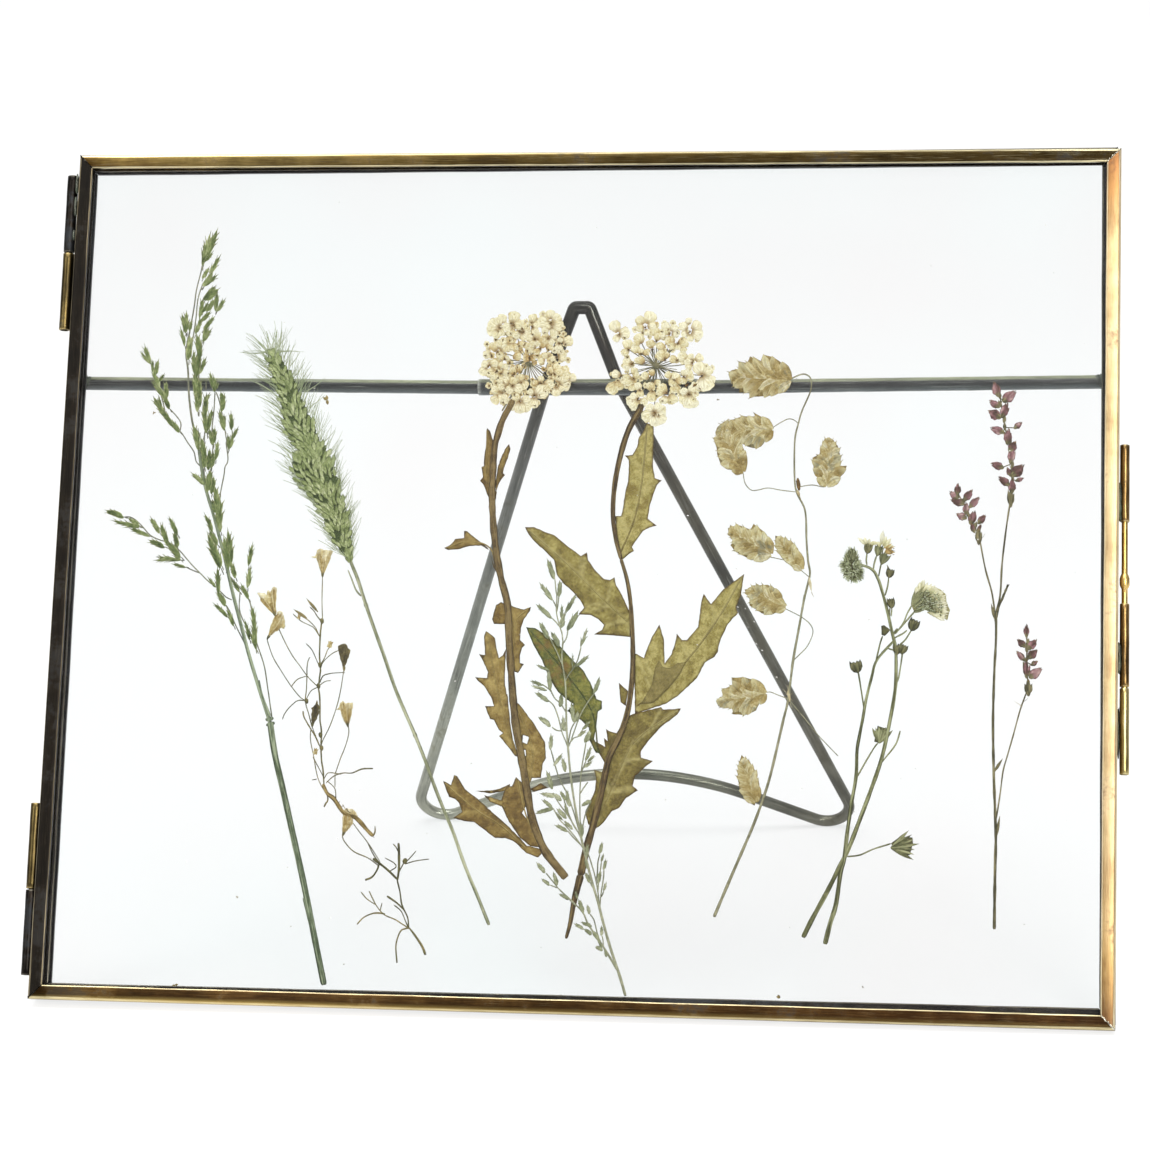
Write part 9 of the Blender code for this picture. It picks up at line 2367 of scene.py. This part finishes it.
def build_quaking_grass():
    """Quaking grass: stem with threads, and its flat papery heads."""
    piece = Piece(161)
    stem(piece, QUAKING_STEM, look=1, sides=10, rough=0.1)
    stems(piece, QUAKING_STRANDS, look=1, sides=6, rough=0.12, thick=0.72, least=0.95)
    quaking_head(piece, QUAKING_HEADS["small"], *QUAKING_AXES["small"])
    grain_body(piece, QUAKING_JOINT, 4.4, 13.5, 1.45, LAYER_W + 0.1, 0.4, look=2, rings=4)
    for a, b in QUAKING_SHEATHS:
        scale(piece, a, b, 3.0, LAYER_W + 0.35, cup=0.12, look=3, rows=7)
        hair(piece, b, (b[0] + 2.4, b[1] + 5), 0.8, LAYER_W + 0.4, 0.05, look=3)
    for _ in range(7):
        end = (QUAKING_SHEATHS[1][0][0] + piece.chance.uniform(-6, 7),
               QUAKING_SHEATHS[1][0][1] + piece.chance.uniform(-7, 12))
        hair(piece, QUAKING_TUFT, end, 0.7, LAYER_W + 0.3, 0.1, look=3)
    piece.build("looks_quaking_grass_stem", world_from_pixels, "back_leaf",
                [QUAKING_SCALE, QUAKING_STEM_LOOK, FLOWER_HEART, PAPER_SHEATH],
                ["quaking_grass_stem"], "quaking_stems")
    for seed, (name, outline) in enumerate(QUAKING_HEADS.items()):
        if name == "small":
            continue
        piece = Piece(162 + seed)
        if name == "pair":
            cut = QUAKING_LOWER_HEAD
            lower = [p for p in outline if p[0] < cut["right"] and not p[1] < cut["top"]
                     and p[0] != cut["left out"]]
            x, y = QUAKING_UPPER_HEAD["corner"]
            upper = [p for p in outline if p[1] < QUAKING_UPPER_HEAD["bottom"]
                     and not (p[0] < x and p[1] > y)]
            quaking_head(piece, lower, *QUAKING_PAIR_LOWER)
            quaking_head(piece, upper, *QUAKING_PAIR_UPPER)
        else:
            quaking_head(piece, outline, *QUAKING_AXES[name])
        piece.build("looks_quaking_grass_head_" + name, world_from_pixels, "back_leaf",
                    [QUAKING_SCALE], ["quaking_grass_head_" + name], "quaking_scales")


def cup_of_bracts(piece, foot, tip, width, look, count=7, base_w=LAYER_W + 0.2, fan=34):
    """A bud's or flower's green cup: narrow bracts that fan out from its foot."""
    foot, tip = np.array(foot, float), np.array(tip, float)
    axis = tip - foot
    for k in range(count):
        s = 2 * k / max(count - 1, 1) - 1
        end = foot + turned_by(axis, fan * s) * piece.chance.uniform(0.86, 1.08)
        scale(piece, foot, end, width * 0.38, base_w + 0.16 * (1 - s * s), lift=0.05, cup=0.14,
              widest=0.5, look=look, rows=8, pinch=0.35, ridge=0.06)


def seed_cup(piece, foot, tip, width, look):
    """An open seed cup: rounded at the foot and flat on top, with pointed lobes."""
    foot, tip = np.array(foot, float), np.array(tip, float)
    axis = tip - foot
    side = np.array((-axis[1], axis[0])) / max(np.linalg.norm(axis), 1e-6)
    outline = [tuple(foot + axis * up * piece.chance.uniform(0.95, 1.05) + side * out * width)
               for out, up in CUP_OUTLINE]
    ribs = [[tuple(foot), tuple(foot + axis * 0.5 + side * s * width * 0.5),
             tuple(foot + axis * 0.95 + side * s * width * 0.45)] for s in (-0.8, 0.0, 0.8)]
    blade(piece, outline, ribs, LAYER_W + 0.05, look=look, spacing=1.7, dome=0.55, crumple=0.2,
          vein_height=0.1, fray=0.2)
    cup_of_bracts(piece, foot, tip, width * 0.8, look, count=4, base_w=LAYER_W + 0.5, fan=22)


def burr(piece, middle, outline, count, looks, length):
    """A head of fine bristles: short ones all over, and longer ones that stand out round it."""
    middle = np.array(middle, float)
    for k in range(count):
        heading = turned_by((1, 0), piece.chance.uniform(0, 360))
        rim = reach_inside(middle, heading, outline)
        if k < count * 0.3:
            far, lean, reach = rim * piece.chance.uniform(0.88, 1.0), 14, length
        else:
            far, lean = rim * math.sqrt(piece.chance.random()) * 0.94, 60
            reach = length * 0.55
        own = turned_by(heading, piece.chance.uniform(-lean, lean))
        start = middle + heading * far
        hair(piece, start, start + own * piece.chance.uniform(0.6, 1.2) * reach, 0.95,
             LAYER_W + 0.5 + 0.4 * k / count, 0.12, look=looks[k % len(looks)])


def build_knapweed():
    """Knapweed: stems with buds and cups, the woolly head and the open fan."""
    looks = [KNAPWEED_GREEN, KNAPWEED_BUD_LOOK, KNAPWEED_CREAM, FLOWER_HEART, KNAPWEED_TAN,
             KNAPWEED_FUZZ]
    piece = Piece(171)
    stem(piece, KNAPWEED_STEM, sides=12, rough=0.08)
    stem(piece, KNAPWEED_SIDE_STEM, sides=12, rough=0.08, base_w=LAYER_W + 0.08)
    stems(piece, KNAPWEED_STRANDS, sides=7, rough=0.12, least=1.7)
    for (x, y, w, _), foot in zip(KNAPWEED_BUDS, KNAPWEED_BUD_FEET):
        tip = np.array((x, y), float) * 2 - np.array(foot)
        seed_cup(piece, foot, foot + (tip - foot) * 0.94, w * 0.95, 1)
    scale(piece, *KNAPWEED_SPUR, LAYER_W + 0.3, look=1)
    hair(piece, *KNAPWEED_SPUR_HAIR, 1.4, LAYER_W + 0.3, 0.1, look=1)
    leaf(piece, "bud_leaf", KNAPWEED_BUD_LEAF, look=1, spacing=2.2)
    for start, end, width in KNAPWEED_LEFT_PETALS:
        scale(piece, start, end, width, LAYER_W + 0.4, look=2, rows=8, widest=0.55, ruffle=0.15)
    cup_of_bracts(piece, *KNAPWEED_LEFT_CUP, 9.0, 0, count=7, fan=24)
    stems(piece, KNAPWEED_JOINTS, sides=8, rough=0.1, base_w=LAYER_W + 0.05)
    for start, end, width in KNAPWEED_RIGHT_PETALS:
        scale(piece, start, end, width, LAYER_W + 0.36, look=2, rows=9, widest=0.55, ridge=0.06,
              ruffle=0.12)
    for _ in range(22):
        start = (KNAPWEED_TAN_FLORETS[0] + piece.chance.uniform(-1.5, 2.5),
                 KNAPWEED_TAN_FLORETS[1] + piece.chance.uniform(-4, 3))
        heading = turned_by((1, 0), piece.chance.uniform(-50, 42))
        scale(piece, start, start + heading * piece.chance.uniform(4.5, 9.0), 1.9,
              LAYER_W + 0.44, look=4, rows=6, columns=3, ruffle=0.2)
    cup_of_bracts(piece, *KNAPWEED_MIDDLE_CUP, 9.0, 0, count=6, fan=24)
    cup_of_bracts(piece, *KNAPWEED_RIGHT_CUP, 9.5, 0, count=6, fan=25, base_w=LAYER_W + 0.4)
    for _ in range(8):
        start = (KNAPWEED_DARK_HAIRS[0] + piece.chance.uniform(-2, 4),
                 KNAPWEED_DARK_HAIRS[1] + piece.chance.uniform(-3, 5))
        hair(piece, start, (start[0] + piece.chance.uniform(0, 4), start[1]
                            + piece.chance.uniform(-3, 4)), 0.9, LAYER_W + 0.6, 0.1, look=3)
    for outline, foot in zip(KNAPWEED_CAPSULES, KNAPWEED_CAPSULE_FEET):
        blade(piece, outline, [], LAYER_W, look=1, spacing=2.2, dome=0.4)
        middle = np.array(outline, float).mean(0)
        tip = middle * 2 - np.array(foot)
        cup_of_bracts(piece, foot, tip, 11.0, 0, count=7, fan=36, base_w=LAYER_W + 0.3)
    piece.build("looks_knapweed_stems", world_from_pixels, "back_leaf", looks,
                ["knapweed_stems"], "knapweed_stems")

    piece = Piece(172)
    blade(piece, KNAPWEED_HEAD, [], LAYER_W, look=1, spacing=2.4, dome=0.4, tone=0.5)
    burr(piece, KNAPWEED_HEAD_MIDDLE, KNAPWEED_HEAD, 640, (5, 5, 0, 5, 5, 1, 5), 3.9)
    for start, end, width in KNAPWEED_HEAD_BRACTS:
        scale(piece, start, end, width, LAYER_W + 0.95, look=0, rows=8, cup=0.1)
    piece.build("looks_knapweed_head", world_from_pixels, "back_leaf", looks,
                ["knapweed_head"], "knapweed_stems")

    piece = Piece(173)
    inner = [p for p in KNAPWEED_FAN if p != KNAPWEED_FAN_NOTCH]
    blade(piece, inner, [], LAYER_W, look=2, spacing=2.4, dome=0.3, crumple=0.2, tone=0.6)
    middle = np.array(KNAPWEED_FAN_MIDDLE)
    core = [tuple(middle + (np.array(p) - middle) * 0.7) for p in inner]
    blade(piece, core, [], LAYER_W + 0.2, look=1, spacing=2.4, dome=0.2, crumple=0.2, tone=0.6)
    foot = np.array(KNAPWEED_FAN_FOOT)
    for end in KNAPWEED_FAN_TIPS:
        tip = np.array(end, float)
        start = foot + (tip - foot) * 0.55
        for turn in (-9, -2, 5):
            own = start + turned_by(tip - start, turn) * piece.chance.uniform(0.82, 1.05)
            scale(piece, start, own, 2.9, LAYER_W + 0.42, look=2, rows=8, widest=0.6,
                  ridge=0.05, ruffle=0.2, tone=piece.chance.random())
    burr(piece, middle, core, 560, (5, 0, 5, 5, 1, 5, 5), 2.4)
    for start, end, width in KNAPWEED_FAN_BRACTS:
        scale(piece, start, end, width, LAYER_W + 0.95, look=0, rows=8, cup=0.12, widest=0.4)
    piece.build("looks_knapweed_fan", world_from_pixels, "back_leaf", looks,
                ["knapweed_fan"], "knapweed_stems")


def knotweed_bud(piece, row, axis_line, look=0):
    """A small pink bud: four folded tepals over a plump grain, pointing away from its stem."""
    x, y, w, h = row
    middle = np.array((x, y), float)
    gaps = np.linalg.norm(axis_line - middle, axis=1)
    root = axis_line[int(np.argmin(gaps))]
    outward = middle - root
    upward = np.array((0.0, -1.0))
    lean = unit(outward) * min(np.linalg.norm(outward) / 8, 1.2) + upward * 0.8
    heading = unit(lean)
    if w > h * 1.15:
        heading = unit(np.array((math.copysign(1.0, outward[0] or 1.0), -0.35)))
    size = max(w, h)
    narrow = min(w, h)
    foot, tip = middle - heading * size * 0.54, middle + heading * size * 0.56
    tone = piece.chance.random() * 0.9
    narrow *= 1.12
    grain_body(piece, middle - heading * size * 0.04, narrow * 0.8, size * 0.88,
               math.atan2(heading[1], heading[0]), LAYER_W + 0.05, 0.42, look=look,
               tone=tone * 0.4, sides=13, rings=4, pointed=0.8)
    for turn, wide, far, up in ((-17, 0.58, 0.76, 0.28), (17, 0.58, 0.78, 0.32),
                                (-6, 0.52, 0.98, 0.36), (5, 0.54, 1.0, 0.4)):
        turn += piece.chance.uniform(-2.5, 2.5)
        end = foot + turned_by(tip - foot, turn) * far * piece.chance.uniform(0.96, 1.04)
        scale(piece, foot, end, narrow * wide, LAYER_W + up, lift=0.03, cup=0.18, widest=0.42,
              look=look, tone=min(max(tone + piece.chance.uniform(-0.55, 0.35), 0), 1), rows=9,
              columns=7, pinch=0.3, ridge=0.09, ruffle=0.16)
    hair(piece, tip - heading * 2.0, tip + heading * 0.6, 1.2, LAYER_W + 0.46, 0.08, look=2)
    if np.linalg.norm(outward) > 3:
        stem(piece, (1.2, 1.0, [tuple(root), tuple(foot)]), look=1, sides=5, least=1.1)
    for turn in (-20, 20):
        scale(piece, foot - heading * 1.6, foot + turned_by(heading, turn) * 4.4, narrow * 0.34,
              LAYER_W + 0.44, look=1, cup=0.1, rows=6)


def build_knotweed():
    """Knotweed: stem with its side spike, the tall spike and the short one."""
    looks = [KNOTWEED_PINK, KNOTWEED_GREEN, FLOWER_HEART, PAPER_SHEATH]
    for name, seed, strands, buds, axis in (
        ("knotweed_stem", 181, [KNOTWEED_STEM, KNOTWEED_SIDE_AXIS], KNOTWEED_SIDE_BUDS,
         KNOTWEED_SIDE_AXIS),
        ("knotweed_tall_spike", 182, [KNOTWEED_TALL_AXIS], KNOTWEED_TALL_BUDS,
         KNOTWEED_TALL_AXIS),
        ("knotweed_short_spike", 183, [KNOTWEED_SHORT_AXIS], KNOTWEED_SHORT_BUDS,
         KNOTWEED_SHORT_AXIS),
    ):
        piece = Piece(seed)
        stems(piece, strands, look=1, sides=8, rough=0.16, thick=0.8, least=1.5)
        line = smooth_line(axis[2], 2.0)
        lowest = max(buds, key=lambda row: row[1])
        top = min(row[1] for row in buds)
        for row in buds:
            knotweed_bud(piece, row, line, look=1 if row == lowest else 0)
        for index in range(2, len(line) - 3, 4):
            x, y = line[index]
            if top + 4 < y < lowest[1] + 6:
                heading = turned_by(unit(np.array((0.0, -1.0))), piece.chance.uniform(-26, 26))
                scale(piece, (x, y + 3), np.array((x, y + 3)) + heading * piece.chance.uniform(
                    6.5, 9.5), 3.6, LAYER_W + 0.2, look=1, cup=0.16, rows=8, columns=7)
        if name == "knotweed_stem":
            path = KNOTWEED_LEAF[2]
            leafy = [(a[0] - 1.0, a[1]) for a in path] + [(a[0] + 1.6, a[1]) for a in path[::-1]]
            blade(piece, leafy, [list(path)], LAYER_W + 0.1, look=1, spacing=1.9)
            for a, b in KNOTWEED_SHEATHS:
                scale(piece, a, b, 3.2, LAYER_W + 0.3, look=1, cup=0.12, rows=7)
        for k in range(8):
            root = line[piece.chance.randrange(len(line) // 2)]
            heading = turned_by((0.0, -1.0), piece.chance.uniform(-60, 60))
            hair(piece, root, root + heading * piece.chance.uniform(4, 9), 0.6, LAYER_W + 0.3,
                 0.1, look=3 if k % 2 else 1)
        piece.build("looks_" + name, world_from_pixels, "back_leaf", looks, [name],
                    "knotweed_stems" if name == "knotweed_stem" else "knotweed_buds")


def build_specks():
    """Dust on the front pane, and crumbs of plant that lie at the bottom between the panes."""
    piece = Piece(191)
    (left, top), (right, bottom) = DUST_AREA
    for _ in range(70):
        x, y = piece.chance.uniform(left, right), piece.chance.uniform(top, bottom)
        size = piece.chance.uniform(0.5, 1.1)
        scale(piece, (x - size, y), (x + size, y + piece.chance.uniform(-size, size)), size * 1.3,
              FRONT_PANE_W + 0.01, lift=0.02, cup=0.03, rows=4, columns=3)
    (left, top), (right, bottom) = DUST_PATCH
    for _ in range(26):
        x, y = piece.chance.uniform(left, right), piece.chance.uniform(top, bottom)
        size = piece.chance.uniform(0.4, 0.9)
        scale(piece, (x - size, y), (x + size, y + size), size, FRONT_PANE_W + 0.01, lift=0.02,
              cup=0.03, rows=4, columns=3, tone=1.0)
    piece.build("glass_dust", world_from_pixels, "front_leaf", [DUST])
    piece = Piece(192)
    for x, y, size in CRUMBS:
        for _ in range(3):
            heading = turned_by((1, 0), piece.chance.uniform(0, 360))
            scale(piece, (x, y), np.array((x, y)) + heading * size * 1.4, size * 0.9,
                  LAYER_W + 0.05, cup=0.12, rows=5, columns=5)
    piece.build("plant_crumbs", world_from_pixels, "back_leaf", [CHIP])


# ---- Stage ---------------------------------------------------------------------------------------
FLOOR_GLOW = (0.775, 0.83)


def build_stage():
    """The pale floor, which curves up behind; its glow evens out the light."""
    nodes = Nodes("pale floor")
    place = nodes.object_place()
    soft = nodes.noise(place, 1.4, 2.0)
    paper = nodes.mix(soft, "#848484", "#7E7E7E")
    depth = nodes.node("ShaderNodeSeparateXYZ", {"Vector": place}).outputs["Y"]
    glow = nodes.ramp(nodes.math("MULTIPLY", nodes.math("ADD", depth, 1.0), 0.4),
                      [(0.0, FLOOR_GLOW[0]), (1.0, FLOOR_GLOW[1])])
    nodes.set(Base_Color=paper, Roughness=0.85, Specular_IOR_Level=0.1, Emission_Color=glow,
              Emission_Strength=1.0)
    rows = [(-4.0, 0.0), (2.4, 0.0)]
    rows += [(2.4 + 1.6 * math.sin(a), 1.6 * (1 - math.cos(a)))
             for a in (math.pi / 2 * k / 12 for k in range(1, 13))]
    rows += [(4.0, 5.0)]
    points, faces = [], []
    for y, z in rows:
        points += [(-6.0, y, z), (6.0, y, z)]
    for i in range(len(rows) - 1):
        faces.append([2 * i, 2 * i + 1, 2 * i + 3, 2 * i + 2])
    mesh = bpy.data.meshes.new("floor")
    mesh.from_pydata(points, [], faces)
    mesh.polygons.foreach_set("use_smooth", [True] * len(faces))
    mesh.materials.append(nodes.material)
    floor = bpy.data.objects.new("floor", mesh)
    bpy.context.scene.collection.objects.link(floor)


def area_light(name, place, target, size, power, colour=(1, 1, 1)):
    """A soft rectangular light that looks at its target."""
    light = bpy.data.lights.new(name, "AREA")
    light.shape = "RECTANGLE"
    light.size, light.size_y = size
    light.energy = power
    light.color = colour
    made = bpy.data.objects.new(name, light)
    made.location = place
    made.rotation_mode = "QUATERNION"
    made.rotation_quaternion = (Vector(target) - Vector(place)).to_track_quat("-Z", "Y")
    bpy.context.scene.collection.objects.link(made)
    return made


def build_lights():
    """A grey studio all round, one large soft light above and two in front."""
    surround = bpy.data.worlds.new("studio")
    surround.use_nodes = True
    tree = surround.node_tree
    place = tree.nodes.new("ShaderNodeTexCoord")
    split = tree.nodes.new("ShaderNodeSeparateXYZ")
    sky = tree.nodes.new("ShaderNodeValToRGB")
    tree.links.new(place.outputs["Generated"], split.inputs[0])
    tree.links.new(split.outputs["Z"], sky.inputs["Fac"])
    tree.links.new(sky.outputs["Color"], tree.nodes["Background"].inputs["Color"])
    elements = sky.color_ramp.elements
    while len(elements) < 4:
        elements.new(0.5)
    for element, (height, level) in zip(elements, ((0.0, 0.16), (0.35, 0.22), (0.62, 0.6),
                                                   (1.0, 0.75))):
        element.position, element.color = height, (level, level, level, 1)
    tree.nodes["Background"].inputs["Strength"].default_value = 1.0
    bpy.context.scene.world = surround
    area_light("soft_top", (-0.2, -0.3, 1.7), (0, 0, 0.1), (1.6, 1.2), 30)
    area_light("soft_front_right", (0.62, -1.5, 0.85), (0, 0, 0.1), (0.7, 1.0), 21,
               (1.0, 0.98, 0.95))
    area_light("soft_front_left", (-1.3, -1.2, 0.9), (0, 0, 0.1), (0.5, 0.9), 7)


def build_camera():
    """The camera where the photograph was taken from."""
    camera = bpy.data.cameras.new("camera")
    camera.sensor_width = SENSOR_MM
    camera.lens = FOCAL_PX * SENSOR_MM / PHOTO_SIZE
    camera.clip_start, camera.clip_end = 0.05, 40.0
    made = bpy.data.objects.new("camera", camera)
    made.location = Vector(world_from_front([CAMERA])[0])
    origin = world_from_front([(0, 0, 0)])[0]
    axes = [world_from_front([tuple(axis / MM)])[0] - origin for axis in
            (RIGHT, -DOWN, -FORWARD)]
    made.rotation_mode = "QUATERNION"
    from_axes = np.array(axes).T
    made.rotation_quaternion = Matrix(from_axes.tolist()).to_quaternion()
    bpy.context.scene.collection.objects.link(made)
    bpy.context.scene.camera = made


build_frame()
build_solder()
build_brome()
build_foxtail()
build_bell_sprig()
build_left_umbel()
build_right_umbel()
build_meadow_grass()
build_quaking_grass()
build_knapweed()
build_knotweed()
build_specks()
build_stage()
build_lights()
build_camera()
bpy.context.scene.view_settings.view_transform = "Standard"
